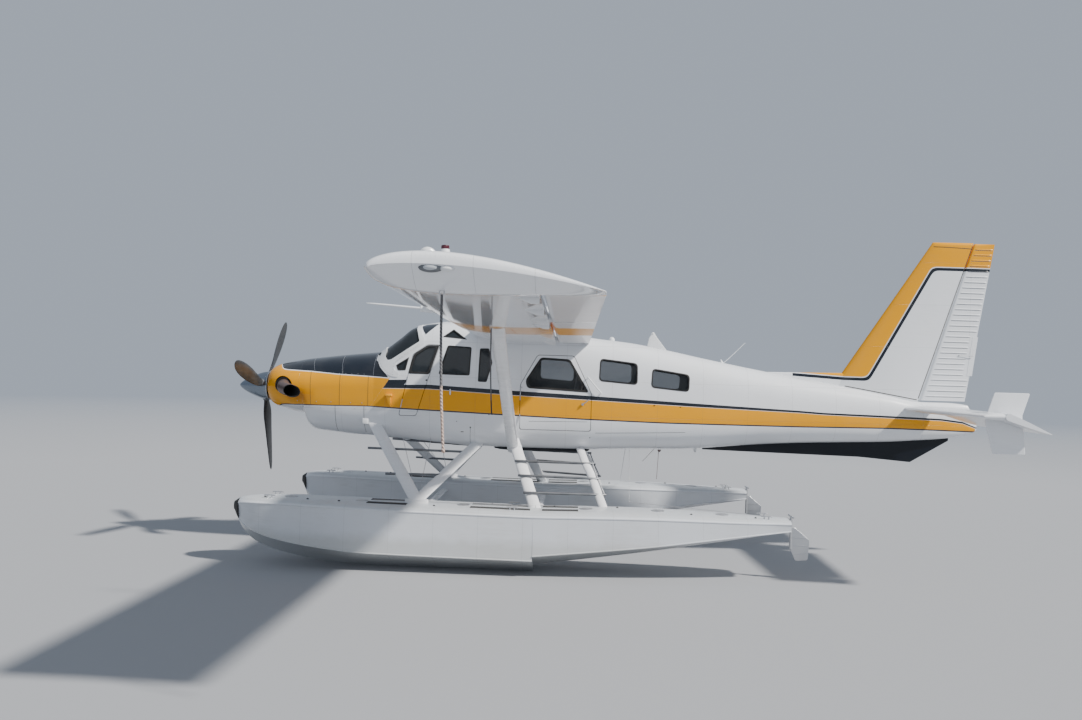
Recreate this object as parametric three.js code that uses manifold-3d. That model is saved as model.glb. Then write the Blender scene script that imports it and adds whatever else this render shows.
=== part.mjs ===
// Twin-float bush aeroplane with a high wing and a turbine nose, in millimetres.
// X runs aft from the spinner tip, Y to starboard and Z up from the float keels.

import * as THREE from 'three';
import { mergeVertices } from 'three/addons/utils/BufferGeometryUtils.js';
import Module from 'manifold-3d';

const wasm = await Module();
wasm.setup();

// Driving dimensions
const HALF_SPAN = 7315;
const SEAM = 0.3;
const PANE_SEAM = 0.4;
const WALL = 40;
const FLOOR_HEIGHT = 1600;
const FIREWALL_X = 2056;
const FIREWALL_THICKNESS = 60;
const CABIN_END_X = 6600;
const TAIL_END_X = 10445;
const RING_POINTS = 28;
const FAR = 2000;

// Fuselage stations: x, half width, bottom, top, waist height, upper and lower roundness
const NOSE_STATIONS = [
  [462, 190, 2060, 2395, 2215, 2.1, 2.1],
  [478, 245, 2010, 2435, 2212, 2.1, 2.1],
  [515, 300, 1960, 2468, 2210, 2.1, 2.1],
  [584, 352, 1918, 2505, 2208, 2.1, 2.1],
  [700, 405, 1880, 2540, 2205, 2.1, 2.1],
  [865, 448, 1838, 2573, 2202, 2.1, 2.15],
  [1033, 475, 1822, 2605, 2200, 2.1, 2.2],
  [1048, 477, 1745, 2607, 2200, 2.1, 2.3],
  [1075, 481, 1672, 2611, 2200, 2.1, 2.45],
  [1120, 486, 1625, 2617, 2200, 2.1, 2.6],
  [1184, 493, 1600, 2626, 2200, 2.1, 2.7],
  [1402, 515, 1578, 2655, 2200, 2.2, 2.9],
  [1714, 543, 1552, 2692, 2200, 2.2, 3.1],
  [2056, 575, 1541, 2728, 2200, 2.3, 3.2],
];

// Line along each side where the lower cowling meets the upper: x and z
const COWL_SPLIT = [[747, 1947], [1250, 1958], [1993, 1971], [2100, 1973]];

// Cabin and tail stations: the same columns
const CABIN_STATIONS = [
  [2056, 575, 1540, 2728, 2200, 2.3, 3.2],
  [2200, 595, 1525, 2835, 2220, 2.5, 3.4],
  [2350, 606, 1516, 2950, 2240, 2.8, 3.7],
  [2548, 612, 1507, 3097, 2250, 3.3, 4.0],
  [2720, 614, 1490, 3134, 2250, 3.7, 4.0],
  [3011, 616, 1466, 3176, 2250, 4.0, 4.0],
  [3400, 616, 1442, 3190, 2250, 4.0, 4.0],
  [4200, 616, 1438, 3165, 2250, 4.0, 4.0],
  [5010, 612, 1444, 3010, 2240, 3.8, 4.0],
  [5600, 596, 1463, 2946, 2230, 3.6, 3.8],
  [6069, 570, 1474, 2867, 2215, 3.4, 3.6],
  [6600, 528, 1505, 2763, 2190, 3.2, 3.4],
  [7427, 428, 1580, 2613, 2130, 2.9, 3.0],
  [7953, 356, 1614, 2527, 2090, 2.7, 2.8],
  [8574, 276, 1640, 2427, 2040, 2.6, 2.6],
  [9175, 204, 1665, 2330, 2000, 2.5, 2.5],
  [9634, 154, 1700, 2246, 1975, 2.4, 2.4],
  [10027, 108, 1737, 2238, 1960, 2.4, 2.4],
  [10320, 62, 1800, 2210, 1950, 2.4, 2.4],
  [10445, 26, 1850, 1960, 1905, 2.2, 2.2],
];

// Side windows in side view, each a list of x and z corners, with their corner radius
const WINDOWS = {
  quarter_window: { radius: 25, corners: [[2366, 2544], [2538, 2654], [2496, 2478], [2394, 2474]] },
  upper_window: { radius: 25, corners: [[2996, 2950], [3133, 3056], [3320, 2924]] },
  side_window_1: { radius: 55, corners: [[3070, 2833], [3394, 2816], [3378, 2432], [2955, 2437]] },
  side_window_2: { radius: 45, corners: [[3512, 2803], [3632, 2806], [3684, 2612], [3612, 2350], [3497, 2352]] },
  side_window_3: { radius: 60, corners: [[5154, 2713], [5664, 2659], [5665, 2368], [5143, 2407]] },
  side_window_4: { radius: 60, corners: [[5866, 2597], [6376, 2524], [6368, 2292], [5852, 2338]] },
};
const MID_WINDOW = { radius: 60, corners: [[4300, 2735], [4810, 2715], [4810, 2370], [4290, 2405]] };
const WINDSCREEN = [[2092, 2640], [2190, 2588], [2290, 2606], [2668, 2872], [2560, 3068], [2500, 3300], [1900, 3000], [1900, 2760]];
const WINDSCREEN_POST_HALF = 26;
const ROOF_WINDOW = { x: [2640, 2985], half: 250 };
const PANE_OUTER = 10;
const PANE_INNER = 22;

// Plate under the belly, flat below
const BELLY_PANEL = { x: [3700, 5050], half: 290, z: [1404, 1475] };

// Doors in side view, with the gap all round
const CREW_DOOR = [[2592, 2704], [2791, 2843], [2966, 2841], [2812, 2353], [2662, 1857], [2415, 1855]];
const CREW_GLASS = { radius: 30, corners: [[2622, 2690], [2800, 2812], [2926, 2812], [2812, 2450], [2560, 2452]] };
const CABIN_DOOR = [[4073, 1715], [4073, 2330], [4300, 2740], [4800, 2740], [5050, 2230], [5050, 1715]];
const CABIN_GLASS = { radius: 45, corners: [[4353, 2690], [4735, 2673], [4984, 2260], [4181, 2297], [4160, 2384]] };
const DOOR_GAP = 13;
const SILL_RADIUS = 35;

// Door hinges on the front edge: the edge's two ends, distance from the centreline, and each knuckle's place
const CREW_HINGE = { edge: [CREW_DOOR[5], CREW_DOOR[0]], y: 613, shares: [0.2, 0.57] };
const CABIN_HINGE = { edge: [CABIN_DOOR[0], CABIN_DOOR[1]], y: 618, shares: [0.25, 0.75] };
const KNUCKLE = { radius: 6, length: 60, tabReach: 22, tabRoot: 588 };

// Wing: constant chord, with the root raised on the cabin roof
const WING = {
  leading: 3393,
  trailing: 4993,
  rootY: 300,
  tipRibY: 7200,
  tipZ: 3154,
  dihedral: Math.tan(THREE.MathUtils.degToRad(1)),
  incidence: Math.tan(THREE.MathUtils.degToRad(4.4)),
  thickness: 0.16,
  camber: 0.024,
};
const WING_HINGE_X = 4625;
const CONTROL_GAP = 9;
const FLAP_SPAN = [700, 4560];
const AILERON_SPAN = [4600, 7060];
const FOIL_STEPS = [0.004, 0.03, 0.09, 0.19, 0.32, 0.47, 0.62, 0.8];

// Tail surfaces
const FIN = { footZ: 2616, topZ: 4488, leading: [8570, 9795], trailing: [10342, 10654], thickness: [0.09, 0.085] };
const RUDDER_HINGE = { low: [9683, 2260], high: [10365, 4412] };
const RUDDER_BOTTOM_Z = 2262;
const RUDDER_TOP_Z = 4478;
const RUDDER_PIN_Z = [2222, 2300];
const RUDDER_PIN_RADIUS = 12;
const RUDDER_PIN_PLAY = 0.8;
const DORSAL_START_X = 7500;
const TAIL_HINGE = { x: 9800, z: 2140 };
const TAILPLANE = { half: 2410, leading: [9388, 9515], trailing: [10345, 10318], thickness: [0.115, 0.1] };
const ELEVATOR_DROOP = THREE.MathUtils.degToRad(21);
const ELEVATOR_TUBE_RADIUS = 16;
const TUBE_HOLE_RADIUS = 17;
const FINLET_Y = 2100;
const FINLET_THICKNESS = 16;
const FINLET = [[9757, 2418], [10171, 2418], [10085, 2150], [10129, 1693], [9752, 1693], [9700, 1900], [9651, 2088]];
const VENTRAL = [[6640, 1600], [6640, 1478], [8835, 1442], [9543, 1390], [10068, 1707], [10068, 1850]];
const VENTRAL_THICKNESS = 26;

// Float stations: x, keel, chine height, chine half beam, gunwale height, gunwale half width, deck height
const FLOAT_Y = 1490;
const FLOAT_STEP_X = 4350;
const FLOAT_END_X = 7530;
const FLOAT_STATIONS = [
  [545, 600, 640, 40, 720, 70, 770],
  [620, 430, 545, 120, 755, 150, 815],
  [800, 260, 440, 225, 772, 245, 832],
  [1150, 130, 350, 330, 780, 330, 836],
  [1700, 38, 275, 400, 770, 385, 826],
  [2300, 0, 230, 430, 757, 412, 812],
  [FLOAT_STEP_X, 0, 205, 440, 732, 418, 787],
  [FLOAT_STEP_X + 6, 78, 262, 440, 732, 418, 787],
  [5700, 275, 405, 400, 745, 385, 806],
  [6900, 480, 560, 290, 730, 300, 780],
  [FLOAT_END_X, 590, 630, 180, 722, 200, 764],
];
const RUDDER_POST = { x: FLOAT_END_X + 34, radius: 18 };

// Propeller
const PROP_AXIS_Z = 2200;
const PROP_HUB_X = 372;
const SPINNER_BASE_X = 450;
const SPINNER_PROFILE = [[0, 0], [12, 24], [50, 58], [110, 96], [180, 130], [260, 163], [350, 192], [450, 205]];
const BLADE_ANGLES = [13.3, 133.3, 253.3];

// Blade stations: reach, chord, thickness and the angle out of the disc in degrees
const BLADE_STATIONS = [
  [20, 70, 64, 16],
  [120, 70, 64, 16],
  [230, 110, 46, 16],
  [400, 196, 34, 14],
  [600, 222, 27, 6],
  [800, 226, 22, 1],
  [1000, 208, 17, -2],
  [1150, 172, 12, -3],
  [1250, 116, 8, -3],
  [1300, 50, 5, -3],
];
const SHAFT_RADIUS = 60;

// Engine, one plain block with its two exhaust stubs
const ENGINE = { x: [610, FIREWALL_X - SEAM], half: 220, z: [2010, 2410] };
const EXHAUST = { root: [660, 170, 2275], knee: [850, 600, 2165], end: [985, 750, 2136], radius: 82, bore: 72, hole: 106 };
const COWL_WALL = 22;

// Struts: streamlined tubes given by their two ends on the port side
const WING_STRUT = { low: [4000, -520, 1415], high: [3983, -3560, 2966], chord: 150, thickness: 60 };
const FRONT_FOOT = [2850, -1490, 830];
const FRONT_SHOE = { depth: 700, chord: 300, thickness: 90 };
const FRONT_TOP_FORE = [2030, -440, 1780];
const FRONT_TOP_AFT = [3500, -400, 1500];
const FRONT_STRUT = { chord: 160, thickness: 60 };
const REAR_STRUT = { high: [3990, -510, 1600], low: [4390, -1540, 700], chord: 150, thickness: 60 };
const LADDER = { high: [4840, -600, 1594], low: [5270, -1340, 676], chord: 108, thickness: 48, rungRadius: 14 };

// Ladder rungs, each from beside the rear strut to a little behind the ladder's pole
const LADDER_RUNGS = [
  [[4045, -909, 1318], [5100, -825, 1305]],
  [[4105, -1110, 1150], [5170, -975, 1122]],
  [[4195, -1342, 958], [5262, -1112, 932]],
];
const SPREADER = { stations: [2850, 4370], z: 640, chord: 110, thickness: 50 };

// Tie-down ropes under the port wing: y, top x and z, then the free length
const ROPES = {
  rope_outer: { top: [3901, -7100, 3002], length: 1050, radius: 10, lean: 40 },
  rope_inner: { top: [3932, -3700, 2942], length: 890, radius: 8, lean: 30 },
};

// Paints and finishes: colour, roughness, metalness
const PAINT = {
  white: [0xe6e9ec, 0.3, 0],
  yellow: [0xf4a70c, 0.3, 0],
  black: [0x14171d, 0.5, 0],
  grey: [0xaeb4b8, 0.5, 0],
  steel: [0xb9bdc2, 0.25, 1],
  dark: [0x2b2d31, 0.6, 0.2],
  glass: [0x3c4a55, 0.08, 0],
  trim: [0x6c6459, 0.8, 0],
  rope: [0xb59c74, 0.9, 0],
};

const aeroplane = new THREE.Group();

// Adds one finished piece to the aeroplane
function addPiece(name, shape, paint) {
  const geometry = shape.isBufferGeometry ? shape : geometryOf(shape);
  const [color, roughness, metalness] = PAINT[paint];
  const mesh = new THREE.Mesh(geometry, new THREE.MeshStandardMaterial({ color, roughness, metalness }));
  mesh.name = name;
  aeroplane.add(mesh);
}

// Turns a closed geometry into a solid that can be joined and cut
function solid(geometry) {
  const bare = geometry.clone();
  bare.deleteAttribute('normal');
  bare.deleteAttribute('uv');
  const welded = mergeVertices(bare, 1e-3);
  const vertProperties = new Float32Array(welded.attributes.position.array);
  const triVerts = new Uint32Array(welded.index.array);
  return new wasm.Manifold(new wasm.Mesh({ numProp: 3, vertProperties, triVerts }));
}

function geometryOf(body) {
  const mesh = body.getMesh();
  const geometry = new THREE.BufferGeometry();
  geometry.setAttribute('position', new THREE.BufferAttribute(Float32Array.from(mesh.vertProperties), 3));
  geometry.setIndex(new THREE.BufferAttribute(Uint32Array.from(mesh.triVerts), 1));
  geometry.computeVertexNormals();
  return geometry;
}

// The same solid on the other side of the aeroplane
function mirrored(body) {
  const geometry = geometryOf(body);
  geometry.scale(1, -1, 1);
  const index = geometry.index.array;
  for (let i = 0; i < index.length; i += 3) {
    [index[i], index[i + 1]] = [index[i + 1], index[i]];
  }
  return solid(geometry);
}

// Adds a port piece and its starboard twin
function addPair(name, body, paint) {
  addPiece(`${name}_left`, body, paint);
  addPiece(`${name}_right`, mirrored(body), paint);
}

// Skins closed rings of points, each ring with the same number of points, and closes both ends
function loft(rings) {
  const count = rings[0].length;
  const points = rings.flat();
  const index = [];
  for (let ring = 0; ring < rings.length - 1; ring += 1) {
    for (let i = 0; i < count; i += 1) {
      const a = ring * count + i;
      const b = ring * count + ((i + 1) % count);
      index.push(a, b, b + count, a, b + count, a + count);
    }
  }
  for (const ring of [0, rings.length - 1]) {
    const centre = [0, 1, 2].map((axis) => rings[ring].reduce((sum, p) => sum + p[axis], 0) / count);
    const hub = points.push(centre) - 1;
    for (let i = 0; i < count; i += 1) {
      const a = ring * count + i;
      const b = ring * count + ((i + 1) % count);
      index.push(hub, ring === 0 ? b : a, ring === 0 ? a : b);
    }
  }
  if (signedVolume(points, index) < 0) {
    index.reverse();
  }
  const geometry = new THREE.BufferGeometry();
  geometry.setAttribute('position', new THREE.Float32BufferAttribute(points.flat(), 3));
  geometry.setIndex(index);
  return solid(geometry);
}

function signedVolume(points, index) {
  let sum = 0;
  for (let i = 0; i < index.length; i += 3) {
    const [a, b, c] = [0, 1, 2].map((k) => new THREE.Vector3(...points[index[i + k]]));
    sum += a.dot(b.cross(c));
  }
  return sum;
}

// A convex ring grown outwards by a margin, to cut a seat with a gap
function swell(ring, margin) {
  const spans = [0, 1, 2].map((axis) => {
    const values = ring.map((point) => point[axis]);
    const [low, high] = [Math.min(...values), Math.max(...values)];
    return { middle: (low + high) / 2, scale: high - low > 1 ? 1 + (2 * margin) / (high - low) : 1 };
  });
  return ring.map((point) => point.map((value, axis) => {
    const { middle, scale } = spans[axis];
    return middle + (value - middle) * scale;
  }));
}

function box(x, y, z) {
  const geometry = new THREE.BoxGeometry(x[1] - x[0], y[1] - y[0], z[1] - z[0]);
  geometry.translate((x[0] + x[1]) / 2, (y[0] + y[1]) / 2, (z[0] + z[1]) / 2);
  return solid(geometry);
}

// A flat outline with its corners rounded
function roundedShape(corners, radius) {
  const shape = new THREE.Shape();
  const points = corners.map((corner) => new THREE.Vector2(...corner));
  points.forEach((corner, i) => {
    const before = points[(i + points.length - 1) % points.length];
    const after = points[(i + 1) % points.length];
    const reach = Math.min(radius, corner.distanceTo(before) / 2.2, corner.distanceTo(after) / 2.2);
    const start = corner.clone().lerp(before, reach / corner.distanceTo(before));
    const end = corner.clone().lerp(after, reach / corner.distanceTo(after));
    if (i === 0) {
      shape.moveTo(start.x, start.y);
    } else {
      shape.lineTo(start.x, start.y);
    }
    shape.quadraticCurveTo(corner.x, corner.y, end.x, end.y);
  });
  shape.closePath();
  return shape;
}

// A side-view outline of x and z corners, drawn out from one y to the other
function sidePrism(corners, y, radius = 0) {
  const shape = radius > 0
    ? roundedShape(corners, radius)
    : new THREE.Shape(corners.map((corner) => new THREE.Vector2(...corner)));
  const geometry = new THREE.ExtrudeGeometry(shape, { depth: y[1] - y[0], bevelEnabled: false, curveSegments: 3 });
  geometry.rotateX(Math.PI / 2);
  geometry.translate(0, y[1], 0);
  return solid(geometry);
}

// A convex outline moved inwards by a distance all round
function insetOutline(corners, distance) {
  const points = corners.map((corner) => new THREE.Vector2(...corner));
  const turn = Math.sign(THREE.ShapeUtils.area(points));
  const lines = points.map((start, i) => {
    const along = points[(i + 1) % points.length].clone().sub(start).normalize();
    const inward = new THREE.Vector2(-along.y, along.x).multiplyScalar(turn * distance);
    return { start: start.clone().add(inward), along };
  });
  return lines.map((line, i) => {
    const before = lines[(i + lines.length - 1) % lines.length];
    const gap = line.start.clone().sub(before.start);
    const reach = gap.cross(line.along) / before.along.cross(line.along);
    const corner = before.start.clone().addScaledVector(before.along, reach);
    return [corner.x, corner.y];
  });
}

// Fuselage section at one station, moved inwards by an inset
function stationRing(stations, x, inset) {
  const last = stations.findIndex((row) => row[0] >= x);
  const high = Math.max(last, 1);
  const share = (x - stations[high - 1][0]) / (stations[high][0] - stations[high - 1][0]);
  const [, half, bottom, top, waist, upper, lower] = stations[high].map(
    (value, column) => THREE.MathUtils.lerp(stations[high - 1][column], value, share),
  );
  const ring = [];
  for (let i = 0; i < RING_POINTS; i += 1) {
    const angle = (2 * Math.PI * i) / RING_POINTS;
    const [across, rise] = [Math.cos(angle), Math.sin(angle)];
    const roundness = rise >= 0 ? upper : lower;
    const reach = rise >= 0 ? top - waist : waist - bottom;
    const y = Math.sign(across) * (half - inset) * Math.abs(across) ** (2 / roundness);
    const z = waist + Math.sign(rise) * (reach - inset) * Math.abs(rise) ** (2 / roundness);
    ring.push([x, y, z]);
  }
  return ring;
}

// Fuselage body between two stations
function hull(stations, from, to, inset) {
  const between = stations.map((row) => row[0]).filter((x) => x > from && x < to);
  return loft([from, ...between, to].map((x) => stationRing(stations, x, inset)));
}

// A streamlined bar between two points, its chord along X
function bar(low, high, chord, thickness, steps = 12) {
  const start = new THREE.Vector3(...low);
  const end = new THREE.Vector3(...high);
  const along = end.clone().sub(start).normalize();
  const fore = Math.abs(along.x) > 0.95 ? new THREE.Vector3(0, 0, 1) : new THREE.Vector3(1, 0, 0);
  fore.addScaledVector(along, -fore.dot(along)).normalize();
  const side = along.clone().cross(fore);
  const ringAt = (centre) => Array.from({ length: steps }, (_, i) => {
    const angle = (2 * Math.PI * i) / steps;
    return centre.clone()
      .addScaledVector(fore, (chord / 2) * Math.cos(angle))
      .addScaledVector(side, (thickness / 2) * Math.sin(angle))
      .toArray();
  });
  return loft([ringAt(start), ringAt(end)]);
}

// Half thickness of a lifting section, as a share of its chord
function foilHalf(share, thickness) {
  const f = Math.min(Math.max(share, 0), 1);
  const root = 0.2969 * Math.sqrt(f) - 0.126 * f - 0.3516 * f ** 2 + 0.2843 * f ** 3 - 0.1015 * f ** 4;
  return 5 * thickness * root + 0.0022 * f;
}

// Height of a lifting section's middle line, as a share of its chord
function foilCamber(share, camber) {
  return 4 * camber * share * (1 - share);
}

// One closed section from the leading edge to a cut or to the trailing edge
function foilRing(station, place) {
  const { leading, trailing, thickness, camber = 0, cut = trailing } = station;
  const chord = trailing - leading;
  const xs = [...FOIL_STEPS, 1].map((f) => leading + f * (cut - leading));
  const at = (x, side) => {
    const share = (x - leading) / chord;
    return place(x, chord * (foilCamber(share, camber) + side * foilHalf(share, thickness)));
  };
  return [...xs.map((x) => at(x, 1)).reverse(), place(leading, 0), ...xs.map((x) => at(x, -1))];
}

// One closed section of a moving surface, its nose round about the hinge
function controlRing(station, hinge, place, stretch = 1) {
  const { leading, trailing, thickness, camber = 0 } = station;
  const chord = trailing - leading;
  const middle = (x) => chord * foilCamber((x - leading) / chord, camber);
  const half = (x) => chord * foilHalf((x - leading) / chord, thickness);
  const nose = half(hinge);
  const ring = [];
  for (let i = 0; i <= 8; i += 1) {
    const angle = Math.PI / 2 + (Math.PI * i) / 8;
    ring.push(place(hinge + stretch * nose * Math.cos(angle), middle(hinge) + nose * Math.sin(angle)));
  }
  const aft = [0.35, 0.7, 1].map((f) => hinge + f * (trailing - hinge));
  aft.forEach((x) => ring.push(place(x, middle(x) - half(x))));
  aft.reverse().forEach((x) => ring.push(place(x, middle(x) + half(x))));
  return ring;
}

// Fuselage, cowling and tail cone
function skinPiece(corners, radius, side, outer, inner) {
  const xs = corners.map((corner) => corner[0]);
  const from = Math.max(Math.min(...xs) - 60, FIREWALL_X);
  const to = Math.min(Math.max(...xs) + 60, CABIN_END_X);
  const skin = hull(CABIN_STATIONS, from, to, outer).subtract(hull(CABIN_STATIONS, from - 1, to + 1, inner));
  return skin.intersect(sidePrism(corners, side, radius));
}

const PORT = [-900, -120];

// One half of a door's hinges: knuckles on the hinge line with their tabs, on the shell or on the door
function hingeHalf({ edge, y, shares }, onDoor) {
  const [low, high] = edge.map((corner) => new THREE.Vector2(...corner));
  const along = high.clone().sub(low).normalize();
  const aft = new THREE.Vector2(along.y, -along.x);
  const { radius, length, tabReach, tabRoot } = KNUCKLE;
  const halves = shares.map((share) => {
    const foot = low.clone().lerp(high, share).addScaledVector(aft, DOOR_GAP / 2);
    const [from, to] = onDoor ? [SEAM, length] : [-length, 0];
    const [start, end] = [from, to].map((reach) => foot.clone().addScaledVector(along, reach));
    const offset = aft.clone().multiplyScalar(onDoor ? tabReach : -tabReach);
    const tab = [start, end, end.clone().add(offset), start.clone().add(offset)].map((corner) => corner.toArray());
    return bar([start.x, -y, start.y], [end.x, -y, end.y], 2 * radius, 2 * radius, 10)
      .add(sidePrism(tab, [-y - 3, -tabRoot]));
  });
  return halves[0].add(halves[1]);
}

function buildCabin() {
  let room = hull(CABIN_STATIONS, FIREWALL_X + FIREWALL_THICKNESS, CABIN_END_X - WALL, WALL);
  room = room.subtract(box([0, TAIL_END_X], [-FAR, FAR], [0, FLOOR_HEIGHT]));
  let shell = hull(CABIN_STATIONS, FIREWALL_X, CABIN_END_X, 0).subtract(room);
  for (const { corners, radius } of Object.values(WINDOWS)) {
    shell = shell.subtract(sidePrism(corners, [-900, 900], radius));
  }
  shell = shell.subtract(sidePrism(CREW_DOOR, [-900, -200], SILL_RADIUS));
  shell = shell.subtract(sidePrism(CREW_DOOR, [200, 900], SILL_RADIUS));
  shell = shell.subtract(sidePrism(CABIN_DOOR, PORT, SILL_RADIUS));
  shell = shell.subtract(sidePrism(MID_WINDOW.corners, [200, 900], MID_WINDOW.radius));
  for (const side of [[-900, -WINDSCREEN_POST_HALF], [WINDSCREEN_POST_HALF, 900]]) {
    shell = shell.subtract(sidePrism(WINDSCREEN, side, 20));
  }
  const { x, half } = ROOF_WINDOW;
  shell = shell.subtract(box(x, [-half, half], [3000, 3400]));
  const crewKnuckles = hingeHalf(CREW_HINGE, false);
  shell = shell.add(crewKnuckles).add(mirrored(crewKnuckles)).add(hingeHalf(CABIN_HINGE, false));
  addPiece('cabin_shell', shell, 'white');
  const { x: panelX, half: panelHalf, z: panelZ } = BELLY_PANEL;
  const panel = box(panelX, [-panelHalf, panelHalf], panelZ)
    .subtract(hull(CABIN_STATIONS, FIREWALL_X, CABIN_END_X, -SEAM));
  addPiece('belly_panel', panel, 'dark');
}

function buildWindows() {
  for (const [name, { corners, radius }] of Object.entries(WINDOWS)) {
    addPair(name, skinPiece(insetOutline(corners, PANE_SEAM), radius, PORT, PANE_OUTER, PANE_INNER), 'glass');
  }
  const middle = skinPiece(insetOutline(MID_WINDOW.corners, PANE_SEAM), MID_WINDOW.radius, [200, 900], PANE_OUTER, PANE_INNER);
  addPiece('mid_window_right', middle, 'glass');
  const screen = skinPiece(
    insetOutline(WINDSCREEN, PANE_SEAM), 20, [-900, -WINDSCREEN_POST_HALF - PANE_SEAM], PANE_OUTER, PANE_INNER,
  );
  addPair('windscreen', screen, 'glass');
  const { x, half } = ROOF_WINDOW;
  const roof = hull(CABIN_STATIONS, x[0] + PANE_SEAM, x[1] - PANE_SEAM, PANE_OUTER)
    .subtract(hull(CABIN_STATIONS, x[0] - 1, x[1] + 1, PANE_INNER))
    .intersect(box(x, [-half + PANE_SEAM, half - PANE_SEAM], [3000, 3400]));
  addPiece('roof_window', roof, 'glass');
}

function buildDoors() {
  const crew = skinPiece(insetOutline(CREW_DOOR, DOOR_GAP), SILL_RADIUS, PORT, 0, WALL);
  const crewHole = sidePrism(CREW_GLASS.corners, PORT, CREW_GLASS.radius);
  addPair('crew_door', crew.subtract(crewHole).add(hingeHalf(CREW_HINGE, true)), 'white');
  const crewPane = skinPiece(insetOutline(CREW_GLASS.corners, PANE_SEAM), CREW_GLASS.radius, PORT, PANE_OUTER, PANE_INNER);
  addPair('crew_door_glass', crewPane, 'glass');
  const cabin = skinPiece(insetOutline(CABIN_DOOR, DOOR_GAP), SILL_RADIUS, PORT, 0, WALL);
  const cabinHole = sidePrism(CABIN_GLASS.corners, PORT, CABIN_GLASS.radius);
  addPiece('cabin_door', cabin.subtract(cabinHole).add(hingeHalf(CABIN_HINGE, true)), 'white');
  const cabinPane = skinPiece(insetOutline(CABIN_GLASS.corners, PANE_SEAM), CABIN_GLASS.radius, PORT, PANE_OUTER, PANE_INNER);
  addPiece('cabin_door_glass', cabinPane, 'glass');
}

// The space below the line where the two cowlings meet
function belowSplit(margin) {
  const line = COWL_SPLIT.map(([x, z]) => [x, z + margin]);
  line[0][0] -= margin;
  return sidePrism([...line, [line.at(-1)[0], 0], [line[0][0], 0]], [-FAR, FAR]);
}

// A point given for starboard, taken to either side
function onSide([x, y, z], side) {
  return [x, side * y, z];
}

function buildNose() {
  const rear = FIREWALL_X - SEAM;
  const [front] = NOSE_STATIONS[0];
  let shell = hull(NOSE_STATIONS, front, rear, 0);
  shell = shell.subtract(hull(NOSE_STATIONS, front, FIREWALL_X, COWL_WALL).translate([COWL_WALL, 0, 0]));
  shell = shell.subtract(bar([300, 0, PROP_AXIS_Z], [600, 0, PROP_AXIS_Z], 230, 230, 20));
  for (const side of [-1, 1]) {
    const hole = bar(onSide(EXHAUST.root, side), onSide(EXHAUST.knee, side), 2 * EXHAUST.hole, 2 * EXHAUST.hole, 20);
    shell = shell.subtract(hole);
  }
  const slot = bar(FRONT_FOOT, FRONT_TOP_FORE, FRONT_STRUT.chord + 8, FRONT_STRUT.thickness + 8);
  shell = shell.subtract(slot).subtract(mirrored(slot));
  addPiece('cowl_upper', shell.subtract(belowSplit(SEAM)), 'yellow');
  addPiece('cowl_lower', shell.intersect(belowSplit(0)), 'white');
}

// A round pipe through three points, its outlet cut square to the aircraft's side
function stack(side, radius, from) {
  const [root, knee, end] = [EXHAUST.root, EXHAUST.knee, EXHAUST.end].map(
    (point) => new THREE.Vector3(...onSide(point, side)),
  );
  const lap = 0.2 * radius;
  const start = root.clone().lerp(knee, from);
  const inner = knee.clone().sub(root).setLength(lap).add(knee);
  const outer = knee.clone().sub(end).setLength(lap).add(knee);
  const past = end.clone().sub(knee).setLength(2 * radius).add(end);
  const [a, b, c, d] = [start, inner, outer, past].map((point) => point.toArray());
  return bar(a, b, 2 * radius, 2 * radius, 20).add(bar(c, d, 2 * radius, 2 * radius, 20));
}

function buildEngine() {
  let engine = box(ENGINE.x, [-ENGINE.half, ENGINE.half], ENGINE.z);
  for (const side of [-1, 1]) {
    engine = engine.add(stack(side, EXHAUST.radius, 0));
    engine = engine.subtract(stack(side, EXHAUST.bore, 0.5));
  }
  const reach = EXHAUST.end[1];
  engine = engine.intersect(box([0, FIREWALL_X], [-reach, reach], [0, 3000]));
  addPiece('engine', engine, 'dark');
}

function buildTailCone() {
  const front = CABIN_END_X + SEAM;
  let cone = hull(CABIN_STATIONS, front, TAIL_END_X, 0);
  cone = cone.subtract(hull(CABIN_STATIONS, front - 1, 9500, 28));
  cone = cone.subtract(bar([TAIL_HINGE.x, -400, TAIL_HINGE.z], [TAIL_HINGE.x, 400, TAIL_HINGE.z], 2 * TUBE_HOLE_RADIUS, 2 * TUBE_HOLE_RADIUS, 16));
  cone = cone.subtract(tailplaneBody(SEAM)).subtract(rudderPin(RUDDER_PIN_PLAY));
  addPiece('tail_cone', cone, 'white');
}

// Wing, flaps and ailerons
function wingPlace(y) {
  const lift = WING.tipZ - (WING.tipRibY - y) * WING.dihedral;
  return (x, n) => [x, -y, lift - (x - WING.leading) * WING.incidence + n];
}

function wingStation(shrink = 0) {
  const chord = WING.trailing - WING.leading;
  return {
    leading: WING.leading + shrink * 0.35 * chord * 0.2,
    trailing: WING.trailing - shrink * 0.2 * chord * 0.2,
    thickness: WING.thickness * (1 - shrink),
    camber: WING.camber,
  };
}

function wingBody(margin = 0) {
  const rows = [[WING.rootY, 0], [WING.tipRibY, 0], [7265, 0.12], [7300, 0.32], [HALF_SPAN, 0.6]];
  return loft(rows.map(([y, shrink]) => swell(foilRing(wingStation(shrink), wingPlace(y)), margin)));
}

function wingHinge(y) {
  const chord = WING.trailing - WING.leading;
  const middle = chord * foilCamber((WING_HINGE_X - WING.leading) / chord, WING.camber);
  const [x, side, z] = wingPlace(y)(WING_HINGE_X, middle);
  return { x, y: side, z, nose: chord * foilHalf((WING_HINGE_X - WING.leading) / chord, WING.thickness) };
}

// The space that a flap or aileron moves in
function controlBay([inner, outer]) {
  const cut = WING_HINGE_X - wingHinge(0).nose - CONTROL_GAP;
  const rings = [inner - CONTROL_GAP, outer + CONTROL_GAP].map((y) => {
    const place = wingPlace(y);
    return [place(cut, 300), place(cut, -300), place(WING.trailing + 200, -300), place(WING.trailing + 200, 300)];
  });
  return loft(rings);
}

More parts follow.
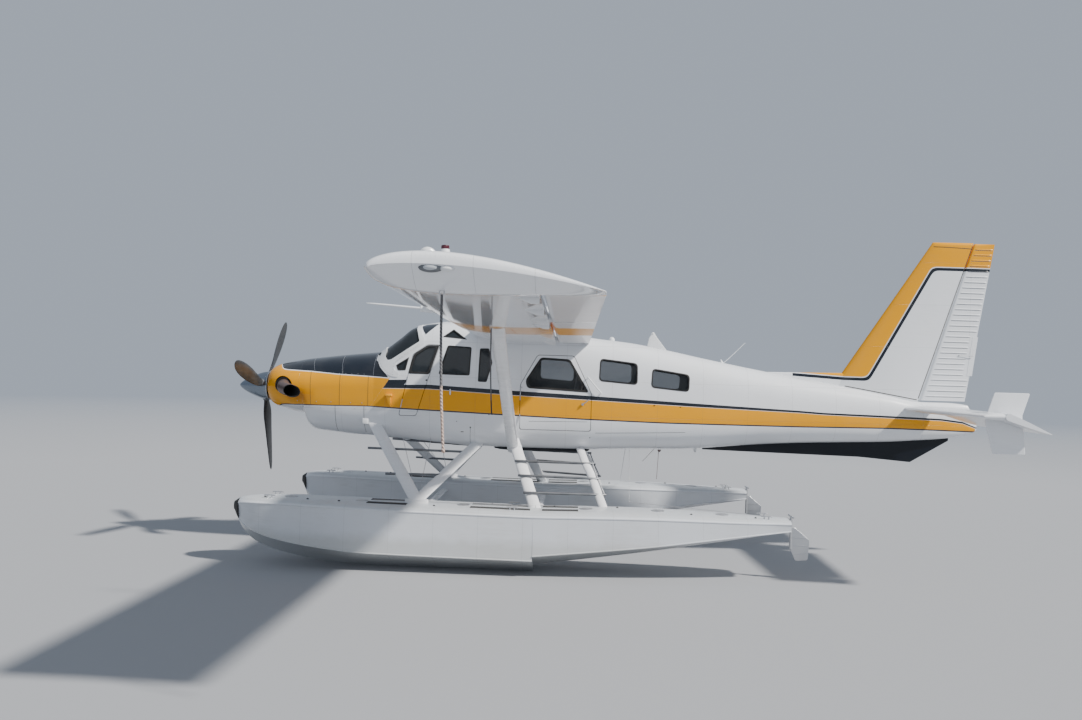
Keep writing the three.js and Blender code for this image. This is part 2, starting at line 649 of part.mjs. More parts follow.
function wingControl([inner, outer]) {
  return loft([inner, outer].map((y) => controlRing(wingStation(), WING_HINGE_X, wingPlace(y))));
}

// Hinge pins that carry a flap or an aileron between the wing's ribs
function hingePins([inner, outer]) {
  const ends = [inner, outer].map((y) => wingHinge(y));
  return ends.map((end, i) => {
    const reach = i === 0 ? -CONTROL_GAP + SEAM : CONTROL_GAP - SEAM;
    return bar([end.x, end.y, end.z], [end.x, end.y - reach, end.z], 24, 24, 10);
  });
}

function buildWing() {
  let wing = wingBody();
  for (const span of [FLAP_SPAN, AILERON_SPAN]) {
    wing = wing.subtract(controlBay(span));
  }
  wing = wing.subtract(hull(CABIN_STATIONS, 3000, 5400, -SEAM));
  const outside = box([3300, 5100], [-HALF_SPAN - 10, -340], [2700, 3500]);
  wing = wing.intersect(outside);
  const wingRight = mirrored(wing);
  const boom = bar([2807, -4500, 3112], [3440, -4500, 3068], 22, 22, 10);
  const mast = bar([3200, -4500, 3080], [3480, -4500, 3060], 40, 40, 10);
  wing = wing.add(boom).add(mast);
  for (const { top, radius } of Object.values(ROPES)) {
    const ring = bar([top[0], top[1], top[2] + SEAM], [top[0], top[1], top[2] + 90], 2 * radius + 6, 2 * radius + 6, 10);
    wing = wing.add(ring);
  }
  addPiece('wing_left', wing, 'white');
  addPiece('wing_right', wingRight, 'white');
  for (const [name, span] of [['flap', FLAP_SPAN], ['aileron', AILERON_SPAN]]) {
    const [inboard, outboard] = hingePins(span);
    addPair(name, wingControl(span).add(inboard).add(outboard), 'white');
  }
}

// Fin and rudder
function finStation(z) {
  const share = (z - FIN.footZ) / (FIN.topZ - FIN.footZ);
  const mix = ([low, high]) => THREE.MathUtils.lerp(low, high, share);
  return { leading: mix(FIN.leading), trailing: mix(FIN.trailing), thickness: mix(FIN.thickness) };
}

function rudderHinge(z) {
  const { low, high } = RUDDER_HINGE;
  return THREE.MathUtils.mapLinear(z, low[1], high[1], low[0], high[0]);
}

// Pin at the rudder's foot, which turns in the tail cone
function rudderPin(play) {
  const foot = RUDDER_PIN_Z[0] - play;
  const head = RUDDER_PIN_Z[1];
  const width = 2 * (RUDDER_PIN_RADIUS + play);
  return bar([rudderHinge(foot), 0, foot], [rudderHinge(head), 0, head], width, width, 12);
}

function buildFin() {
  const { low, high } = RUDDER_HINGE;
  const stretch = Math.hypot(high[0] - low[0], high[1] - low[1]) / (high[1] - low[1]);
  const levels = [2150, FIN.footZ, 3200, 4448, FIN.topZ];
  const rings = levels.map((z) => {
    const station = finStation(z);
    const nose = (station.trailing - station.leading)
      * foilHalf((rudderHinge(z) - station.leading) / (station.trailing - station.leading), station.thickness);
    const cut = rudderHinge(z) - stretch * (nose + CONTROL_GAP);
    const squeeze = z === FIN.topZ ? 0.5 : 1;
    return foilRing({ ...station, cut, thickness: station.thickness * squeeze }, (x, n) => [x, n, z]);
  });
  let fin = loft(rings);
  const ridge = [DORSAL_START_X, 7900, 8300, 9000].map((x, i) => {
    const half = 14 + 10 * i;
    const top = i === 0 ? 2606 : FIN.footZ;
    return [[x, -half, 2300], [x, half, 2300], [x, half, top - 30], [x, 8, top], [x, -8, top], [x, -half, top - 30]];
  });
  fin = fin.add(loft(ridge));
  fin = fin.subtract(hull(CABIN_STATIONS, 7300, TAIL_END_X, -SEAM));
  fin = fin.intersect(box([7000, 10500], [-FAR, FAR], [2240, 4600]));
  const cell = sidePrism([[9900, 2200], [9640, 2200], [9640, 2262], [9683, 2262]], [-200, 200]);
  addPiece('fin', fin.subtract(cell), 'white');

  const rudderLevels = [RUDDER_BOTTOM_Z, 3300, 4440, RUDDER_TOP_Z];
  const rudder = loft(rudderLevels.map((z) => controlRing(finStation(z), rudderHinge(z), (x, n) => [x, n, z], stretch)));
  addPiece('rudder', rudder.add(rudderPin(0)), 'white');

  const ventral = sidePrism(VENTRAL, [-VENTRAL_THICKNESS / 2, VENTRAL_THICKNESS / 2])
    .subtract(hull(CABIN_STATIONS, CABIN_END_X, TAIL_END_X, -SEAM));
  addPiece('ventral_fin', ventral, 'black');
}

// Tailplane with its finlets, and the elevator
function tailStation(y) {
  const share = Math.abs(y) / TAILPLANE.half;
  const mix = ([root, tip]) => THREE.MathUtils.lerp(root, tip, share);
  return { leading: mix(TAILPLANE.leading), trailing: mix(TAILPLANE.trailing), thickness: mix(TAILPLANE.thickness) };
}

function tailNose(y) {
  const { leading, trailing, thickness } = tailStation(y);
  return (trailing - leading) * foilHalf((TAIL_HINGE.x - leading) / (trailing - leading), thickness);
}

function tailplaneBody(margin = 0) {
  const cut = TAIL_HINGE.x - tailNose(0) - CONTROL_GAP;
  return loft([-1, 0, 1].map((side) => {
    const y = side * TAILPLANE.half;
    const place = (x, n) => [x, y, TAIL_HINGE.z + n];
    return swell(foilRing({ ...tailStation(y), cut }, place), margin);
  }));
}

function buildTailplane() {
  let plane = tailplaneBody();
  for (const side of [-1, 1]) {
    const y = side * FINLET_Y;
    let finlet = sidePrism(FINLET, [y - FINLET_THICKNESS / 2, y + FINLET_THICKNESS / 2]);
    const { x, z } = TAIL_HINGE;
    finlet = finlet.subtract(bar([x, y - 40, z], [x, y + 40, z], 2 * TUBE_HOLE_RADIUS, 2 * TUBE_HOLE_RADIUS, 16));
    plane = plane.add(finlet);
  }
  addPiece('tailplane', plane, 'white');

  const surface = (from, to) => loft([from, to].map((y) => {
    const place = (x, n) => [x, y, TAIL_HINGE.z + n];
    return controlRing(tailStation(y), TAIL_HINGE.x, place);
  }));
  const clear = FINLET_THICKNESS / 2 + 8;
  const notch = new THREE.Shape([[9600, -120], [9600, 120], [10500, 470], [10500, -470]].map((p) => new THREE.Vector2(...p)));
  const notchGeometry = new THREE.ExtrudeGeometry(notch, { depth: 600, bevelEnabled: false });
  notchGeometry.translate(0, 0, TAIL_HINGE.z - 300);
  let elevator = surface(-TAILPLANE.half, TAILPLANE.half).subtract(solid(notchGeometry));
  for (const side of [-1, 1]) {
    const y = side * FINLET_Y;
    elevator = elevator.subtract(box([9000, 11000], [y - clear, y + clear], [1800, 2600]));
  }
  const { x, z } = TAIL_HINGE;
  const reach = TAILPLANE.half - 40;
  elevator = elevator.add(bar([x, -reach, z], [x, reach, z], 2 * ELEVATOR_TUBE_RADIUS, 2 * ELEVATOR_TUBE_RADIUS, 12));
  const geometry = geometryOf(elevator);
  geometry.translate(-x, 0, -z);
  geometry.rotateY(ELEVATOR_DROOP);
  geometry.translate(x, 0, z);
  addPiece('elevator', geometry, 'white');
}

// Floats and what carries them
function floatBody(margin = 0) {
  return loft(FLOAT_STATIONS.map(([x, keel, chineZ, chineY, railZ, railY, deck]) => {
    const side = [[0, keel], [chineY, chineZ], [railY, railZ], [railY - 60, deck - 12], [0, deck]];
    const port = side.slice(1, 4).reverse().map(([y, z]) => [-y, z]);
    return swell([...side, ...port].map(([y, z]) => [x, y - FLOAT_Y, z]), margin);
  }));
}

function buildFloats() {
  const lug = box([FLOAT_END_X - 30, RUDDER_POST.x - RUDDER_POST.radius - SEAM], [-FLOAT_Y - 16, -FLOAT_Y + 16], [636, 700]);
  const floatSolid = floatBody().add(lug);
  addPair('float', floatSolid, 'grey');
  const clearFloat = floatBody(SEAM);
  const clearBody = hull(CABIN_STATIONS, FIREWALL_X, CABIN_END_X, -SEAM);
  const fore = bar(FRONT_FOOT, FRONT_TOP_FORE, FRONT_STRUT.chord, FRONT_STRUT.thickness);
  const aft = bar(FRONT_FOOT, FRONT_TOP_AFT, FRONT_STRUT.chord, FRONT_STRUT.thickness);
  const [footX, footY, footZ] = FRONT_FOOT;
  const shoe = bar([footX, footY, FRONT_SHOE.depth], [footX, footY, footZ + 30], FRONT_SHOE.chord, FRONT_SHOE.thickness);
  const front = fore.add(aft).add(shoe).subtract(clearFloat).subtract(clearBody);
  addPair('front_strut', front, 'white');
  const rear = bar(REAR_STRUT.high, REAR_STRUT.low, REAR_STRUT.chord, REAR_STRUT.thickness);
  addPair('rear_strut', rear.subtract(clearFloat).subtract(clearBody), 'white');

  let ladder = bar(LADDER.high, LADDER.low, LADDER.chord, LADDER.thickness);
  for (const [fore, aft] of LADDER_RUNGS) {
    ladder = ladder.add(bar(fore, aft, 2 * LADDER.rungRadius, 2 * LADDER.rungRadius, 10));
  }
  addPair('ladder', ladder.subtract(clearFloat).subtract(clearBody), 'grey');

  SPREADER.stations.forEach((x, i) => {
    const spreader = bar([x, -FLOAT_Y, SPREADER.z], [x, FLOAT_Y, SPREADER.z], SPREADER.chord, SPREADER.thickness)
      .subtract(clearFloat)
      .subtract(mirrored(clearFloat))
      .intersect(box([x - 200, x + 200], [-FLOAT_Y + 300, FLOAT_Y - 300], [0, 1000]));
    addPiece(i === 0 ? 'spreader_front' : 'spreader_rear', spreader, 'white');
  });
}

function buildWingStruts() {
  const { low, high, chord, thickness } = WING_STRUT;
  let strut = bar(low, high, chord, thickness);
  strut = strut.subtract(hull(CABIN_STATIONS, FIREWALL_X, CABIN_END_X, -SEAM)).subtract(wingBody(SEAM));
  const rearStrut = bar(REAR_STRUT.high, REAR_STRUT.low, REAR_STRUT.chord + 2, REAR_STRUT.thickness + 2);
  addPair('wing_strut', strut.subtract(rearStrut), 'white');
}

function buildWaterRudders() {
  const { x, radius } = RUDDER_POST;
  const post = bar([x, -FLOAT_Y, 380], [x, -FLOAT_Y, 800], 2 * radius, 2 * radius, 12);
  const blade = sidePrism([[x, 640], [x + 40, 660], [x + 235, 500], [x + 215, 250], [x + 60, 235], [x, 380]], [-FLOAT_Y - 7, -FLOAT_Y + 7]);
  const tiller = bar([x, -FLOAT_Y - 130, 790], [x, -FLOAT_Y + 130, 790], 22, 22, 10);
  addPair('water_rudder', post.add(blade).add(tiller), 'grey');
}

// Propeller
function buildPropeller() {
  const profile = SPINNER_PROFILE.map(([x, r]) => new THREE.Vector2(r, -x));
  profile.push(new THREE.Vector2(0, -SPINNER_BASE_X));
  const dome = new THREE.LatheGeometry(profile.reverse(), 24);
  dome.rotateZ(Math.PI / 2);
  dome.translate(0, 0, PROP_AXIS_Z);
  let spinner = solid(dome);
  const shaft = bar([SPINNER_BASE_X - 30, 0, PROP_AXIS_Z], [ENGINE.x[0] - SEAM, 0, PROP_AXIS_Z], 2 * SHAFT_RADIUS, 2 * SHAFT_RADIUS, 16);
  spinner = spinner.add(shaft);
  let blades = bar([PROP_HUB_X - 55, 0, PROP_AXIS_Z], [PROP_HUB_X + 55, 0, PROP_AXIS_Z], 180, 180, 18);
  let sockets = bar([PROP_HUB_X - 56, 0, PROP_AXIS_Z], [PROP_HUB_X + 56, 0, PROP_AXIS_Z], 182, 182, 18);
  for (const angle of BLADE_ANGLES) {
    blades = blades.add(blade(angle, 0));
    sockets = sockets.add(blade(angle, 1));
  }
  addPiece('spinner', spinner.subtract(sockets), 'steel');
  addPiece('prop_blades', blades, 'dark');
}

// One twisted blade; angle runs from port upwards
function blade(angle, margin) {
  const turn = THREE.MathUtils.degToRad(angle);
  const out = [0, -Math.cos(turn), Math.sin(turn)];
  const across = [0, Math.sin(turn), Math.cos(turn)];
  return loft(BLADE_STATIONS.map(([reach, chord, thickness, pitch]) => Array.from({ length: 12 }, (_, i) => {
    const a = (2 * Math.PI * i) / 12;
    const twist = THREE.MathUtils.degToRad(-pitch);
    const along = (chord / 2 + margin) * Math.cos(a);
    const thick = (thickness / 2 + margin) * Math.sin(a);
    const inDisc = along * Math.cos(twist) - thick * Math.sin(twist);
    const fore = along * Math.sin(twist) + thick * Math.cos(twist);
    return [
      PROP_HUB_X + fore,
      out[1] * reach + across[1] * inDisc,
      PROP_AXIS_Z + out[2] * reach + across[2] * inDisc,
    ];
  })));
}

// Seats and instrument panel, seen through the glass
function buildInterior() {
  const rows = [[2620, 260], [3450, 270], [4350, 270]];
  let seats = box([2600, 5000], [-60, 60], [FLOOR_HEIGHT + SEAM, FLOOR_HEIGHT + 60]);
  for (const [x, y] of rows) {
    for (const side of [-1, 1]) {
      const centre = side * y;
      const across = [centre - 215, centre + 215];
      const base = sidePrism([[x, 1600 + SEAM], [x + 430, 1600 + SEAM], [x + 430, 1900], [x, 1900]], [Math.min(centre, 0), Math.max(centre, 0)]);
      const pan = box([x - 30, x + 470], across, [1900, 2020]);
      const back = sidePrism([[x + 400, 1960], [x + 500, 1960], [x + 640, 2560], [x + 560, 2580]], across, 40);
      seats = seats.add(base).add(pan).add(back);
    }
  }
  addPiece('seats', seats, 'trim');
  const panel = hull(CABIN_STATIONS, FIREWALL_X + FIREWALL_THICKNESS + SEAM, 2360, WALL + SEAM)
    .intersect(sidePrism([[2100, 2560], [2340, 2560], [2350, 2250], [2280, 2200], [2100, 2200]], [-540, 540]));
  addPiece('instrument_panel', panel, 'black');
}

// Ropes that hang free under the port wing
function buildRopes() {
  for (const [name, { top, length, radius, lean }] of Object.entries(ROPES)) {
    const points = [0, 0.3, 0.65, 1].map((share) => new THREE.Vector3(
      top[0] + lean * share ** 2,
      top[1],
      top[2] - length * share,
    ));
    const section = new THREE.Shape();
    section.absarc(0, 0, radius, 0, 2 * Math.PI);
    const geometry = new THREE.ExtrudeGeometry(section, {
      steps: 14,
      curveSegments: 4,
      bevelEnabled: false,
      extrudePath: new THREE.CatmullRomCurve3(points),
    });
    addPiece(name, solid(geometry), 'rope');
  }
}

buildNose();
buildEngine();
buildCabin();
buildWindows();
buildDoors();
buildInterior();
buildTailCone();
buildWing();
buildWingStruts();
buildFin();
buildTailplane();
buildFloats();
buildWaterRudders();
buildPropeller();
buildRopes();

// The origin moves to the middle of the length, on the ground
const bounds = new THREE.Box3().setFromObject(aeroplane);
aeroplane.position.x = -(bounds.min.x + bounds.max.x) / 2;

export default aeroplane;
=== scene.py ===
"""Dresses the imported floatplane: smooth skins, paint, glass, fittings, ropes, light and camera."""

import logging
import math
from collections.abc import Callable, Iterable, Sequence
from dataclasses import dataclass, field
from enum import Enum
from functools import reduce

import bmesh
import bpy
from mathutils import Matrix, Vector


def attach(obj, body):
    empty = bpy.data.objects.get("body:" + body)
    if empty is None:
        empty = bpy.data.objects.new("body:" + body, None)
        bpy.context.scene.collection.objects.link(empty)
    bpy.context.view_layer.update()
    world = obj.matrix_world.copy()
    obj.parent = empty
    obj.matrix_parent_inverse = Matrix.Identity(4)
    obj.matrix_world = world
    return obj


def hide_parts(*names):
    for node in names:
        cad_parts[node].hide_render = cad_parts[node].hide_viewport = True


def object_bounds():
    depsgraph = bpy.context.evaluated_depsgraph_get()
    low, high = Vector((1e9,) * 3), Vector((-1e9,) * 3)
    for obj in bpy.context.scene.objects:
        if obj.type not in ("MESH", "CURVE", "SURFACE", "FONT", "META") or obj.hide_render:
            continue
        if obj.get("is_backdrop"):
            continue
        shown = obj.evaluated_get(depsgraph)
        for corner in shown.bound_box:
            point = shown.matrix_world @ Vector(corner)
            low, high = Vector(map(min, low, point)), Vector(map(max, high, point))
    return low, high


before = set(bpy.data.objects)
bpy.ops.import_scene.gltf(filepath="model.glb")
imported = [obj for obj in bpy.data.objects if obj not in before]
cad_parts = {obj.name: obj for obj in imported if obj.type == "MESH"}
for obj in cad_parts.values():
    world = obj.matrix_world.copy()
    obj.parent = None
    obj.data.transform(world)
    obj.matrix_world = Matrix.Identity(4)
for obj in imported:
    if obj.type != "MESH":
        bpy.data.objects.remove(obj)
CAD_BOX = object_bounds()
NOSE_X = CAD_BOX[0].x
MILLIMETRE = 0.001

log = logging.getLogger("floatplane")

Socket = bpy.types.NodeSocket
Ring = list[Vector]
Corner = tuple[float, float]
Colour = tuple[float, float, float, float]
Spot = tuple[float, float, float]
AFT = Vector((1, 0, 0))
PORT = Vector((0, -1, 0))
UP = Vector((0, 0, 1))


class Body(str, Enum):
    """The bodies that pieces ride on."""

    AIRFRAME = "airframe"
    PROPELLER = "propeller"
    CREW_DOOR_LEFT = "crew_door_left"
    CREW_DOOR_RIGHT = "crew_door_right"
    CABIN_DOOR = "cabin_door"
    FLAP_LEFT = "flap_left"
    FLAP_RIGHT = "flap_right"
    AILERON_LEFT = "aileron_left"
    AILERON_RIGHT = "aileron_right"
    ELEVATOR = "elevator"
    RUDDER = "rudder"
    WATER_RUDDER_LEFT = "water_rudder_left"
    WATER_RUDDER_RIGHT = "water_rudder_right"


class Slot(str, Enum):
    """The record's material slots."""

    HULL = "hull_paint"
    YELLOW = "yellow_paint"
    WING = "wing_paint"
    TAIL = "tail_paint"
    FLOAT = "float_paint"
    STRUT = "strut_paint"
    DARK = "dark_paint"
    LADDER = "ladder_metal"
    ENGINE = "engine_metal"
    POLISHED = "polished_metal"
    BLADE = "blade_paint"
    GLASS = "window_glass"
    SEAT = "seat_fabric"
    PANEL = "panel_plastic"
    ROPE = "rope_fibre"


# ---------------------------------------------------------------- shapes


def at(x: float, y: float, z: float) -> Vector:
    """A place in millimetres from the spinner tip, centreline and keels, as metres in the row's frame."""
    return Vector((NOSE_X + x * MILLIMETRE, y * MILLIMETRE, z * MILLIMETRE))


def lerp(low: float, high: float, share: float) -> float:
    """Value between two others."""
    return low + (high - low) * share


def evenly(low: float, high: float, count: int) -> list[float]:
    """Values from one to another in so many even steps."""
    return [lerp(low, high, k / count) for k in range(count + 1)]


def crowded(low: float, high: float, count: int) -> list[float]:
    """Values from one to another that crowd towards both ends."""
    return [lerp(low, high, (1 - math.cos(math.pi * k / count)) / 2) for k in range(count + 1)]


def around(count: int) -> list[float]:
    """So many even angles round a circle."""
    return [2 * math.pi * i / count for i in range(count)]


def bent(value: float, power: float) -> float:
    """A value raised to a power with its sign kept."""
    return math.copysign(abs(value) ** power, value)


def heading(path: Sequence[Vector], i: int) -> Vector:
    """Direction of a path at one of its points."""
    return (path[min(i + 1, len(path) - 1)] - path[max(i - 1, 0)]).normalized()


def square_to(axis: Vector) -> Vector:
    """A direction square to another one."""
    guide = UP if abs(axis.z) < 0.9 else AFT
    return (guide - axis * guide.dot(axis)).normalized()


@dataclass
class Shape:
    """Points and faces of a mesh in the making, in the row's metres."""

    points: list[Vector] = field(default_factory=list)
    faces: list[tuple[int, ...]] = field(default_factory=list)

    def add(self, other: "Shape") -> "Shape":
        """Joins another shape's points and faces to this one.

        Args:
            other: the shape to join.

        Returns:
            This shape.
        """
        start = len(self.points)
        self.points += [p.copy() for p in other.points]
        self.faces += [tuple(start + i for i in face) for face in other.faces]
        return self

    def loft(self, rings: Sequence[Ring], caps: bool = True, round_again: bool = False) -> "Shape":
        """Skins closed rings of equal length.

        Args:
            rings: the rings, each a list of points.
            caps: whether the first and last ring are closed with a face.
            round_again: whether the last ring joins the first.

        Returns:
            This shape.
        """
        start, count = len(self.points), len(rings[0])
        for ring in rings:
            self.points += [Vector(p) for p in ring]
        spans = len(rings) if round_again else len(rings) - 1
        for r in range(spans):
            a, b = start + r * count, start + ((r + 1) % len(rings)) * count
            self.faces += [(a + i, a + (i + 1) % count, b + (i + 1) % count, b + i) for i in range(count)]
        if caps and not round_again:
            self.faces.append(tuple(start + i for i in reversed(range(count))))
            last = start + (len(rings) - 1) * count
            self.faces.append(tuple(last + i for i in range(count)))
        return self

    def mirrored(self) -> "Shape":
        """The same shape on the other side of the aeroplane.

        Returns:
            The mirrored shape, its faces still turned outwards.
        """
        return Shape(
            [Vector((p.x, -p.y, p.z)) for p in self.points],
            [tuple(reversed(face)) for face in self.faces],
        )

    def mesh(self, name: str) -> bpy.types.Mesh:
        """A Blender mesh of this shape with its faces turned outwards.

        Args:
            name: the mesh's name.

        Returns:
            The mesh.
        """
        mesh = bpy.data.meshes.new(name)
        mesh.from_pydata([tuple(p) for p in self.points], [], self.faces)
        work = bmesh.new()
        work.from_mesh(mesh)
        bmesh.ops.remove_doubles(work, verts=work.verts, dist=2e-5)
        bmesh.ops.recalc_face_normals(work, faces=work.faces)
        work.to_mesh(mesh)
        work.free()
        return mesh


def shape_of(mesh: bpy.types.Mesh) -> Shape:
    """The points and faces of a Blender mesh."""
    return Shape([v.co.copy() for v in mesh.vertices], [tuple(p.vertices) for p in mesh.polygons])


def carve(shape: Shape, *cuts: tuple[str, Shape]) -> Shape:
    """Joins or cuts a shape with others.

    Args:
        shape: a closed shape.
        cuts: pairs of UNION, DIFFERENCE or INTERSECT and a closed shape.

    Returns:
        The resulting shape.
    """
    scene = bpy.context.scene.collection
    main = bpy.data.objects.new("carving", shape.mesh("carving"))
    scene.objects.link(main)
    tools = []
    for operation, cutter in cuts:
        tool = bpy.data.objects.new("tool", cutter.mesh("tool"))
        scene.objects.link(tool)
        tools.append(tool)
        change = main.modifiers.new("cut", "BOOLEAN")
        change.solver = "EXACT"
        change.operation = operation
        change.object = tool
    found = main.evaluated_get(bpy.context.evaluated_depsgraph_get())
    result = shape_of(found.to_mesh())
    found.to_mesh_clear()
    for thing in (main, *tools):
        data = thing.data
        bpy.data.objects.remove(thing)
        bpy.data.meshes.remove(data)
    return result


def box(x: Corner, y: Corner, z: Corner, bevel: float = 0.0) -> Shape:
    """A block between corners in millimetres, its edges rounded by bevel.

    Args:
        x: its two stations.
        y: its two distances to the side.
        z: its two heights.
        bevel: radius of its edges.

    Returns:
        The closed shape.
    """
    ring = [(x[0], y[0]), (x[1], y[0]), (x[1], y[1]), (x[0], y[1])]
    shape = Shape().loft([[at(px, py, h) for px, py in ring] for h in z])
    return rounded(shape, bevel) if bevel else shape


def rounded(shape: Shape, radius: float, segments: int = 3, angle: float = 30.0) -> Shape:
    """Rounds a shape's sharp edges.

    Args:
        shape: a closed shape.
        radius: in millimetres.
        segments: faces across each rounded edge.
        angle: edges that turn by more than this many degrees are sharp.

    Returns:
        The rounded shape.
    """
    mesh = shape.mesh("rounding")
    work = bmesh.new()
    work.from_mesh(mesh)
    limit = math.radians(angle)
    sharp = [e for e in work.edges if len(e.link_faces) == 2 and e.calc_face_angle(0) > limit]
    width = radius * MILLIMETRE
    bmesh.ops.bevel(
        work, geom=sharp, offset=width, segments=segments, affect="EDGES", profile=0.5, clamp_overlap=True
    )
    work.to_mesh(mesh)
    work.free()
    result = shape_of(mesh)
    bpy.data.meshes.remove(mesh)
    return result


def circle(centre: Vector, axis: Vector, radius: float, steps: int) -> Ring:
    """A ring of points round an axis of length 1; radius in metres.

    Args:
        centre: its middle.
        axis: the direction that it turns round.
        radius: its radius in metres.
        steps: how many points it has.

    Returns:
        The ring.
    """
    first = square_to(axis)
    second = axis.cross(first)
    return [
        centre + first * (radius * math.cos(a)) + second * (radius * math.sin(a)) for a in around(steps)
    ]


def lathe(centre: Vector, axis: Vector, profile: Iterable[Corner], steps: int = 32) -> Shape:
    """A turned form.

    Args:
        centre: where the profile starts.
        axis: direction of the turning axis.
        profile: pairs of distance along the axis and radius, in millimetres.
        steps: points round.

    Returns:
        The closed shape.
    """
    unit = axis.normalized()
    rings = [
        circle(centre + unit * (along * MILLIMETRE), unit, max(radius, 0.02) * MILLIMETRE, steps)
        for along, radius in profile
    ]
    return Shape().loft(rings)


def smooth_path(points: Sequence[Vector], steps: int) -> list[Vector]:
    """A smooth curve through points.

    Args:
        points: what it passes through.
        steps: steps between each pair of them.

    Returns:
        The points of the curve.
    """
    padded = [points[0] * 2 - points[1], *points, points[-1] * 2 - points[-2]]
    path = []
    for i in range(1, len(padded) - 2):
        p0, p1, p2, p3 = padded[i - 1 : i + 3]
        for k in range(steps):
            t = k / steps
            curl = (2 * p0 - 5 * p1 + 4 * p2 - p3) * t * t
            path.append(0.5 * ((2 * p1) + (p2 - p0) * t + curl + (3 * p1 - p0 - 3 * p2 + p3) * t**3))
    return [*path, padded[-2].copy()]


def tube(points: Sequence[Vector], radius: float, steps: int = 14, smooth: int = 0) -> Shape:
    """A round bar along points; radius in millimetres.

    Args:
        points: what it follows.
        radius: its radius in millimetres.
        steps: points round.
        smooth: steps between the points where it follows a smooth curve, or 0.

    Returns:
        The closed shape.
    """
    path = smooth_path(points, smooth) if smooth else [Vector(p) for p in points]
    rings, side = [], None
    for i, p in enumerate(path):
        along = heading(path, i)
        side = square_to(along) if side is None else (side - along * side.dot(along)).normalized()
        other = along.cross(side)
        reach = radius * MILLIMETRE
        rings.append([p + (side * math.cos(a) + other * math.sin(a)) * reach for a in around(steps)])
    return Shape().loft(rings)


def strut_ring(centre: Vector, along: Vector, chord: float, thickness: float, steps: int = 28) -> Ring:
    """A streamlined section with its chord along X.

    Args:
        centre: its middle.
        along: the direction that it is square to.
        chord: its length in millimetres.
        thickness: its thickness in millimetres.
        steps: points round.

    Returns:
        The closed section.
    """
    along = along.normalized()
    fore = (AFT - along * along.x).normalized()
    side = along.cross(fore)
    ring = []
    for a in around(steps):
        reach = math.cos(a)
        across = thickness / 2 * math.sin(a) * (1.0 - 0.18 * max(reach, 0.0))
        ring.append(centre + (fore * (chord / 2 * reach) + side * across) * MILLIMETRE)
    return ring


def ellipsoid(centre: Vector, size: Spot) -> Shape:
    """A ball stretched to half sizes along X, Y and Z, in millimetres.

    Args:
        centre: its middle.
        size: its half sizes.

    Returns:
        The closed shape.
    """
    angles = [math.pi * (k + 0.02) / 14.04 for k in range(15)]
    ball = lathe(Vector(), -PORT, [(-math.cos(a), math.sin(a)) for a in angles], 28)
    scale = Matrix.Diagonal(size)
    return Shape([centre + scale @ p for p in ball.points], ball.faces)


def streamlined(
    low: Vector, high: Vector, chord: float, thickness: float, steps: int = 28, rings: int = 2
) -> Shape:
    """A strut of streamlined section, its chord along X.

    Args:
        low: its lower end.
        high: its upper end.
        chord: length of the section in millimetres.
        thickness: thickness of the section in millimetres.
        steps: points round.
        rings: sections along it.

    Returns:
        The closed shape.
    """
    spots = [low.lerp(high, share) for share in evenly(0, 1, rings - 1)]
    return Shape().loft([strut_ring(spot, high - low, chord, thickness, steps) for spot in spots])


def outline_round(corners: Sequence[Corner], radius: float, steps: int = 6) -> list[Corner]:
    """Rounds the corners of a flat outline.

    Args:
        corners: the outline.
        radius: how far from each corner the rounding starts.
        steps: steps round each corner.

    Returns:
        The rounded outline.
    """
    points = [Vector((x, z)) for x, z in corners]
    result: list[Corner] = []
    for i, corner in enumerate(points):
        before, after = points[i - 1], points[(i + 1) % len(points)]
        reach = min(radius, (corner - before).length / 2.2, (corner - after).length / 2.2)
        start = corner + (before - corner).normalized() * reach
        end = corner + (after - corner).normalized() * reach
        for k in range(steps + 1):
            t = k / steps
            p = start * (1 - t) ** 2 + corner * (2 * t * (1 - t)) + end * t**2
            result.append((p.x, p.y))
    return result


def outline_inset(corners: Sequence[Corner], distance: float) -> list[Corner]:
    """Moves a flat outline inwards.

    Args:
        corners: the outline.
        distance: how far; a negative one moves it outwards.

    Returns:
        The new outline.
    """
    points = [Vector((x, z)) for x, z in corners]
    area = sum(a.x * b.y - b.x * a.y for a, b in zip(points, points[1:] + points[:1], strict=True))
    turn = 1 if area > 0 else -1
    result: list[Corner] = []
    for i, corner in enumerate(points):
        before, after = points[i - 1], points[(i + 1) % len(points)]
        arriving, leaving = (corner - before).normalized(), (after - corner).normalized()
        normals = [Vector((-d.y, d.x)) * turn for d in (arriving, leaving)]
        middle = (normals[0] + normals[1]).normalized()
        reach = distance / max(middle.dot(normals[0]), 0.3)
        result.append((corner.x + middle.x * reach, corner.y + middle.y * reach))
    return result


def band(start: Corner, end: Corner, half: float) -> list[Corner]:
    """The outline of a thin straight band.

    Args:
        start: where its middle line starts.
        end: where its middle line ends.
        half: half of its width, up and down on a level band and to and fro on a steep one.

    Returns:
        Its four corners.
    """
    (x0, z0), (x1, z1) = start, end
    if abs(x1 - x0) > abs(z1 - z0):
        return [(x0, z0 + half), (x1, z1 + half), (x1, z1 - half), (x0, z0 - half)]
    return [(x0 - half, z0), (x0 + half, z0), (x1 + half, z1), (x1 - half, z1)]


def prism(outline: Sequence[Corner], y: Corner) -> Shape:
    """A side-view outline of x and z corners drawn from one y to the other, in millimetres."""
    return Shape().loft([[at(x, side, z) for x, z in outline] for side in y])


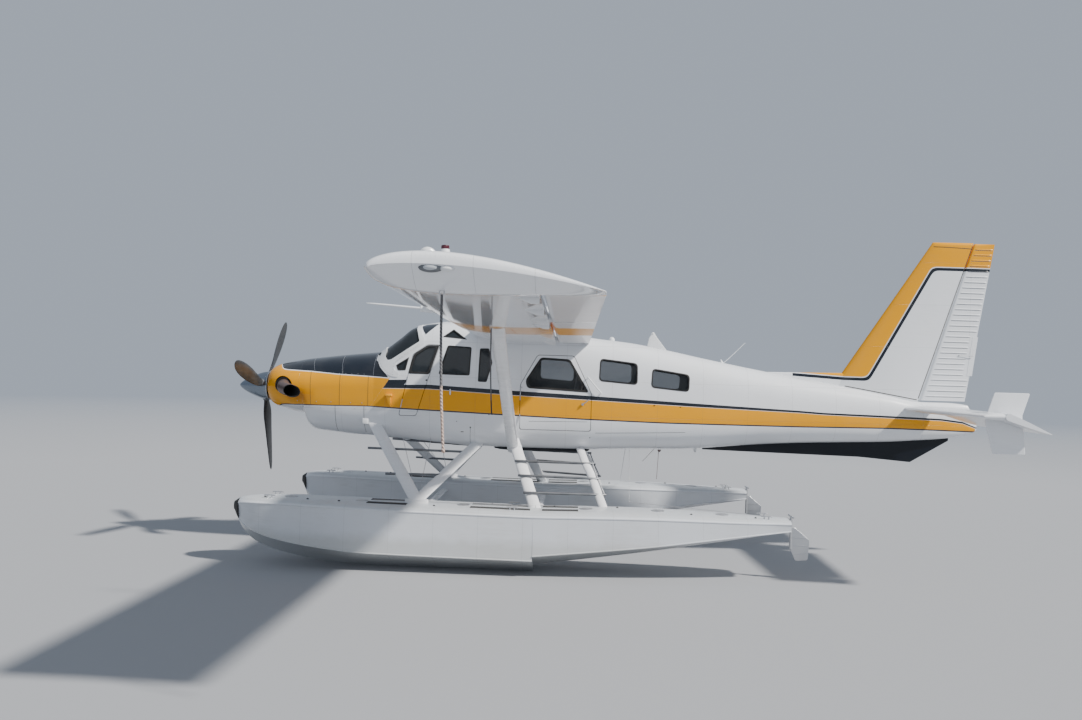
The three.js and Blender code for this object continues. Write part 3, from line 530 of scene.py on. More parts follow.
class Curve:
    """A smooth run of values over x that never overshoots its points."""

    def __init__(self, xs: Sequence[float], ys: Sequence[float]) -> None:
        """Keeps the points and finds the slopes between them.

        Args:
            xs: places of the points, in rising order.
            ys: the values there.
        """
        self.xs, self.ys = list(xs), list(ys)
        steps = [(b - a) for a, b in zip(xs, xs[1:], strict=False)]
        slopes = [(b - a) / h for a, b, h in zip(ys, ys[1:], steps, strict=False)]
        pairs = zip(slopes, slopes[1:], strict=False)
        inner = [0.0 if a * b <= 0 else 2 * a * b / (a + b) for a, b in pairs]
        self.slopes = [slopes[0], *inner, slopes[-1]]

    def __call__(self, x: float) -> float:
        """Value at x.

        Args:
            x: a place between the first point and the last.

        Returns:
            The value there.
        """
        i = max(k for k in range(len(self.xs) - 1) if k == 0 or self.xs[k] <= x)
        h = self.xs[i + 1] - self.xs[i]
        t = (x - self.xs[i]) / h
        a, b, s0, s1 = self.ys[i], self.ys[i + 1], self.slopes[i] * h, self.slopes[i + 1] * h
        start = (2 * t**3 - 3 * t**2 + 1) * a + (t**3 - 2 * t**2 + t) * s0
        return start + (3 * t**2 - 2 * t**3) * b + (t**3 - t**2) * s1


class Hull:
    """A body given by stations of x, half width, bottom, top, waist, and upper and lower roundness."""

    def __init__(self, rows: Sequence[Sequence[float]]) -> None:
        """Draws smooth lines through the stations, which are in millimetres."""
        self.xs = [row[0] for row in rows]
        self.curves = [Curve(self.xs, [row[k] for row in rows]) for k in range(1, 7)]

    def sizes(self, x: float) -> list[float]:
        """Half width, bottom, top, waist and the two roundnesses at x."""
        return [curve(x) for curve in self.curves]

    def ring(self, x: float, inset: float = 0.0, count: int = 96, floor: float = -1e9) -> Ring:
        """The section at a station.

        Args:
            x: the station.
            inset: how far inside the skin it lies.
            count: points round.
            floor: height that it is cut flat at.

        Returns:
            The closed section.
        """
        half, bottom, top, waist, upper, lower = self.sizes(x)
        ring = []
        for angle in around(count):
            across, rise = math.cos(angle), math.sin(angle)
            power = 2 / (upper if rise >= 0 else lower)
            reach = (top - waist if rise >= 0 else waist - bottom) - inset
            z = waist + bent(rise, power) * reach
            ring.append(at(x, bent(across, power) * (half - inset), max(z, floor)))
        return ring

    def steps(self, low: float, high: float, gap: float) -> list[float]:
        """Evenly spaced x values that also meet each station between.

        Args:
            low: the first value.
            high: the last value.
            gap: about how far apart they are.

        Returns:
            The values.
        """
        marks = [low, *(x for x in self.xs if low < x < high), high]
        xs = []
        for a, b in zip(marks, marks[1:], strict=False):
            xs += evenly(a, b, max(1, round((b - a) / gap)))[:-1]
        return [*xs, high]

    def body(
        self, low: float, high: float, inset: float = 0.0, gap: float = 60.0, count: int = 96
    ) -> Shape:
        """The closed body between two x values, moved inwards by an inset."""
        return Shape().loft([self.ring(x, inset, count) for x in self.steps(low, high, gap)])

    def half_at(self, x: float, z: float) -> float:
        """Distance of the skin from the centreline at a place in side view.

        Args:
            x: its station.
            z: its height.

        Returns:
            The distance in millimetres.
        """
        half, bottom, top, waist, upper, lower = self.sizes(x)
        power = upper if z >= waist else lower
        share = min(abs(z - waist) / (top - waist if z >= waist else waist - bottom), 1.0)
        return half * (1 - share**power) ** (1 / power)

    def top_at(self, x: float, y: float) -> float:
        """Height of the upper skin at a place in plan view."""
        half, _, top, waist, upper, _ = self.sizes(x)
        return waist + (top - waist) * (1 - min(abs(y) / half, 1.0) ** upper) ** (1 / upper)

    def normal(self, place: Vector) -> Vector:
        """Direction out of the skin.

        Args:
            place: a place in metres.

        Returns:
            The direction, of length 1.
        """
        x, y, z = ((place.x - NOSE_X) / MILLIMETRE, place.y / MILLIMETRE, place.z / MILLIMETRE)
        x = min(max(x, self.xs[0] + 3), self.xs[-1] - 3)

        def depth(px: float, py: float, pz: float) -> float:
            """How far out a place lies, as a share of the way to the skin.

            Args:
                px: station.
                py: distance to the side.
                pz: height.

            Returns:
                The share, 1 on the skin.
            """
            half, bottom, top, waist, upper, lower = self.sizes(px)
            power = upper if pz >= waist else lower
            reach = top - waist if pz >= waist else waist - bottom
            return ((abs(py) / half) ** power + (abs(pz - waist) / reach) ** power) ** (1 / power)

        gradient = Vector(
            (
                depth(x + 2, y, z) - depth(x - 2, y, z),
                depth(x, y + 2, z) - depth(x, y - 2, z),
                depth(x, y, z + 2) - depth(x, y, z - 2),
            )
        )
        return gradient.normalized() if gradient.length > 0 else UP.copy()

    def patch(
        self,
        outline: Sequence[Corner],
        side: Corner,
        depth: Corner,
        hole: Sequence[Corner] | None = None,
        gap: float = 40.0,
    ) -> Shape:
        """A piece of the skin inside a side-view outline.

        Args:
            outline: x and z corners in millimetres.
            side: the two y values it lies between.
            depth: how far its outer and inner faces lie inside the skin.
            hole: an outline cut out of it.
            gap: length of its faces along X.

        Returns:
            The closed shape.
        """
        xs = [corner[0] for corner in outline]
        low, high = max(min(xs) - 30, self.xs[0]), min(max(xs) + 30, self.xs[-1])
        stops = self.steps(low, high, gap)
        outer = [self.ring(x, depth[0], 128) for x in stops]
        inner = [self.ring(x, depth[1], 128) for x in reversed(stops)]
        skin = Shape().loft([*outer, *inner], round_again=True)
        cuts = [("INTERSECT", prism(outline, side))]
        if hole:
            cuts.append(("DIFFERENCE", prism(hole, (side[0] - 50, side[1] + 50))))
        return carve(skin, *cuts)


def place(
    name: str,
    shape: Shape,
    finish: "Finish",
    slot: Slot,
    nodes: Sequence[str] = (),
    body: Body = Body.AIRFRAME,
    crease: float = 35.0,
    normals: Callable[[Vector], Vector] | None = None,
) -> bpy.types.Object:
    """Makes a piece of the aeroplane.

    Args:
        name: the piece's name.
        shape: its points and faces.
        finish: its paint or material.
        slot: the record's material slot; not used.
        nodes: the CAD nodes it stands for.
        body: the body it rides on.
        crease: edges sharper than this many degrees stay sharp.
        normals: gives the true direction of a smooth skin at a place.

    Returns:
        The new object.
    """
    mesh = shape.mesh(name)
    piece = bpy.data.objects.new(name, mesh)
    bpy.context.scene.collection.objects.link(piece)
    mesh.shade_smooth()
    if normals:
        shade_by(mesh, normals)
    else:
        mesh.set_sharp_from_angle(angle=math.radians(crease))
    mesh.materials.append(finish.material())
    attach(piece, body.value)
    if nodes:
        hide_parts(*nodes)
    log.info("%s: %d faces", name, len(mesh.polygons))
    return piece


# A face counts as skin where its own direction is this near to the true one, as a cosine
ALONG_SKIN = 0.88


def shade_by(mesh: bpy.types.Mesh, normals: Callable[[Vector], Vector]) -> None:
    """Gives each corner of a mesh the true direction of its skin, and leaves cut faces flat.

    Args:
        mesh: the mesh.
        normals: gives the true direction at a place.
    """
    known: dict[int, Vector] = {}
    result = [UP] * len(mesh.loops)
    for polygon in mesh.polygons:
        flat = polygon.normal
        for loop in polygon.loop_indices:
            vertex = mesh.loops[loop].vertex_index
            if vertex not in known:
                known[vertex] = normals(mesh.vertices[vertex].co)
            true = known[vertex]
            turned = flat.dot(true)
            result[loop] = true if turned > ALONG_SKIN else -true if turned < -ALONG_SKIN else flat
    mesh.normals_split_custom_set(result)


def place_pair(
    name: str,
    shape: Shape,
    finish: "Finish",
    slot: Slot,
    nodes: Sequence[str] = (),
    bodies: tuple[Body, Body] = (Body.AIRFRAME, Body.AIRFRAME),
    crease: float = 35.0,
    normals: Callable[[Vector], Vector] | None = None,
) -> list[bpy.types.Object]:
    """Makes a port piece and its starboard twin.

    Args:
        name: the pieces' name without its side.
        shape: the port piece's points and faces.
        finish: their paint or material.
        slot: the record's material slot.
        nodes: the CAD nodes they stand for, named without their side.
        bodies: the bodies they ride on, port first.
        crease: edges sharper than this many degrees stay sharp.
        normals: gives the true direction of a smooth skin at a place.

    Returns:
        The two objects.
    """
    pair = []
    for ending, form, body in zip(("left", "right"), (shape, shape.mirrored()), bodies, strict=True):
        owned = [f"{node}_{ending}" for node in nodes]
        pair.append(place(f"{name}_{ending}", form, finish, slot, owned, body, crease, normals))
    return pair


# ---------------------------------------------------------------- finishes


class Graph:
    """Short calls for building one node tree."""

    def __init__(self, tree: bpy.types.NodeTree) -> None:
        """Keeps the tree."""
        self.tree = tree

    def node(self, kind: str, values: dict[str | int, object] | None = None, **settings: object) -> bpy.types.Node:
        """Adds a node, sets its properties, and sets or links its inputs.

        Args:
            kind: the node's type.
            values: what its inputs get, by their names or numbers.
            settings: its properties.

        Returns:
            The node.
        """
        made = self.tree.nodes.new(kind)
        for key, value in settings.items():
            setattr(made, key, value)
        for key, value in (values or {}).items():
            self.put(made.inputs[key], value)
        return made

    def put(self, target: Socket, value: object) -> None:
        """Links a socket to a target, or sets the target's value.

        Args:
            target: the input to fill.
            value: a socket or a plain value.
        """
        if isinstance(value, bpy.types.NodeSocket):
            self.tree.links.new(value, target)
        else:
            target.default_value = value

    def math(self, operation: str, *values: object, clamp: bool = False) -> Socket:
        """A Math node's result."""
        made = self.node("ShaderNodeMath", dict(enumerate(values)), operation=operation, use_clamp=clamp)
        return made.outputs[0]

    def plus(self, first: object, second: object, clamp: bool = False) -> Socket:
        """The sum of two values."""
        return self.math("ADD", first, second, clamp=clamp)

    def minus(self, first: object, second: object) -> Socket:
        """The difference of two values."""
        return self.math("SUBTRACT", first, second)

    def over(self, first: object, second: object, clamp: bool = False) -> Socket:
        """The first value divided by the second."""
        return self.math("DIVIDE", first, second, clamp=clamp)

    def times(self, *values: object) -> Socket:
        """The product of some values or masks."""
        return reduce(lambda product, value: self.math("MULTIPLY", product, value), values)

    def either(self, *masks: Socket) -> Socket:
        """The largest of some masks."""
        return reduce(lambda most, mask: self.math("MAXIMUM", most, mask), masks)

    def inverse(self, mask: Socket) -> Socket:
        """0 where a mask is 1, and 1 where it is 0."""
        return self.minus(1.0, mask)

    def reach(self, across: object, along: object) -> Socket:
        """The length of two distances that are square to each other."""
        return self.math("SQRT", self.plus(self.math("POWER", across, 2.0), self.math("POWER", along, 2.0)))

    def mix(self, share: object, low: object, high: object, blend: str = "MIX") -> Socket:
        """A colour between two others, or blended from them."""
        made = self.node("ShaderNodeMix", {0: share, 6: low, 7: high}, data_type="RGBA", blend_type=blend)
        return made.outputs[2]

    def above(self, value: object, limit: object, blur: float = 0.002) -> Socket:
        """1 where a value is over a limit, 0 where it is under, and a short blur between."""
        return self.plus(self.over(self.minus(value, limit), blur), 0.5, clamp=True)

    def between(self, value: object, low: object, high: object, blur: float = 0.002) -> Socket:
        """1 where a value lies between two limits."""
        return self.times(self.above(value, low, blur), self.above(high, value, blur))

    def bump(self, height: Socket) -> Socket:
        """The normal of a surface with a height in metres."""
        return self.node("ShaderNodeBump", {"Strength": 1.0, "Distance": 1.0, "Height": height}).outputs[0]

    def line(self, value: Socket, points: Sequence[Corner]) -> Socket:
        """A value that runs straight between points.

        Args:
            value: what is looked up.
            points: pairs of value and result.

        Returns:
            The result.
        """
        xs, ys = [p[0] for p in points], [p[1] for p in points]
        low, high = min(ys), max(ys)
        reach = max(high - low, 1e-6)
        share = self.over(self.minus(value, xs[0]), xs[-1] - xs[0], clamp=True)
        curve = self.tree.nodes.new("ShaderNodeFloatCurve")
        handles = curve.mapping.curves[0].points
        flat = [((x - xs[0]) / (xs[-1] - xs[0]), (y - low) / reach) for x, y in points]
        handles[0].location, handles[1].location = flat[0], flat[-1]
        for spot in flat[1:-1]:
            handles.new(*spot)
        for handle in handles:
            handle.handle_type = "VECTOR"
        curve.mapping.update()
        self.put(curve.inputs["Value"], share)
        return self.plus(self.times(curve.outputs[0], reach), low)

    def noise(self, place: Socket, scale: float, detail: float = 3.0, roughness: float = 0.5) -> Socket:
        """Cloudy values from 0 to 1."""
        values = {"Vector": place, "Scale": scale, "Detail": detail, "Roughness": roughness}
        return self.node("ShaderNodeTexNoise", values).outputs["Fac"]

    def span(self, value: object, source: Corner, target: Corner) -> Socket:
        """A value carried from one range to another and held inside it."""
        values = {0: value, 1: source[0], 2: source[1], 3: target[0], 4: target[1]}
        return self.node("ShaderNodeMapRange", values, clamp=True).outputs[0]

    def axes(self, place: Socket) -> tuple[Socket, Socket, Socket]:
        """The three coordinates of a place."""
        split = self.node("ShaderNodeSeparateXYZ", {0: place})
        return split.outputs[0], split.outputs[1], split.outputs[2]

    def stretch(self, place: Socket, scale: tuple[float, float, float]) -> Socket:
        """A place with its coordinates scaled."""
        return self.node("ShaderNodeMapping", {"Vector": place, "Scale": scale}).outputs[0]


@dataclass(frozen=True)
class Effect:
    """A shader node group that several materials use."""

    name: str
    inputs: tuple[tuple[str, str, object], ...]
    outputs: tuple[tuple[str, str], ...]
    recipe: Callable[[Graph, dict[str, Socket]], dict[str, Socket]]

    def group(self) -> bpy.types.NodeTree:
        """The node group, built the first time that it is asked for.

        Returns:
            The node group.
        """
        known = bpy.data.node_groups.get(self.name)
        if known:
            return known
        tree = bpy.data.node_groups.new(self.name, "ShaderNodeTree")
        for label, kind, value in self.inputs:
            socket = tree.interface.new_socket(label, in_out="INPUT", socket_type=f"NodeSocket{kind}")
            if value is not None:
                socket.default_value = value
        for label, kind in self.outputs:
            tree.interface.new_socket(label, in_out="OUTPUT", socket_type=f"NodeSocket{kind}")
        graph = Graph(tree)
        entry = graph.node("NodeGroupInput")
        graph.node("NodeGroupOutput", self.recipe(graph, {s.name: s for s in entry.outputs if s.name}))
        return tree

    def use(self, graph: Graph, values: dict[str, object]) -> dict[str, Socket]:
        """Places the group in a material with its own values."""
        made = graph.node("ShaderNodeGroup", values, node_tree=self.group())
        return {socket.name: socket for socket in made.outputs}


def weather_recipe(graph: Graph, given: dict[str, Socket]) -> dict[str, Socket]:
    """Uneven colour, grime streaks and a faint ripple over paint or metal.

    Args:
        graph: the node tree that it goes into.
        given: the group's inputs by name.

    Returns:
        The group's outputs by name.
    """
    place = given["Place"]
    broad = graph.noise(place, 1.7, 4.0, 0.55)
    streaks = graph.noise(graph.stretch(place, (3.0, 3.0, 26.0)), 1.3, 5.0, 0.6)
    fine = graph.noise(place, 95.0, 2.0, 0.5)
    dirt = graph.times(graph.span(broad, (0.42, 0.72), (0.0, 1.0)), graph.span(streaks, (0.4, 0.75), (0.2, 1.0)))
    shade = graph.times(dirt, given["Dirt"])
    colour = graph.mix(shade, given["Colour"], given["Grime"])
    tint = graph.mix(graph.span(broad, (0.3, 0.7), (0.0, 1.0)), (0.97, 0.975, 0.985, 1), (1.0, 1.0, 1.0, 1))
    rough = graph.plus(given["Roughness"], graph.times(shade, 0.35), clamp=True)
    rough = graph.plus(rough, graph.times(graph.minus(fine, 0.5), 0.06), clamp=True)
    ripple = graph.noise(place, 2.6, 1.0, 0.4)
    height = graph.plus(graph.times(ripple, given["Ripple"]), graph.times(fine, 0.00001))
    return {"Colour": graph.mix(1.0, colour, tint, "MULTIPLY"), "Roughness": rough, "Height": height}


WEATHER = Effect(
    "weathered_surface",
    (
        ("Place", "Vector", None),
        ("Colour", "Color", None),
        ("Grime", "Color", (0.25, 0.23, 0.2, 1)),
        ("Dirt", "Float", 0.15),
        ("Roughness", "Float", 0.25),
        ("Ripple", "Float", 0.004),
    ),
    (("Colour", "Color"), ("Roughness", "Float"), ("Height", "Float")),
    weather_recipe,
)


def rivet_recipe(graph: Graph, given: dict[str, Socket]) -> dict[str, Socket]:
    """Lap seams at even spacing along U with a row of rivets beside each.

    Args:
        graph: the node tree that it goes into.
        given: the group's inputs by name.

    Returns:
        The group's outputs by name.
    """
    gap, pitch = given["Seam gap"], given["Rivet gap"]
    along = graph.over(given["U"], gap)
    off = graph.math("ABSOLUTE", graph.times(graph.minus(along, graph.math("ROUND", along)), gap))
    seam = graph.above(0.0012, off, 0.0012)
    row = graph.over(given["V"], pitch)
    beside = graph.times(graph.minus(row, graph.math("ROUND", row)), pitch)
    rivet = graph.span(graph.reach(graph.minus(off, 0.011), beside), (0.0022, 0.0036), (1.0, 0.0))
    return {"Height": graph.minus(graph.times(rivet, 0.0006), graph.times(seam, 0.0012)), "Seam": seam}


RIVETS = Effect(
    "riveted_seams",
    (("U", "Float", 0.0), ("V", "Float", 0.0), ("Seam gap", "Float", 0.5), ("Rivet gap", "Float", 0.03)),
    (("Height", "Float"), ("Seam", "Float")),
    rivet_recipe,
)


def row_x(x: float) -> float:
    """A station in millimetres as X in the row's frame, in metres."""
    return NOSE_X + x * MILLIMETRE


def row_line(points: Sequence[Corner]) -> list[Corner]:
    """Points of station and height in millimetres, in metres in the row's frame."""
    return [(row_x(x), z * MILLIMETRE) for x, z in points]


# Edges of the painted bands in side view: station and height
BAND_TOP = (
    (2000, 2262), (2812, 2290), (3964, 2242), (4890, 2207), (6503, 2136), (7908, 2076), (8258, 2056), (9182, 2036),
    (9926, 2014), (10234, 1980), (10430, 1908),
)
BAND_LOW = (
    (2000, 2222), (2812, 2234), (3965, 2182), (4892, 2150), (6504, 2092), (7909, 2048), (8259, 2030), (9182, 2008),
    (9926, 1989), (10235, 1955), (10430, 1890),
)
KEEL_LINE = (
    (578, 1885), (600, 1912), (644, 1934), (685, 1953), (727, 1961), (790, 1964), (927, 1964), (1091, 1967),
    (1485, 1970), (1993, 1978), (2468, 1962), (2871, 1950), (3973, 1916), (4899, 1892), (6023, 1871), (7913, 1864),
    (9188, 1873), (9885, 1863), (10430, 1851),
)
KEEL_START_X = 578
GLARE_LINE = (
    (600, 2560), (640, 2520), (670, 2497), (706, 2463), (740, 2450), (789, 2444), (911, 2439), (1169, 2429),
    (1570, 2400), (1877, 2389), (2182, 2375), (2600, 2350),
)
GLARE_START_X = 615
GLARE_END = {"x": 2190, "z": 2460, "lean": 0.8}
BAND_START_X = 2216
BAND_STEP_X = 2476
BAND_STEP_RISE = 70
BAND_LEAN = 0.66
BAND_LEAN_Z = 2262
BAND_END_X = 10428
# The soot stain behind the exhaust in side view
STAIN_SPOT = (1010, 2080)
STAIN_REACH = (210, 120)


def livery_recipe(graph: Graph, given: dict[str, Socket]) -> dict[str, Socket]:
    """Masks of the yellow side band, its dark edges, the dark nose top, the pale lines and the soot.

    Args:
        graph: the node tree that it goes into.
        given: the group's inputs by name.

    Returns:
        The group's outputs by name.
    """
    x, _, z = graph.axes(given["Place"])

    def shifted(value: object, distance: float) -> Socket:
        """A value moved by a distance in millimetres."""
        return graph.plus(value, distance * MILLIMETRE)

    lean = graph.minus(x, graph.times(shifted(z, -BAND_LEAN_Z), BAND_LEAN))
    edges = (BAND_TOP, BAND_LOW, KEEL_LINE, GLARE_LINE)
    band_top, band_low, keel, glare = (graph.line(x, row_line(edge)) for edge in edges)
    started = graph.above(lean, row_x(BAND_START_X))
    ended = graph.above(row_x(BAND_END_X), x)
    before_step = graph.above(row_x(BAND_STEP_X), lean)
    raised = graph.plus(band_top, graph.times(before_step, BAND_STEP_RISE * MILLIMETRE))
    dark_band = graph.times(started, graph.between(z, band_low, raised))
    pale_band = graph.times(started, graph.between(z, shifted(band_low, -5), band_low))
    thick = graph.span(x, (row_x(1900), row_x(2500)), (0.013, 0.018))
    under = graph.times(graph.above(x, row_x(KEEL_START_X)), graph.above(keel, z))
    white = graph.times(graph.above(x, row_x(KEEL_START_X + 18)), graph.above(graph.minus(keel, thick), z))
    keel_dark = graph.times(under, graph.inverse(white), ended)
    below_glare = graph.math("MAXIMUM", graph.minus(GLARE_END["z"] * MILLIMETRE, z), 0.0)
    tail_edge = graph.times(below_glare, GLARE_END["lean"])
    on_nose = graph.above(graph.plus(tail_edge, row_x(GLARE_END["x"])), x)
    nose_dark = graph.times(on_nose, graph.above(x, row_x(GLARE_START_X)), graph.above(z, glare))
    nose_pale = graph.times(
        graph.above(shifted(tail_edge, GLARE_END["x"] + 6), shifted(x, -NOSE_X / MILLIMETRE)),
        graph.above(x, row_x(GLARE_START_X - 11)),
        graph.above(z, shifted(glare, -12)),
    )
    before_band = graph.above(row_x(BAND_START_X), lean)
    nose_yellow = graph.times(before_band, graph.inverse(under), graph.above(glare, z))
    front_yellow = graph.above(row_x(GLARE_START_X), x)
    side_yellow = graph.times(started, graph.between(z, keel, band_low), ended)
    across = graph.over(graph.minus(x, row_x(STAIN_SPOT[0])), STAIN_REACH[0] * MILLIMETRE)
    up = graph.over(shifted(z, -STAIN_SPOT[1]), STAIN_REACH[1] * MILLIMETRE)
    ragged = graph.plus(graph.reach(across, up), graph.times(graph.noise(given["Place"], 9.0, 5.0, 0.65), 0.9))
    return {
        "Yellow": graph.either(nose_yellow, side_yellow, front_yellow),
        "Dark": graph.either(dark_band, keel_dark, nose_dark),
        "Pale": graph.either(pale_band, nose_pale),
        "Stain": graph.span(ragged, (0.75, 1.5), (1.0, 0.0)),
    }


LIVERY = Effect(
    "side_band_masks",
    (("Place", "Vector", None),),
    (("Yellow", "Float"), ("Dark", "Float"), ("Pale", "Float"), ("Stain", "Float")),
    livery_recipe,
)

# Edge of the white panel on the fin in side view, inside its dark line
FIN_LINE = {"low_z": 2556, "top_z": 4128, "lean": (9777 - 8950) / (4128 - 2640), "foot_x": 8905}
FIN_FOOT = ((7900, 2596), (8034, 2588), (8584, 2557), (8905, 2553), (9000, 2553))
# How much shorter a level distance is when measured square to the leaning edge
FIN_SQUARE = 0.87
RIDGE_START_X = 7880


def fin_recipe(graph: Graph, given: dict[str, Socket]) -> dict[str, Socket]:
    """Masks of the yellow border of the fin and rudder and of its dark and pale lines.

    Args:
        graph: the node tree that it goes into.
        given: the group's inputs by name.

    Returns:
        The group's outputs by name.
    """
    x, _, z = graph.axes(given["Place"])
    rise = graph.minus(z, FIN_LINE["low_z"] * MILLIMETRE)
    lean = graph.minus(x, graph.times(rise, FIN_LINE["lean"]))
    fore = graph.times(graph.minus(row_x(FIN_LINE["foot_x"]), lean), FIN_SQUARE)
    over = graph.minus(z, FIN_LINE["top_z"] * MILLIMETRE)
    soft = graph.math("SMOOTH_MAX", fore, over, 0.09)
    foot = graph.times(graph.minus(graph.line(x, row_line(FIN_FOOT)), z), -1.0)
    outside = graph.math("SMOOTH_MIN", soft, foot, 0.1)
    behind = graph.above(x, row_x(RIDGE_START_X))
    return {
        "Yellow": graph.times(graph.above(outside, 0.012), behind),
        "Dark": graph.times(graph.between(outside, -0.042, 0.0), behind),
        "Pale": graph.between(outside, 0.0, 0.012),
    }


FIN_LIVERY = Effect(
    "fin_border_masks",
    (("Place", "Vector", None),),
    (("Yellow", "Float"), ("Dark", "Float"), ("Pale", "Float")),
    fin_recipe,
)

WHITE: Colour = (0.80, 0.82, 0.85, 1)
ORANGE_YELLOW: Colour = (0.80, 0.345, 0.0, 1)
BURNT: Colour = (0.42, 0.13, 0.0, 1)
WING_BAND_Y = (2.50, 3.72)
NAVY: Colour = (0.006, 0.010, 0.018, 1)
PALE: Colour = (0.78, 0.80, 0.82, 1)


@dataclass(frozen=True)
class Finish:
    """A surface finish that becomes one Blender material."""

    name: str

    def material(self) -> bpy.types.Material:
        """The material, built the first time that it is asked for.

        Returns:
            The material.
        """
        known = bpy.data.materials.get(self.name)
        if known:
            return known
        material = bpy.data.materials.new(self.name)
        material.use_nodes = True
        graph = Graph(material.node_tree)
        shader = material.node_tree.nodes["Principled BSDF"]
        place = graph.node("ShaderNodeTexCoord").outputs["Object"]
        for label, value in self.dress(graph, place).items():
            graph.put(shader.inputs[label], value)
        return material

    def dress(self, graph: Graph, place: Socket) -> dict[str, object]:
        """The inputs of the material's shader; each finish has its own.

        Args:
            graph: builds the material's nodes.
            place: the place on the surface, in the row's frame.

        Returns:
            A socket or a plain value for each named input.
        """
        raise NotImplementedError


def weathered(
    graph: Graph, place: Socket, colour: object, dirt: float, roughness: float, ripple: float
) -> dict[str, Socket]:
    """Places the weather effect in a material.

    Args:
        graph: builds the material's nodes.
        place: the place on the surface.
        colour: the clean colour.
        dirt: strength of the grime.
        roughness: of the clean surface.
        ripple: depth of the ripple in metres.

    Returns:
        The worn Colour, Roughness and Height.
    """
    values = {"Place": place, "Colour": colour, "Dirt": dirt, "Roughness": roughness, "Ripple": ripple}
    return WEATHER.use(graph, values)


def riveted(graph: Graph, along: Socket, beside: Socket, seam_gap: float, rivet_gap: float) -> dict[str, Socket]:
    """Places rows of seams across one coordinate, with rivets along the other; gaps in metres."""
    return RIVETS.use(graph, {"U": along, "V": beside, "Seam gap": seam_gap, "Rivet gap": rivet_gap})


class Livery(Enum):
    """Which painted scheme a skin has."""

    PLAIN = "plain"
    SIDE_BAND = "side_band"
    FIN_BORDER = "fin_border"
    WING_BAND = "wing_band"


@dataclass(frozen=True)
class SkinPaint(Finish):
    """Gloss paint over riveted sheet metal."""

    scheme: Livery = Livery.PLAIN
    colour: Colour = WHITE
    roughness: float = 0.22
    dirt: float = 0.12
    seam_gap: float = 0.62
    rivet_gap: float = 0.032
    cross_gap: float = 0.48
    seams_on: tuple[int, int] = (0, 2)
    ripple: float = 0.0025
    coat: float = 0.6

    def dress(self, graph: Graph, place: Socket) -> dict[str, object]:
        """Paint bands, grime, seams and rivets.

        Args:
            graph: the material's node tree.
            place: the place on the piece.

        Returns:
            Values or sockets for the shader's inputs by name.
        """
        axes = graph.axes(place)
        masks: dict[str, Socket] = {}
        if self.scheme == Livery.SIDE_BAND:
            masks = LIVERY.use(graph, {"Place": place})
        elif self.scheme == Livery.FIN_BORDER:
            masks = FIN_LIVERY.use(graph, {"Place": place})
        elif self.scheme == Livery.WING_BAND:
            masks = {"Yellow": graph.between(graph.math("ABSOLUTE", axes[1]), *WING_BAND_Y, 0.004)}
        colour: object = self.colour
        for label, tint in (("Yellow", ORANGE_YELLOW), ("Pale", PALE), ("Dark", NAVY)):
            if label in masks:
                colour = graph.mix(masks[label], colour, tint)
        if "Stain" in masks:
            colour = graph.mix(graph.times(masks["Stain"], 0.55), colour, BURNT)
        worn = weathered(graph, place, colour, self.dirt, self.roughness, self.ripple)
        first, second = (axes[k] for k in self.seams_on)
        rows = riveted(graph, first, second, self.seam_gap, self.rivet_gap)
        cross = riveted(graph, second, first, self.cross_gap, self.rivet_gap)
        seams = graph.times(graph.either(rows["Seam"], cross["Seam"]), 0.38)
        coat: object = self.coat
        if "Yellow" in masks:
            coat = graph.span(masks["Yellow"], (0.0, 1.0), (self.coat, 0.05))
        return {
            "Base Color": graph.mix(seams, worn["Colour"], (0.12, 0.12, 0.13, 1)),
            "Roughness": worn["Roughness"],
            "Coat Weight": coat,
            "Coat Roughness": 0.06,
            "Specular IOR Level": 0.3,
            "Normal": graph.bump(graph.plus(worn["Height"], graph.plus(rows["Height"], cross["Height"]))),
        }


@dataclass(frozen=True)
class PlainPaint(Finish):
    """Paint on a fitting, worn a little at random."""

    colour: Colour = WHITE
    roughness: float = 0.3
    metallic: float = 0.0
    dirt: float = 0.25
    grain: float = 0.0004
    coat: float = 0.3
    fineness: float = 60.0
    gloss: float = 0.5

    def dress(self, graph: Graph, place: Socket) -> dict[str, object]:
        """Weathered colour with a fine grain.

        Args:
            graph: the material's node tree.
            place: the place on the piece.

        Returns:
            Values or sockets for the shader's inputs by name.
        """
        worn = weathered(graph, place, self.colour, self.dirt, self.roughness, 0.0003)
        grain = graph.times(graph.noise(place, self.fineness, 4.0, 0.6), self.grain)
        return {
            "Base Color": worn["Colour"],
            "Roughness": worn["Roughness"],
            "Metallic": self.metallic,
            "Specular IOR Level": self.gloss,
            "Coat Weight": self.coat,
            "Normal": graph.bump(graph.plus(worn["Height"], grain)),
        }


@dataclass(frozen=True)
class Glass(Finish):
    """Tinted acrylic."""

    tint: Colour = (0.02, 0.025, 0.03, 1)
    strength: float = 0.82

    def dress(self, graph: Graph, place: Socket) -> dict[str, object]:
        """Clear, glossy and a little smeared.

        Args:
            graph: the material's node tree.
            place: the place on the piece.

        Returns:
            Values or sockets for the shader's inputs by name.
        """
        smear = graph.noise(graph.stretch(place, (4.0, 4.0, 9.0)), 2.2, 5.0, 0.6)
        return {
            "Base Color": self.tint,
            "Roughness": graph.span(smear, (0.35, 0.8), (0.02, 0.09)),
            "Alpha": self.strength,
            "IOR": 1.49,
            "Specular IOR Level": 0.5,
            "Normal": graph.bump(graph.times(graph.noise(place, 3.1, 1.0, 0.4), 0.003)),
        }


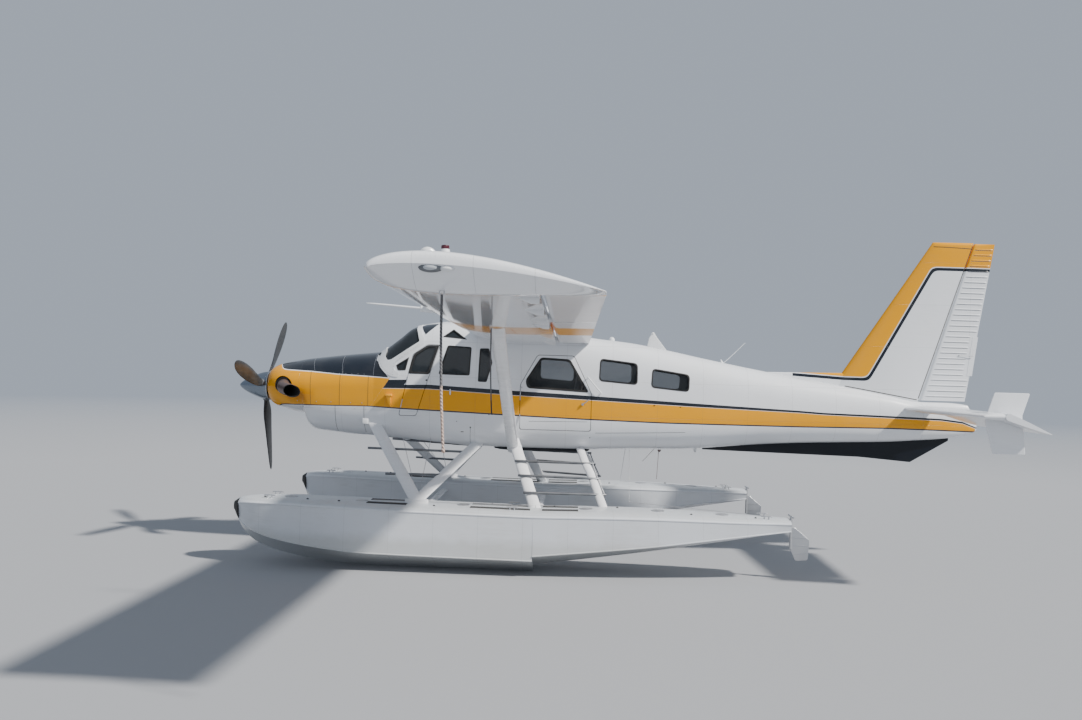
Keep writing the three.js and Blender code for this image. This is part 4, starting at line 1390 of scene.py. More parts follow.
@dataclass(frozen=True)
class FloatPaint(Finish):
    """White float sides, a pale grey non-slip deck and stains towards the keel."""

    deck: Colour = (0.52, 0.55, 0.58, 1)
    side: Colour = (0.64, 0.67, 0.71, 1)

    def dress(self, graph: Graph, place: Socket) -> dict[str, object]:
        """Deck by the skin's upward slope, stains by height.

        Args:
            graph: the material's node tree.
            place: the place on the piece.

        Returns:
            Values or sockets for the shader's inputs by name.
        """
        upward = graph.axes(graph.node("ShaderNodeNewGeometry").outputs["Normal"])[2]
        deck = graph.span(upward, (0.72, 0.80), (0.0, 1.0))
        colour = graph.mix(deck, self.side, self.deck)
        x, y, z = graph.axes(place)
        ragged = graph.plus(z, graph.times(graph.noise(place, 4.0, 5.0, 0.65), 0.16))
        stain = graph.times(graph.above(0.50, ragged, 0.12), 0.35)
        colour = graph.mix(stain, colour, (0.33, 0.33, 0.28, 1))
        worn = weathered(graph, place, colour, 0.3, 0.36, 0.003)
        rows = riveted(graph, x, z, 0.55, 0.028)
        planks = riveted(graph, y, x, 0.21, 0.028)
        seam = graph.either(rows["Seam"], graph.times(planks["Seam"], deck))
        grit = graph.times(graph.noise(place, 240.0, 2.0, 0.7), deck, 0.0012)
        return {
            "Base Color": graph.mix(graph.times(seam, 0.4), worn["Colour"], (0.15, 0.15, 0.16, 1)),
            "Roughness": worn["Roughness"],
            "Coat Weight": 0.15,
            "Normal": graph.bump(graph.plus(graph.plus(worn["Height"], rows["Height"]), grit)),
        }


@dataclass(frozen=True)
class Woven(Finish):
    """Cloth or leather with a weave at a scale in threads a metre."""

    colour: Colour = (0.10, 0.10, 0.11, 1)
    threads: float = 420.0
    sheen: float = 0.3
    roughness: float = 0.85

    def dress(self, graph: Graph, place: Socket) -> dict[str, object]:
        """Crossed threads with uneven dye.

        Args:
            graph: the material's node tree.
            place: the place on the piece.

        Returns:
            Values or sockets for the shader's inputs by name.
        """
        x, y, z = graph.axes(place)
        turns = self.threads * 2 * math.pi
        wide = graph.math("SINE", graph.times(graph.plus(x, z), turns))
        deep = graph.math("SINE", graph.times(graph.minus(y, z), turns))
        weave = graph.times(wide, deep)
        cloud = graph.noise(place, 9.0, 4.0, 0.6)
        dark = tuple(c * 0.72 for c in self.colour[:3]) + (1.0,)
        colour = graph.mix(graph.span(cloud, (0.3, 0.7), (0.0, 1.0)), dark, self.colour)
        return {
            "Base Color": graph.mix(graph.span(weave, (-1.0, 1.0), (0.0, 0.2)), colour, (0.3, 0.3, 0.3, 1)),
            "Roughness": self.roughness,
            "Sheen Weight": self.sheen,
            "Normal": graph.bump(graph.times(weave, 0.0004)),
        }


@dataclass(frozen=True)
class TwistedRope(Finish):
    """Laid rope whose colour changes at a height."""

    upper: Colour = (0.16, 0.16, 0.17, 1)
    lower: Colour = (0.50, 0.36, 0.22, 1)
    change_z: float = 2.26
    pitch: float = 0.024

    def dress(self, graph: Graph, place: Socket) -> dict[str, object]:
        """Strands that wind round the rope, with painted shade in the grooves between them.

        Args:
            graph: the material's node tree.
            place: the place on the piece.

        Returns:
            Values or sockets for the shader's inputs by name.
        """
        x, y, z = graph.axes(place)
        turn = graph.plus(graph.times(z, 2 * math.pi / self.pitch), graph.times(graph.plus(x, y), 190.0))
        strand = graph.span(graph.math("SINE", turn), (-1.0, 1.0), (0.0, 1.0))
        colour = graph.mix(graph.above(z, self.change_z, 0.01), self.lower, self.upper)
        return {
            # The grooves between strands are darkened towards near black: painted shade.
            "Base Color": graph.mix(graph.times(graph.inverse(strand), 0.5), colour, (0.02, 0.018, 0.015, 1)),
            "Roughness": 0.9,
            "Normal": graph.bump(graph.times(strand, 0.003)),
        }


@dataclass(frozen=True)
class PaleFloor(Finish):
    """A plain pale floor that thins out with distance."""

    colour: Colour = (0.31, 0.32, 0.34, 1)
    fade: Corner = (16.0, 60.0)

    def dress(self, graph: Graph, place: Socket) -> dict[str, object]:
        """Matt, and clear far out.

        Args:
            graph: the material's node tree.
            place: the place on the piece.

        Returns:
            Values or sockets for the shader's inputs by name.
        """
        x, y, _ = graph.axes(place)
        fade = graph.span(graph.reach(x, y), self.fade, (1.0, 0.0))
        return {"Base Color": self.colour, "Roughness": 0.8, "Alpha": fade}


HULL_PAINT = SkinPaint("hull_skin", Livery.SIDE_BAND)
WING_PAINT = SkinPaint(
    "wing_skin",
    Livery.WING_BAND,
    roughness=0.16,
    seam_gap=0.61,
    cross_gap=0.40,
    seams_on=(1, 0),
    ripple=0.006,
    coat=0.9,
)
CONTROL_PAINT = SkinPaint(
    "control_skin", Livery.WING_BAND, roughness=0.3, seam_gap=0.82, cross_gap=9.0, seams_on=(1, 0), coat=0.3
)
TAIL_PAINT = SkinPaint("tail_skin", roughness=0.28, seam_gap=0.74, cross_gap=9.0, seams_on=(1, 0), coat=0.4)
FIN_PAINT = SkinPaint("fin_skin", Livery.FIN_BORDER, roughness=0.25, seam_gap=5.0, cross_gap=0.6, coat=0.5)
FLOAT_PAINT = FloatPaint("float_skin")
STRUT_PAINT = PlainPaint("strut_paint_worn", (0.80, 0.81, 0.83, 1), 0.26, dirt=0.3)
FITTING_WHITE = PlainPaint("fitting_white", (0.78, 0.80, 0.82, 1), 0.35, dirt=0.35)
BLACK_PAINT = PlainPaint("black_paint", (0.004, 0.007, 0.013, 1), 0.3, dirt=0.03, coat=0.05, gloss=0.25)
DARK_METAL = PlainPaint("sooty_metal", (0.17, 0.125, 0.12, 1), 0.45, metallic=0.7, dirt=0.2, coat=0.0)
SOOT = PlainPaint("soot_black", (0.006, 0.006, 0.006, 1), 0.8, dirt=0.0, coat=0.0)
BARE_METAL = PlainPaint("bare_alloy", (0.52, 0.53, 0.55, 1), 0.34, metallic=0.85, dirt=0.2, coat=0.0)
BLADE_PAINT = PlainPaint("blade_grey", (0.012, 0.013, 0.015, 1), 0.35, dirt=0.2, coat=0.0, gloss=0.4)
RUBBER = PlainPaint("black_rubber", (0.012, 0.012, 0.013, 1), 0.62, dirt=0.12, coat=0.0)
GREY_METAL = PlainPaint("grey_steel", (0.16, 0.17, 0.185, 1), 0.4, metallic=0.6, dirt=0.2, coat=0.1)
GLASS = Glass("tinted_acrylic")
CLEAR_GLASS = Glass("clear_acrylic", (0.03, 0.035, 0.04, 1), 0.3)
LINER = PlainPaint("cabin_liner", (0.08, 0.08, 0.085, 1), 0.8, dirt=0.1, coat=0.0)
PANEL_BLACK = PlainPaint("panel_black", (0.015, 0.015, 0.017, 1), 0.7, dirt=0.05, coat=0.0)
DIAL_FACE = PlainPaint("dial_face", (0.20, 0.22, 0.22, 1), 0.3, dirt=0.0, coat=0.8)
SEAT_CLOTH = Woven("seat_cloth", (0.14, 0.13, 0.13, 1))
LENS_CLEAR = Glass("clear_lens", (0.75, 0.8, 0.85, 1), 0.55)
LENS_RED = Glass("red_lens", (0.07, 0.01, 0.02, 1), 0.9)
SMOKED = PlainPaint("smoked_pane", (0.015, 0.02, 0.028, 1), 0.08, dirt=0.05, coat=0.5, grain=0.0)
ROPE_OUTER = TwistedRope("outer_rope", lower=(0.62, 0.47, 0.40, 1), change_z=2.393)
ROPE_INNER = TwistedRope("inner_rope", lower=(0.06, 0.055, 0.05, 1), change_z=2.2, pitch=0.018)
GRIP = PlainPaint("grip_strip", (0.035, 0.036, 0.038, 1), 0.9, dirt=0.2, coat=0.0, grain=0.003, fineness=300.0)
# Dark sealant for seams and joints; the strips low on the belly's edge use it as painted shadow.
DARK_SEAM_AND_SHADOW = PlainPaint("seam_sealant", (0.05, 0.045, 0.04, 1), 0.6, dirt=0.1, coat=0.0)
SEAM_PALE = PlainPaint("seam_worn", (0.20, 0.21, 0.24, 1), 0.5, dirt=0.2, coat=0.0)
SPINNER_METAL = PlainPaint("spinner_alloy", (0.20, 0.24, 0.29, 1), 0.24, metallic=0.9, dirt=0.12, coat=0.0, grain=0.0)
RIB_SHADE = PlainPaint("rib_shade", (0.20, 0.21, 0.24, 1), 0.5, dirt=0.05, coat=0.0)
YELLOW_FITTING = PlainPaint("fitting_yellow", ORANGE_YELLOW, 0.3, dirt=0.15)
FLOOR = PaleFloor("pale_floor")


# ---------------------------------------------------------------- the aeroplane's lines

NOSE = Hull(
    (
        (462, 190, 2060, 2395, 2215, 2.1, 2.1),
        (478, 245, 2010, 2435, 2212, 2.1, 2.1),
        (515, 300, 1960, 2468, 2210, 2.1, 2.1),
        (584, 352, 1918, 2505, 2208, 2.1, 2.1),
        (700, 405, 1880, 2540, 2205, 2.1, 2.1),
        (865, 448, 1838, 2573, 2202, 2.1, 2.15),
        (1033, 475, 1822, 2605, 2200, 2.1, 2.2),
        (1048, 477, 1745, 2607, 2200, 2.1, 2.3),
        (1075, 481, 1672, 2611, 2200, 2.1, 2.45),
        (1120, 486, 1625, 2617, 2200, 2.1, 2.6),
        (1184, 493, 1600, 2626, 2200, 2.1, 2.7),
        (1402, 515, 1578, 2655, 2200, 2.2, 2.9),
        (1714, 543, 1552, 2692, 2200, 2.2, 3.1),
        (2056, 575, 1541, 2728, 2200, 2.3, 3.2),
    )
)
SKIN = Hull(
    (
        (2056, 575, 1540, 2728, 2200, 2.3, 3.2),
        (2200, 595, 1525, 2835, 2220, 2.5, 3.4),
        (2350, 606, 1516, 2950, 2240, 2.8, 3.7),
        (2548, 612, 1507, 3097, 2250, 3.3, 4.0),
        (2720, 614, 1490, 3134, 2250, 3.7, 4.0),
        (3011, 616, 1466, 3176, 2250, 4, 4),
        (3400, 616, 1442, 3190, 2250, 4, 4),
        (4200, 616, 1438, 3165, 2250, 4, 4),
        (5010, 612, 1444, 3010, 2240, 3.8, 4),
        (5600, 596, 1463, 2946, 2230, 3.6, 3.8),
        (6069, 570, 1474, 2867, 2215, 3.4, 3.6),
        (6600, 528, 1505, 2763, 2190, 3.2, 3.4),
        (7427, 428, 1580, 2613, 2130, 2.9, 3.0),
        (7953, 356, 1614, 2527, 2090, 2.7, 2.8),
        (8574, 276, 1640, 2427, 2040, 2.6, 2.6),
        (9175, 204, 1665, 2330, 2000, 2.5, 2.5),
        (9634, 154, 1700, 2246, 1975, 2.4, 2.4),
        (10027, 108, 1737, 2238, 1960, 2.4, 2.4),
        (10320, 62, 1800, 2210, 1950, 2.4, 2.4),
        (10445, 26, 1850, 1960, 1905, 2.2, 2.2),
    )
)
FIREWALL_X = 2056.0
CABIN_END_X = 6600.0
TAIL_END_X = 10445.0
PORT_SIDE: Corner = (-900, -120)
# How far the outer and inner faces of the panes lie inside the skin
PANE_DEPTH: Corner = (10, 22)


@dataclass(frozen=True)
class Opening:
    """A rounded opening in side view."""

    name: str
    corners: tuple[Corner, ...]
    radius: float
    clear: bool = False

    def outline(self, inset: float = 0.0) -> list[Corner]:
        """Its rounded edge, moved inwards by an inset."""
        return outline_round(outline_inset(self.corners, inset) if inset else self.corners, self.radius)


SIDE_WINDOWS = (
    Opening("quarter_window", ((2366, 2544), (2538, 2654), (2496, 2478), (2394, 2474)), 10),
    Opening("upper_window", ((2996, 2950), (3133, 3056), (3320, 2924)), 8),
    Opening("side_window_1", ((3070, 2833), (3394, 2816), (3378, 2432), (2955, 2437)), 30),
    Opening("side_window_2", ((3512, 2803), (3632, 2806), (3684, 2612), (3612, 2350), (3497, 2352)), 22),
    Opening("side_window_3", ((5154, 2713), (5664, 2659), (5665, 2368), (5143, 2407)), 60, True),
    Opening("side_window_4", ((5866, 2597), (6376, 2524), (6368, 2292), (5852, 2338)), 60, True),
)
MID_WINDOW = Opening("mid_window", ((4300, 2735), (4810, 2715), (4810, 2370), (4290, 2405)), 60, True)
WINDSCREEN = Opening(
    "windscreen",
    ((2092, 2640), (2190, 2588), (2290, 2606), (2690, 2876), (2625, 3068), (2560, 3300), (1900, 3000), (1900, 2760)),
    20,
)
CREW_DOOR = Opening(
    "crew_door", ((2592, 2704), (2791, 2843), (2966, 2841), (2812, 2353), (2662, 1857), (2415, 1855)), 35
)
CREW_GLASS = Opening("crew_door_glass", ((2622, 2690), (2800, 2812), (2926, 2812), (2812, 2450), (2560, 2452)), 30)
CABIN_DOOR = Opening(
    "cabin_door", ((4073, 1715), (4073, 2330), (4300, 2740), (4800, 2740), (5050, 2230), (5050, 1715)), 35
)
CABIN_GLASS = Opening(
    "cabin_door_glass", ((4353, 2690), (4735, 2673), (4984, 2260), (4181, 2297), (4160, 2384)), 45, True
)


def line_inside(mesh: bpy.types.Mesh, lines: Hull, finish: Finish) -> None:
    """Gives the faces that look inwards a second finish.

    Args:
        mesh: the mesh of a hollow skin.
        lines: the body that the skin follows.
        finish: the second finish.
    """
    mesh.materials.append(finish.material())
    for polygon in mesh.polygons:
        if polygon.normal.dot(lines.normal(polygon.center)) < -0.25:
            polygon.material_index = 1


BOTH = (Body.AIRFRAME, Body.AIRFRAME)


def on_cabin(
    name: str,
    shape: Shape,
    finish: Finish,
    slot: Slot,
    nodes: Sequence[str] = (),
    body: Body | tuple[Body, Body] = BOTH,
) -> list[bpy.types.Object]:
    """Places a piece that follows the cabin's skin.

    Args:
        name: the piece's name, without its side where it is one of a pair.
        shape: its points and faces.
        finish: its paint or material.
        slot: the record's material slot.
        nodes: the CAD nodes it stands for.
        body: the body it rides on, or the two bodies of a pair.

    Returns:
        The new objects.
    """
    if isinstance(body, tuple):
        return place_pair(name, shape, finish, slot, nodes, body, normals=SKIN.normal)
    return [place(name, shape, finish, slot, nodes, body, normals=SKIN.normal)]


def glaze(
    opening: Opening,
    node: str,
    body: Body | tuple[Body, Body] = BOTH,
    side: Corner = PORT_SIDE,
    rim: Corner = (-3, 13),
) -> None:
    """Places an opening's pane and its rubber seal.

    Args:
        opening: the opening in side view.
        node: the CAD node of the pane.
        body: the body or pair of bodies that it rides on.
        side: the two y values it lies between.
        rim: how far inside the opening the seal's outer and inner edges lie.
    """
    tint = CLEAR_GLASS if opening.clear else GLASS
    pane = SKIN.patch(opening.outline(1), side, PANE_DEPTH)
    on_cabin(f"{opening.name}_pane", pane, tint, Slot.GLASS, (node,), body)
    seal = SKIN.patch(opening.outline(rim[0]), side, (-2.5, 30), opening.outline(rim[1]))
    on_cabin(f"{opening.name}_seal", seal, RUBBER, Slot.DARK, (), body)


def on_skin(lines: Hull, x: float, z: float, proud: float = 0.0) -> Vector:
    """A place on the port skin, standing proud by a distance."""
    centre = at(x, -lines.half_at(x, z), z)
    return centre + lines.normal(centre) * (proud * MILLIMETRE)


def stud(lines: Hull, x: float, z: float, radius: float, height: float) -> Shape:
    """A low round boss on the port skin.

    Args:
        lines: the body that the skin follows.
        x: its station.
        z: its height up.
        radius: its radius.
        height: how far it stands proud.

    Returns:
        The closed shape.
    """
    centre = on_skin(lines, x, z, -1.5)
    profile = ((0, radius), (height + 1, radius * 0.96), (height + 2, radius * 0.6))
    return lathe(centre, lines.normal(centre), profile, 16)


@dataclass
class Fuselage:
    """Cabin shell, tail cone, windows and their frames, and what stands on the skin."""

    wall: float = 40.0
    floor_z: float = 1600.0
    post_half: float = 26.0
    roof_x: Corner = (2640, 2985)
    roof_half: float = 250.0
    # Stations of the dark pan with the share of its full depth
    belly_stops: tuple[Corner, ...] = (
        (3700, 0.0), (3720, 0.45), (3800, 0.8), (3950, 1.0), (4800, 1.0), (4950, 0.8), (5030, 0.45), (5050, 0.0),
    )
    belly_half: float = 290.0
    belly_low: float = 1404.0
    belly_top: float = 1475.0
    ventral: tuple[Corner, ...] = (
        (6640, 1600), (6640, 1478), (8835, 1442), (9543, 1390), (10068, 1707), (10068, 1850),
    )
    # The wide pale foot of the windscreen's frame in side view, up to the crown
    skirt: tuple[Corner, ...] = (
        (2000, 2800), (2000, 2708), (2075, 2722), (2109, 2713), (2091, 2633), (2095, 2572), (2145, 2498),
        (2220, 2424), (2302, 2391), (2401, 2375), (2412, 2440), (2352, 2470), (2330, 2502), (2372, 2548),
        (2345, 2604), (2273, 2580), (2208, 2628), (2181, 2673), (2197, 2728), (2157, 2786), (2132, 2800),
    )
    brow: tuple[Corner, ...] = ((2671, 3094), (2731, 3125), (2911, 3135), (2749, 2975), (2709, 3028))
    pillar: tuple[Corner, ...] = ((2606, 3068), (2645, 3076), (2750, 2891), (2692, 2867))
    roof_rim: float = 36.0
    screw_path: tuple[Corner, ...] = (
        (2112, 2600), (2160, 2520), (2235, 2445), (2320, 2410), (2330, 2560), (2440, 2660), (2600, 2780),
        (2690, 2845),
    )
    # Station, height, radius and how far proud
    dots: tuple[tuple[float, float, float, float], ...] = (
        (3408, 1723, 9, 6), (6256, 2083, 9, 2), (5040, 1630, 7, 2), (3220, 1800, 6, 2), (3660, 1905, 7, 2),
    )

    def build(self) -> None:
        """Makes every piece of the fuselage behind the firewall."""
        self.cabin()
        self.windows()
        self.belly()
        self.aerials()
        self.fittings()

    def cabin(self) -> None:
        """The hollow shell with its window and door openings, and the tail cone."""
        stops = SKIN.steps(FIREWALL_X + 60, CABIN_END_X - self.wall, 80)
        room = Shape().loft([SKIN.ring(x, self.wall, 96, self.floor_z) for x in stops])
        holes = box(self.roof_x, (-self.roof_half, self.roof_half), (3000, 3400))
        for opening in SIDE_WINDOWS:
            holes.add(prism(opening.outline(), (-900, 900)))
        for opening, sides in ((CREW_DOOR, (-1, 1)), (CABIN_DOOR, (-1,)), (MID_WINDOW, (1,))):
            for side in sides:
                holes.add(prism(opening.outline(), (side * 200, side * 900)))
        for side in (-1, 1):
            holes.add(prism(WINDSCREEN.outline(), (side * self.post_half, side * 900)))
        solid = SKIN.body(FIREWALL_X, CABIN_END_X, gap=55, count=128)
        shell = carve(solid, ("DIFFERENCE", room), ("DIFFERENCE", holes))
        (piece,) = on_cabin("cabin_skin", shell, HULL_PAINT, Slot.HULL, ("cabin_shell",), Body.AIRFRAME)
        line_inside(piece.data, SKIN, LINER)
        tail = SKIN.body(CABIN_END_X + 0.3, TAIL_END_X, gap=70)
        on_cabin("tail_cone_skin", tail, HULL_PAINT, Slot.HULL, ("tail_cone",), Body.AIRFRAME)

    def windows(self) -> None:
        """Panes with their rubber seals, and the frames of the windscreen and the roof window."""
        for opening in SIDE_WINDOWS:
            glaze(opening, opening.name)
        glaze(MID_WINDOW, "mid_window_right", Body.AIRFRAME, (120, 900))
        pane = SKIN.patch(WINDSCREEN.outline(1), (-900, -self.post_half - 0.4), PANE_DEPTH)
        on_cabin("windscreen_pane", pane, GLASS, Slot.GLASS, ("windscreen",))
        ring = SKIN.patch(WINDSCREEN.outline(-48), (-900, 0), (-5, 26), WINDSCREEN.outline(14))
        on_cabin("windscreen_frame", ring, FITTING_WHITE, Slot.HULL)
        foot = SKIN.patch(outline_round(self.skirt, 30), (-900, 0), (-7, 8))
        on_cabin("windscreen_skirt", foot, FITTING_WHITE, Slot.HULL)
        brow = SKIN.patch(outline_round(self.brow, 8), PORT_SIDE, (-1.5, 4))
        on_cabin("brow_pane", brow, SMOKED, Slot.GLASS)
        pillar = SKIN.patch(outline_round(self.pillar, 8), PORT_SIDE, (-6, 4))
        on_cabin("windscreen_pillar", pillar, FITTING_WHITE, Slot.HULL)
        pane = self.roof_sheet(1, PANE_DEPTH)
        on_cabin("roof_pane", pane, GLASS, Slot.GLASS, ("roof_window",), Body.AIRFRAME)
        frame_ring = self.roof_sheet(-22, (-3, 28), self.roof_rim)
        on_cabin("roof_window_frame", frame_ring, FITTING_WHITE, Slot.HULL, (), Body.AIRFRAME)

    def roof_sheet(self, inset: float, depth: Corner, rim: float = 0.0) -> Shape:
        """A piece of the skin round the roof window.

        Args:
            inset: how far inside the opening its edge lies.
            depth: how far its outer and inner faces lie inside the skin.
            rim: width of the rim that stays where its middle is cut out, or 0.

        Returns:
            The closed shape.
        """
        x, half = (self.roof_x[0] + inset, self.roof_x[1] - inset), self.roof_half - inset
        cuts = [("INTERSECT", box(x, (-half, half), (3000, 3400)))]
        if rim:
            cuts.append(("DIFFERENCE", box((x[0] + rim, x[1] - rim), (rim - half, half - rim), (2900, 3500))))
        stops = SKIN.steps(x[0] - 60, x[1] + 60, 40)
        outer = [SKIN.ring(s, depth[0], 128) for s in stops]
        inner = [SKIN.ring(s, depth[1], 128) for s in reversed(stops)]
        return carve(Shape().loft([*outer, *inner], round_again=True), *cuts)

    def belly(self) -> None:
        """The dark pan under the belly, the fin under the tail, dark strips low on the belly's edge as painted
        shadow, and dark seams on the side.
        """
        rings = []
        for x, share in self.belly_stops:
            half = self.belly_half * lerp(0.72, 1.0, share)
            low = lerp(1436, self.belly_low, share)
            section = [(-half, self.belly_top), (-half, low + 22), (-half + 30, low)]
            rings.append([at(x, y, z) for y, z in section + [(-y, z) for y, z in reversed(section)]])
        place("belly_pan", rounded(Shape().loft(rings), 5), BLACK_PAINT, Slot.DARK, ("belly_panel",))
        place("keel_fin", rounded(prism(self.ventral, (-13, 13)), 9, 4), BLACK_PAINT, Slot.DARK, ("ventral_fin",))
        # Dark strips low on the belly's edge stand for the shadow line there: painted shadow, not seams.
        plates = Shape()
        for x0, x1 in ((2146, 2719), (2713, 3285)):
            low0, low1 = (SKIN.sizes(x)[1] for x in (x0, x1))
            corners = [(x0, low0 + 18), (x1, low1 + 14), (x1, low1 + 4), (x0, low0 + 5)]
            plates.add(SKIN.patch(corners, PORT_SIDE, (-1.5, 2), gap=60))
        on_cabin("belly_seams", plates, DARK_SEAM_AND_SHADOW, Slot.DARK)
        seams = Shape()
        for start, end in (((5114, 1697), (6336, 1740)), ((3408, 1712), (3399, 1505))):
            seams.add(SKIN.patch(band(start, end, 2), PORT_SIDE, (-1, 2), gap=80))
        on_cabin("side_seams", seams, DARK_SEAM_AND_SHADOW, Slot.DARK)

    @staticmethod
    def aerials() -> None:
        """Aerials on the roof, the tail and the belly."""
        corners = ((5821, 2885), (6130, 2830), (5968, 3036), (5926, 3104), (5890, 3104), (5848, 3027))
        blade = rounded(prism(corners, (-11, 11)), 8, 4)
        blade.add(lathe(at(5906, 0, 3090), UP, ((0, 17), (10, 22), (20, 18), (25, 8))))
        place("roof_aerial", blade, FITTING_WHITE, Slot.HULL)
        dome = lathe(at(5324, 0, 2962), UP, ((0, 42), (34, 42), (54, 34), (66, 20), (71, 4)))
        place("roof_dome", dome, FITTING_WHITE, Slot.HULL)
        whip = tube([at(6890, 0, 2690), at(7020, 0, 2810), at(7207, 0, 3000)], 5, 10, 6)
        whip.add(lathe(at(6890, 0, 2700), Vector((-0.3, 0, 1)), ((0, 22), (14, 20), (40, 8), (60, 6))))
        place("whip_aerial", whip, FITTING_WHITE, Slot.HULL)
        blade = prism(((6508, 1510), (6568, 1510), (6558, 1433), (6532, 1433)), (-5, 5))
        place("belly_aerial_6508", rounded(blade, 4), FITTING_WHITE, Slot.HULL)

    def fittings(self) -> None:
        """Screws of the windscreen's frame, and dots, lamp, handle and drains on the sides."""
        screws, dots = Shape(), Shape()
        for (x0, z0), (x1, z1) in zip(self.screw_path, self.screw_path[1:], strict=False):
            for k in range(4):
                screws.add(stud(SKIN, lerp(x0, x1, k / 4), lerp(z0, z1, k / 4), 5, 8))
        place_pair("frame_screws", screws, BARE_METAL, Slot.LADDER)
        for dot in self.dots:
            dots.add(stud(SKIN, *dot))
        place_pair("side_dots", dots, SOOT, Slot.DARK)
        y = on_skin(SKIN, 3296, 1659).y / MILLIMETRE
        drain_box = rounded(box((3276, 3316), (y - 3, y + 4), (1654, 1664)), 2)
        place_pair("drain_box", drain_box, DARK_SEAM_AND_SHADOW, Slot.DARK)
        place_pair("side_lamp", stud(SKIN, 5902, 2096, 10, 4), LENS_RED, Slot.GLASS)
        start, end = on_skin(SKIN, 3121, 2241, 12), on_skin(SKIN, 3124, 2159, 12)
        handle = lathe(start, end - start, ((0, 3), (8, 8), (50, 12), (74, 10), (82, 3)), 20)
        place_pair("side_handle", handle, FITTING_WHITE, Slot.HULL)
        drain = lathe(at(6006, -350, 1482), -UP, ((0, 24), (14, 24), (30, 12), (34, 4)), 20)
        drain.add(tube([at(6002, -300, 1450), at(5900, -1200, 1174)], 3.5, 8))
        place_pair("belly_drain", drain, DARK_METAL, Slot.LADDER)


@dataclass
class Doors:
    """The two crew doors and the cabin door, with their glass, seals, hinges and handles."""

    gap: float = 7.0
    hinge_gap: float = 6.5
    knuckle_radius: float = 6.0
    knuckle_length: float = 60.0
    crew: tuple[Body, Body] = (Body.CREW_DOOR_LEFT, Body.CREW_DOOR_RIGHT)

    def build(self) -> None:
        """Makes the doors."""
        crew_line = (CREW_DOOR.corners[5], CREW_DOOR.corners[0])
        cabin, cabin_line = (Body.CABIN_DOOR, Body.AIRFRAME), CABIN_DOOR.corners[:2]
        doors = (
            (CREW_DOOR, CREW_GLASS, self.crew, BOTH, (-20, 10), 613, (0.2, 0.57), crew_line),
            (CABIN_DOOR, CABIN_GLASS, *cabin, (-16, 14), 618, (0.25, 0.75), cabin_line),
        )
        for door, glass, body, shell, rim, y, shares, line in doors:
            skin = SKIN.patch(door.outline(self.gap), PORT_SIDE, (0, 40), glass.outline())
            for piece in on_cabin(f"{door.name}_skin", skin, HULL_PAINT, Slot.HULL, (door.name,), body):
                line_inside(piece.data, SKIN, LINER)
            glaze(glass, glass.name, body, rim=rim)
            strip = SKIN.patch(door.outline(-18), PORT_SIDE, (42, 47), door.outline(26))
            on_cabin(f"{door.name}_jamb_seal", strip, RUBBER, Slot.DARK, (), shell)
            half = self.knuckle_length
            for part, span, owner in (("shell", (-half, -0.5), shell), ("door", (0.5, half), body)):
                barrels = self.barrels(*line, y, shares, span)
                on_cabin(f"{door.name}_hinge_{part}", barrels, BARE_METAL, Slot.LADDER, (), owner)
        self.handles()

    def barrels(self, low: Corner, high: Corner, y: float, shares: Corner, span: Corner) -> Shape:
        """Hinge barrels beside a door's front edge.

        Args:
            low: lower end of the edge in side view.
            high: upper end of the edge.
            y: distance of the hinge line from the centreline.
            shares: where the hinges sit along the edge.
            span: how far each barrel reaches below and above its place.

        Returns:
            The barrels.
        """
        foot, head = Vector(low), Vector(high)
        along = (head - foot).normalized()
        aft = Vector((along.y, -along.x)) * (1 if along.y > 0 else -1)
        shape, radius = Shape(), self.knuckle_radius
        for share in shares:
            middle = foot.lerp(head, share) + aft * self.hinge_gap
            start, end = (at(p.x, -y, p.y) for p in (middle + along * reach for reach in span))
            length = (end - start).length / MILLIMETRE
            profile = ((0, radius - 1.5), (1.5, radius), (length - 1.5, radius), (length, radius - 1.5))
            shape.add(lathe(start, end - start, profile, 20))
        return shape

    def handles(self) -> None:
        """Latches on the crew doors, and the rod and grab bar at the cabin door."""
        place_pair("crew_door_latch", stud(SKIN, 2790, 2350, 12, 6), SOOT, Slot.LADDER, (), self.crew)
        spots = ((4931, 2084, 26), (4974, 2118, 30), (5014, 2152, 26))
        rod = tube([on_skin(SKIN, *spot) for spot in spots], 7, 12, 5).add(stud(SKIN, 4931, 2084, 18, 22))
        place("cabin_door_handle", rod, BARE_METAL, Slot.LADDER, (), Body.CABIN_DOOR)
        latch = stud(SKIN, 4094, 2290, 13, 8)
        place("cabin_door_lock", latch, BARE_METAL, Slot.LADDER, (), Body.CABIN_DOOR)
        line = SKIN.patch(band((4204, 1833), (4995, 1847), 2), PORT_SIDE, (-1, 2), gap=80)
        on_cabin("cabin_door_seam", line, DARK_SEAM_AND_SHADOW, Slot.DARK, (), Body.CABIN_DOOR)
        spots = ((4997, 2447, 6), (5008, 2436, 34), (5164, 2256, 34), (5174, 2243, 6))
        bar = tube([on_skin(SKIN, *spot) for spot in spots], 8, 14, 6)
        place("grab_bar", bar, FITTING_WHITE, Slot.HULL)


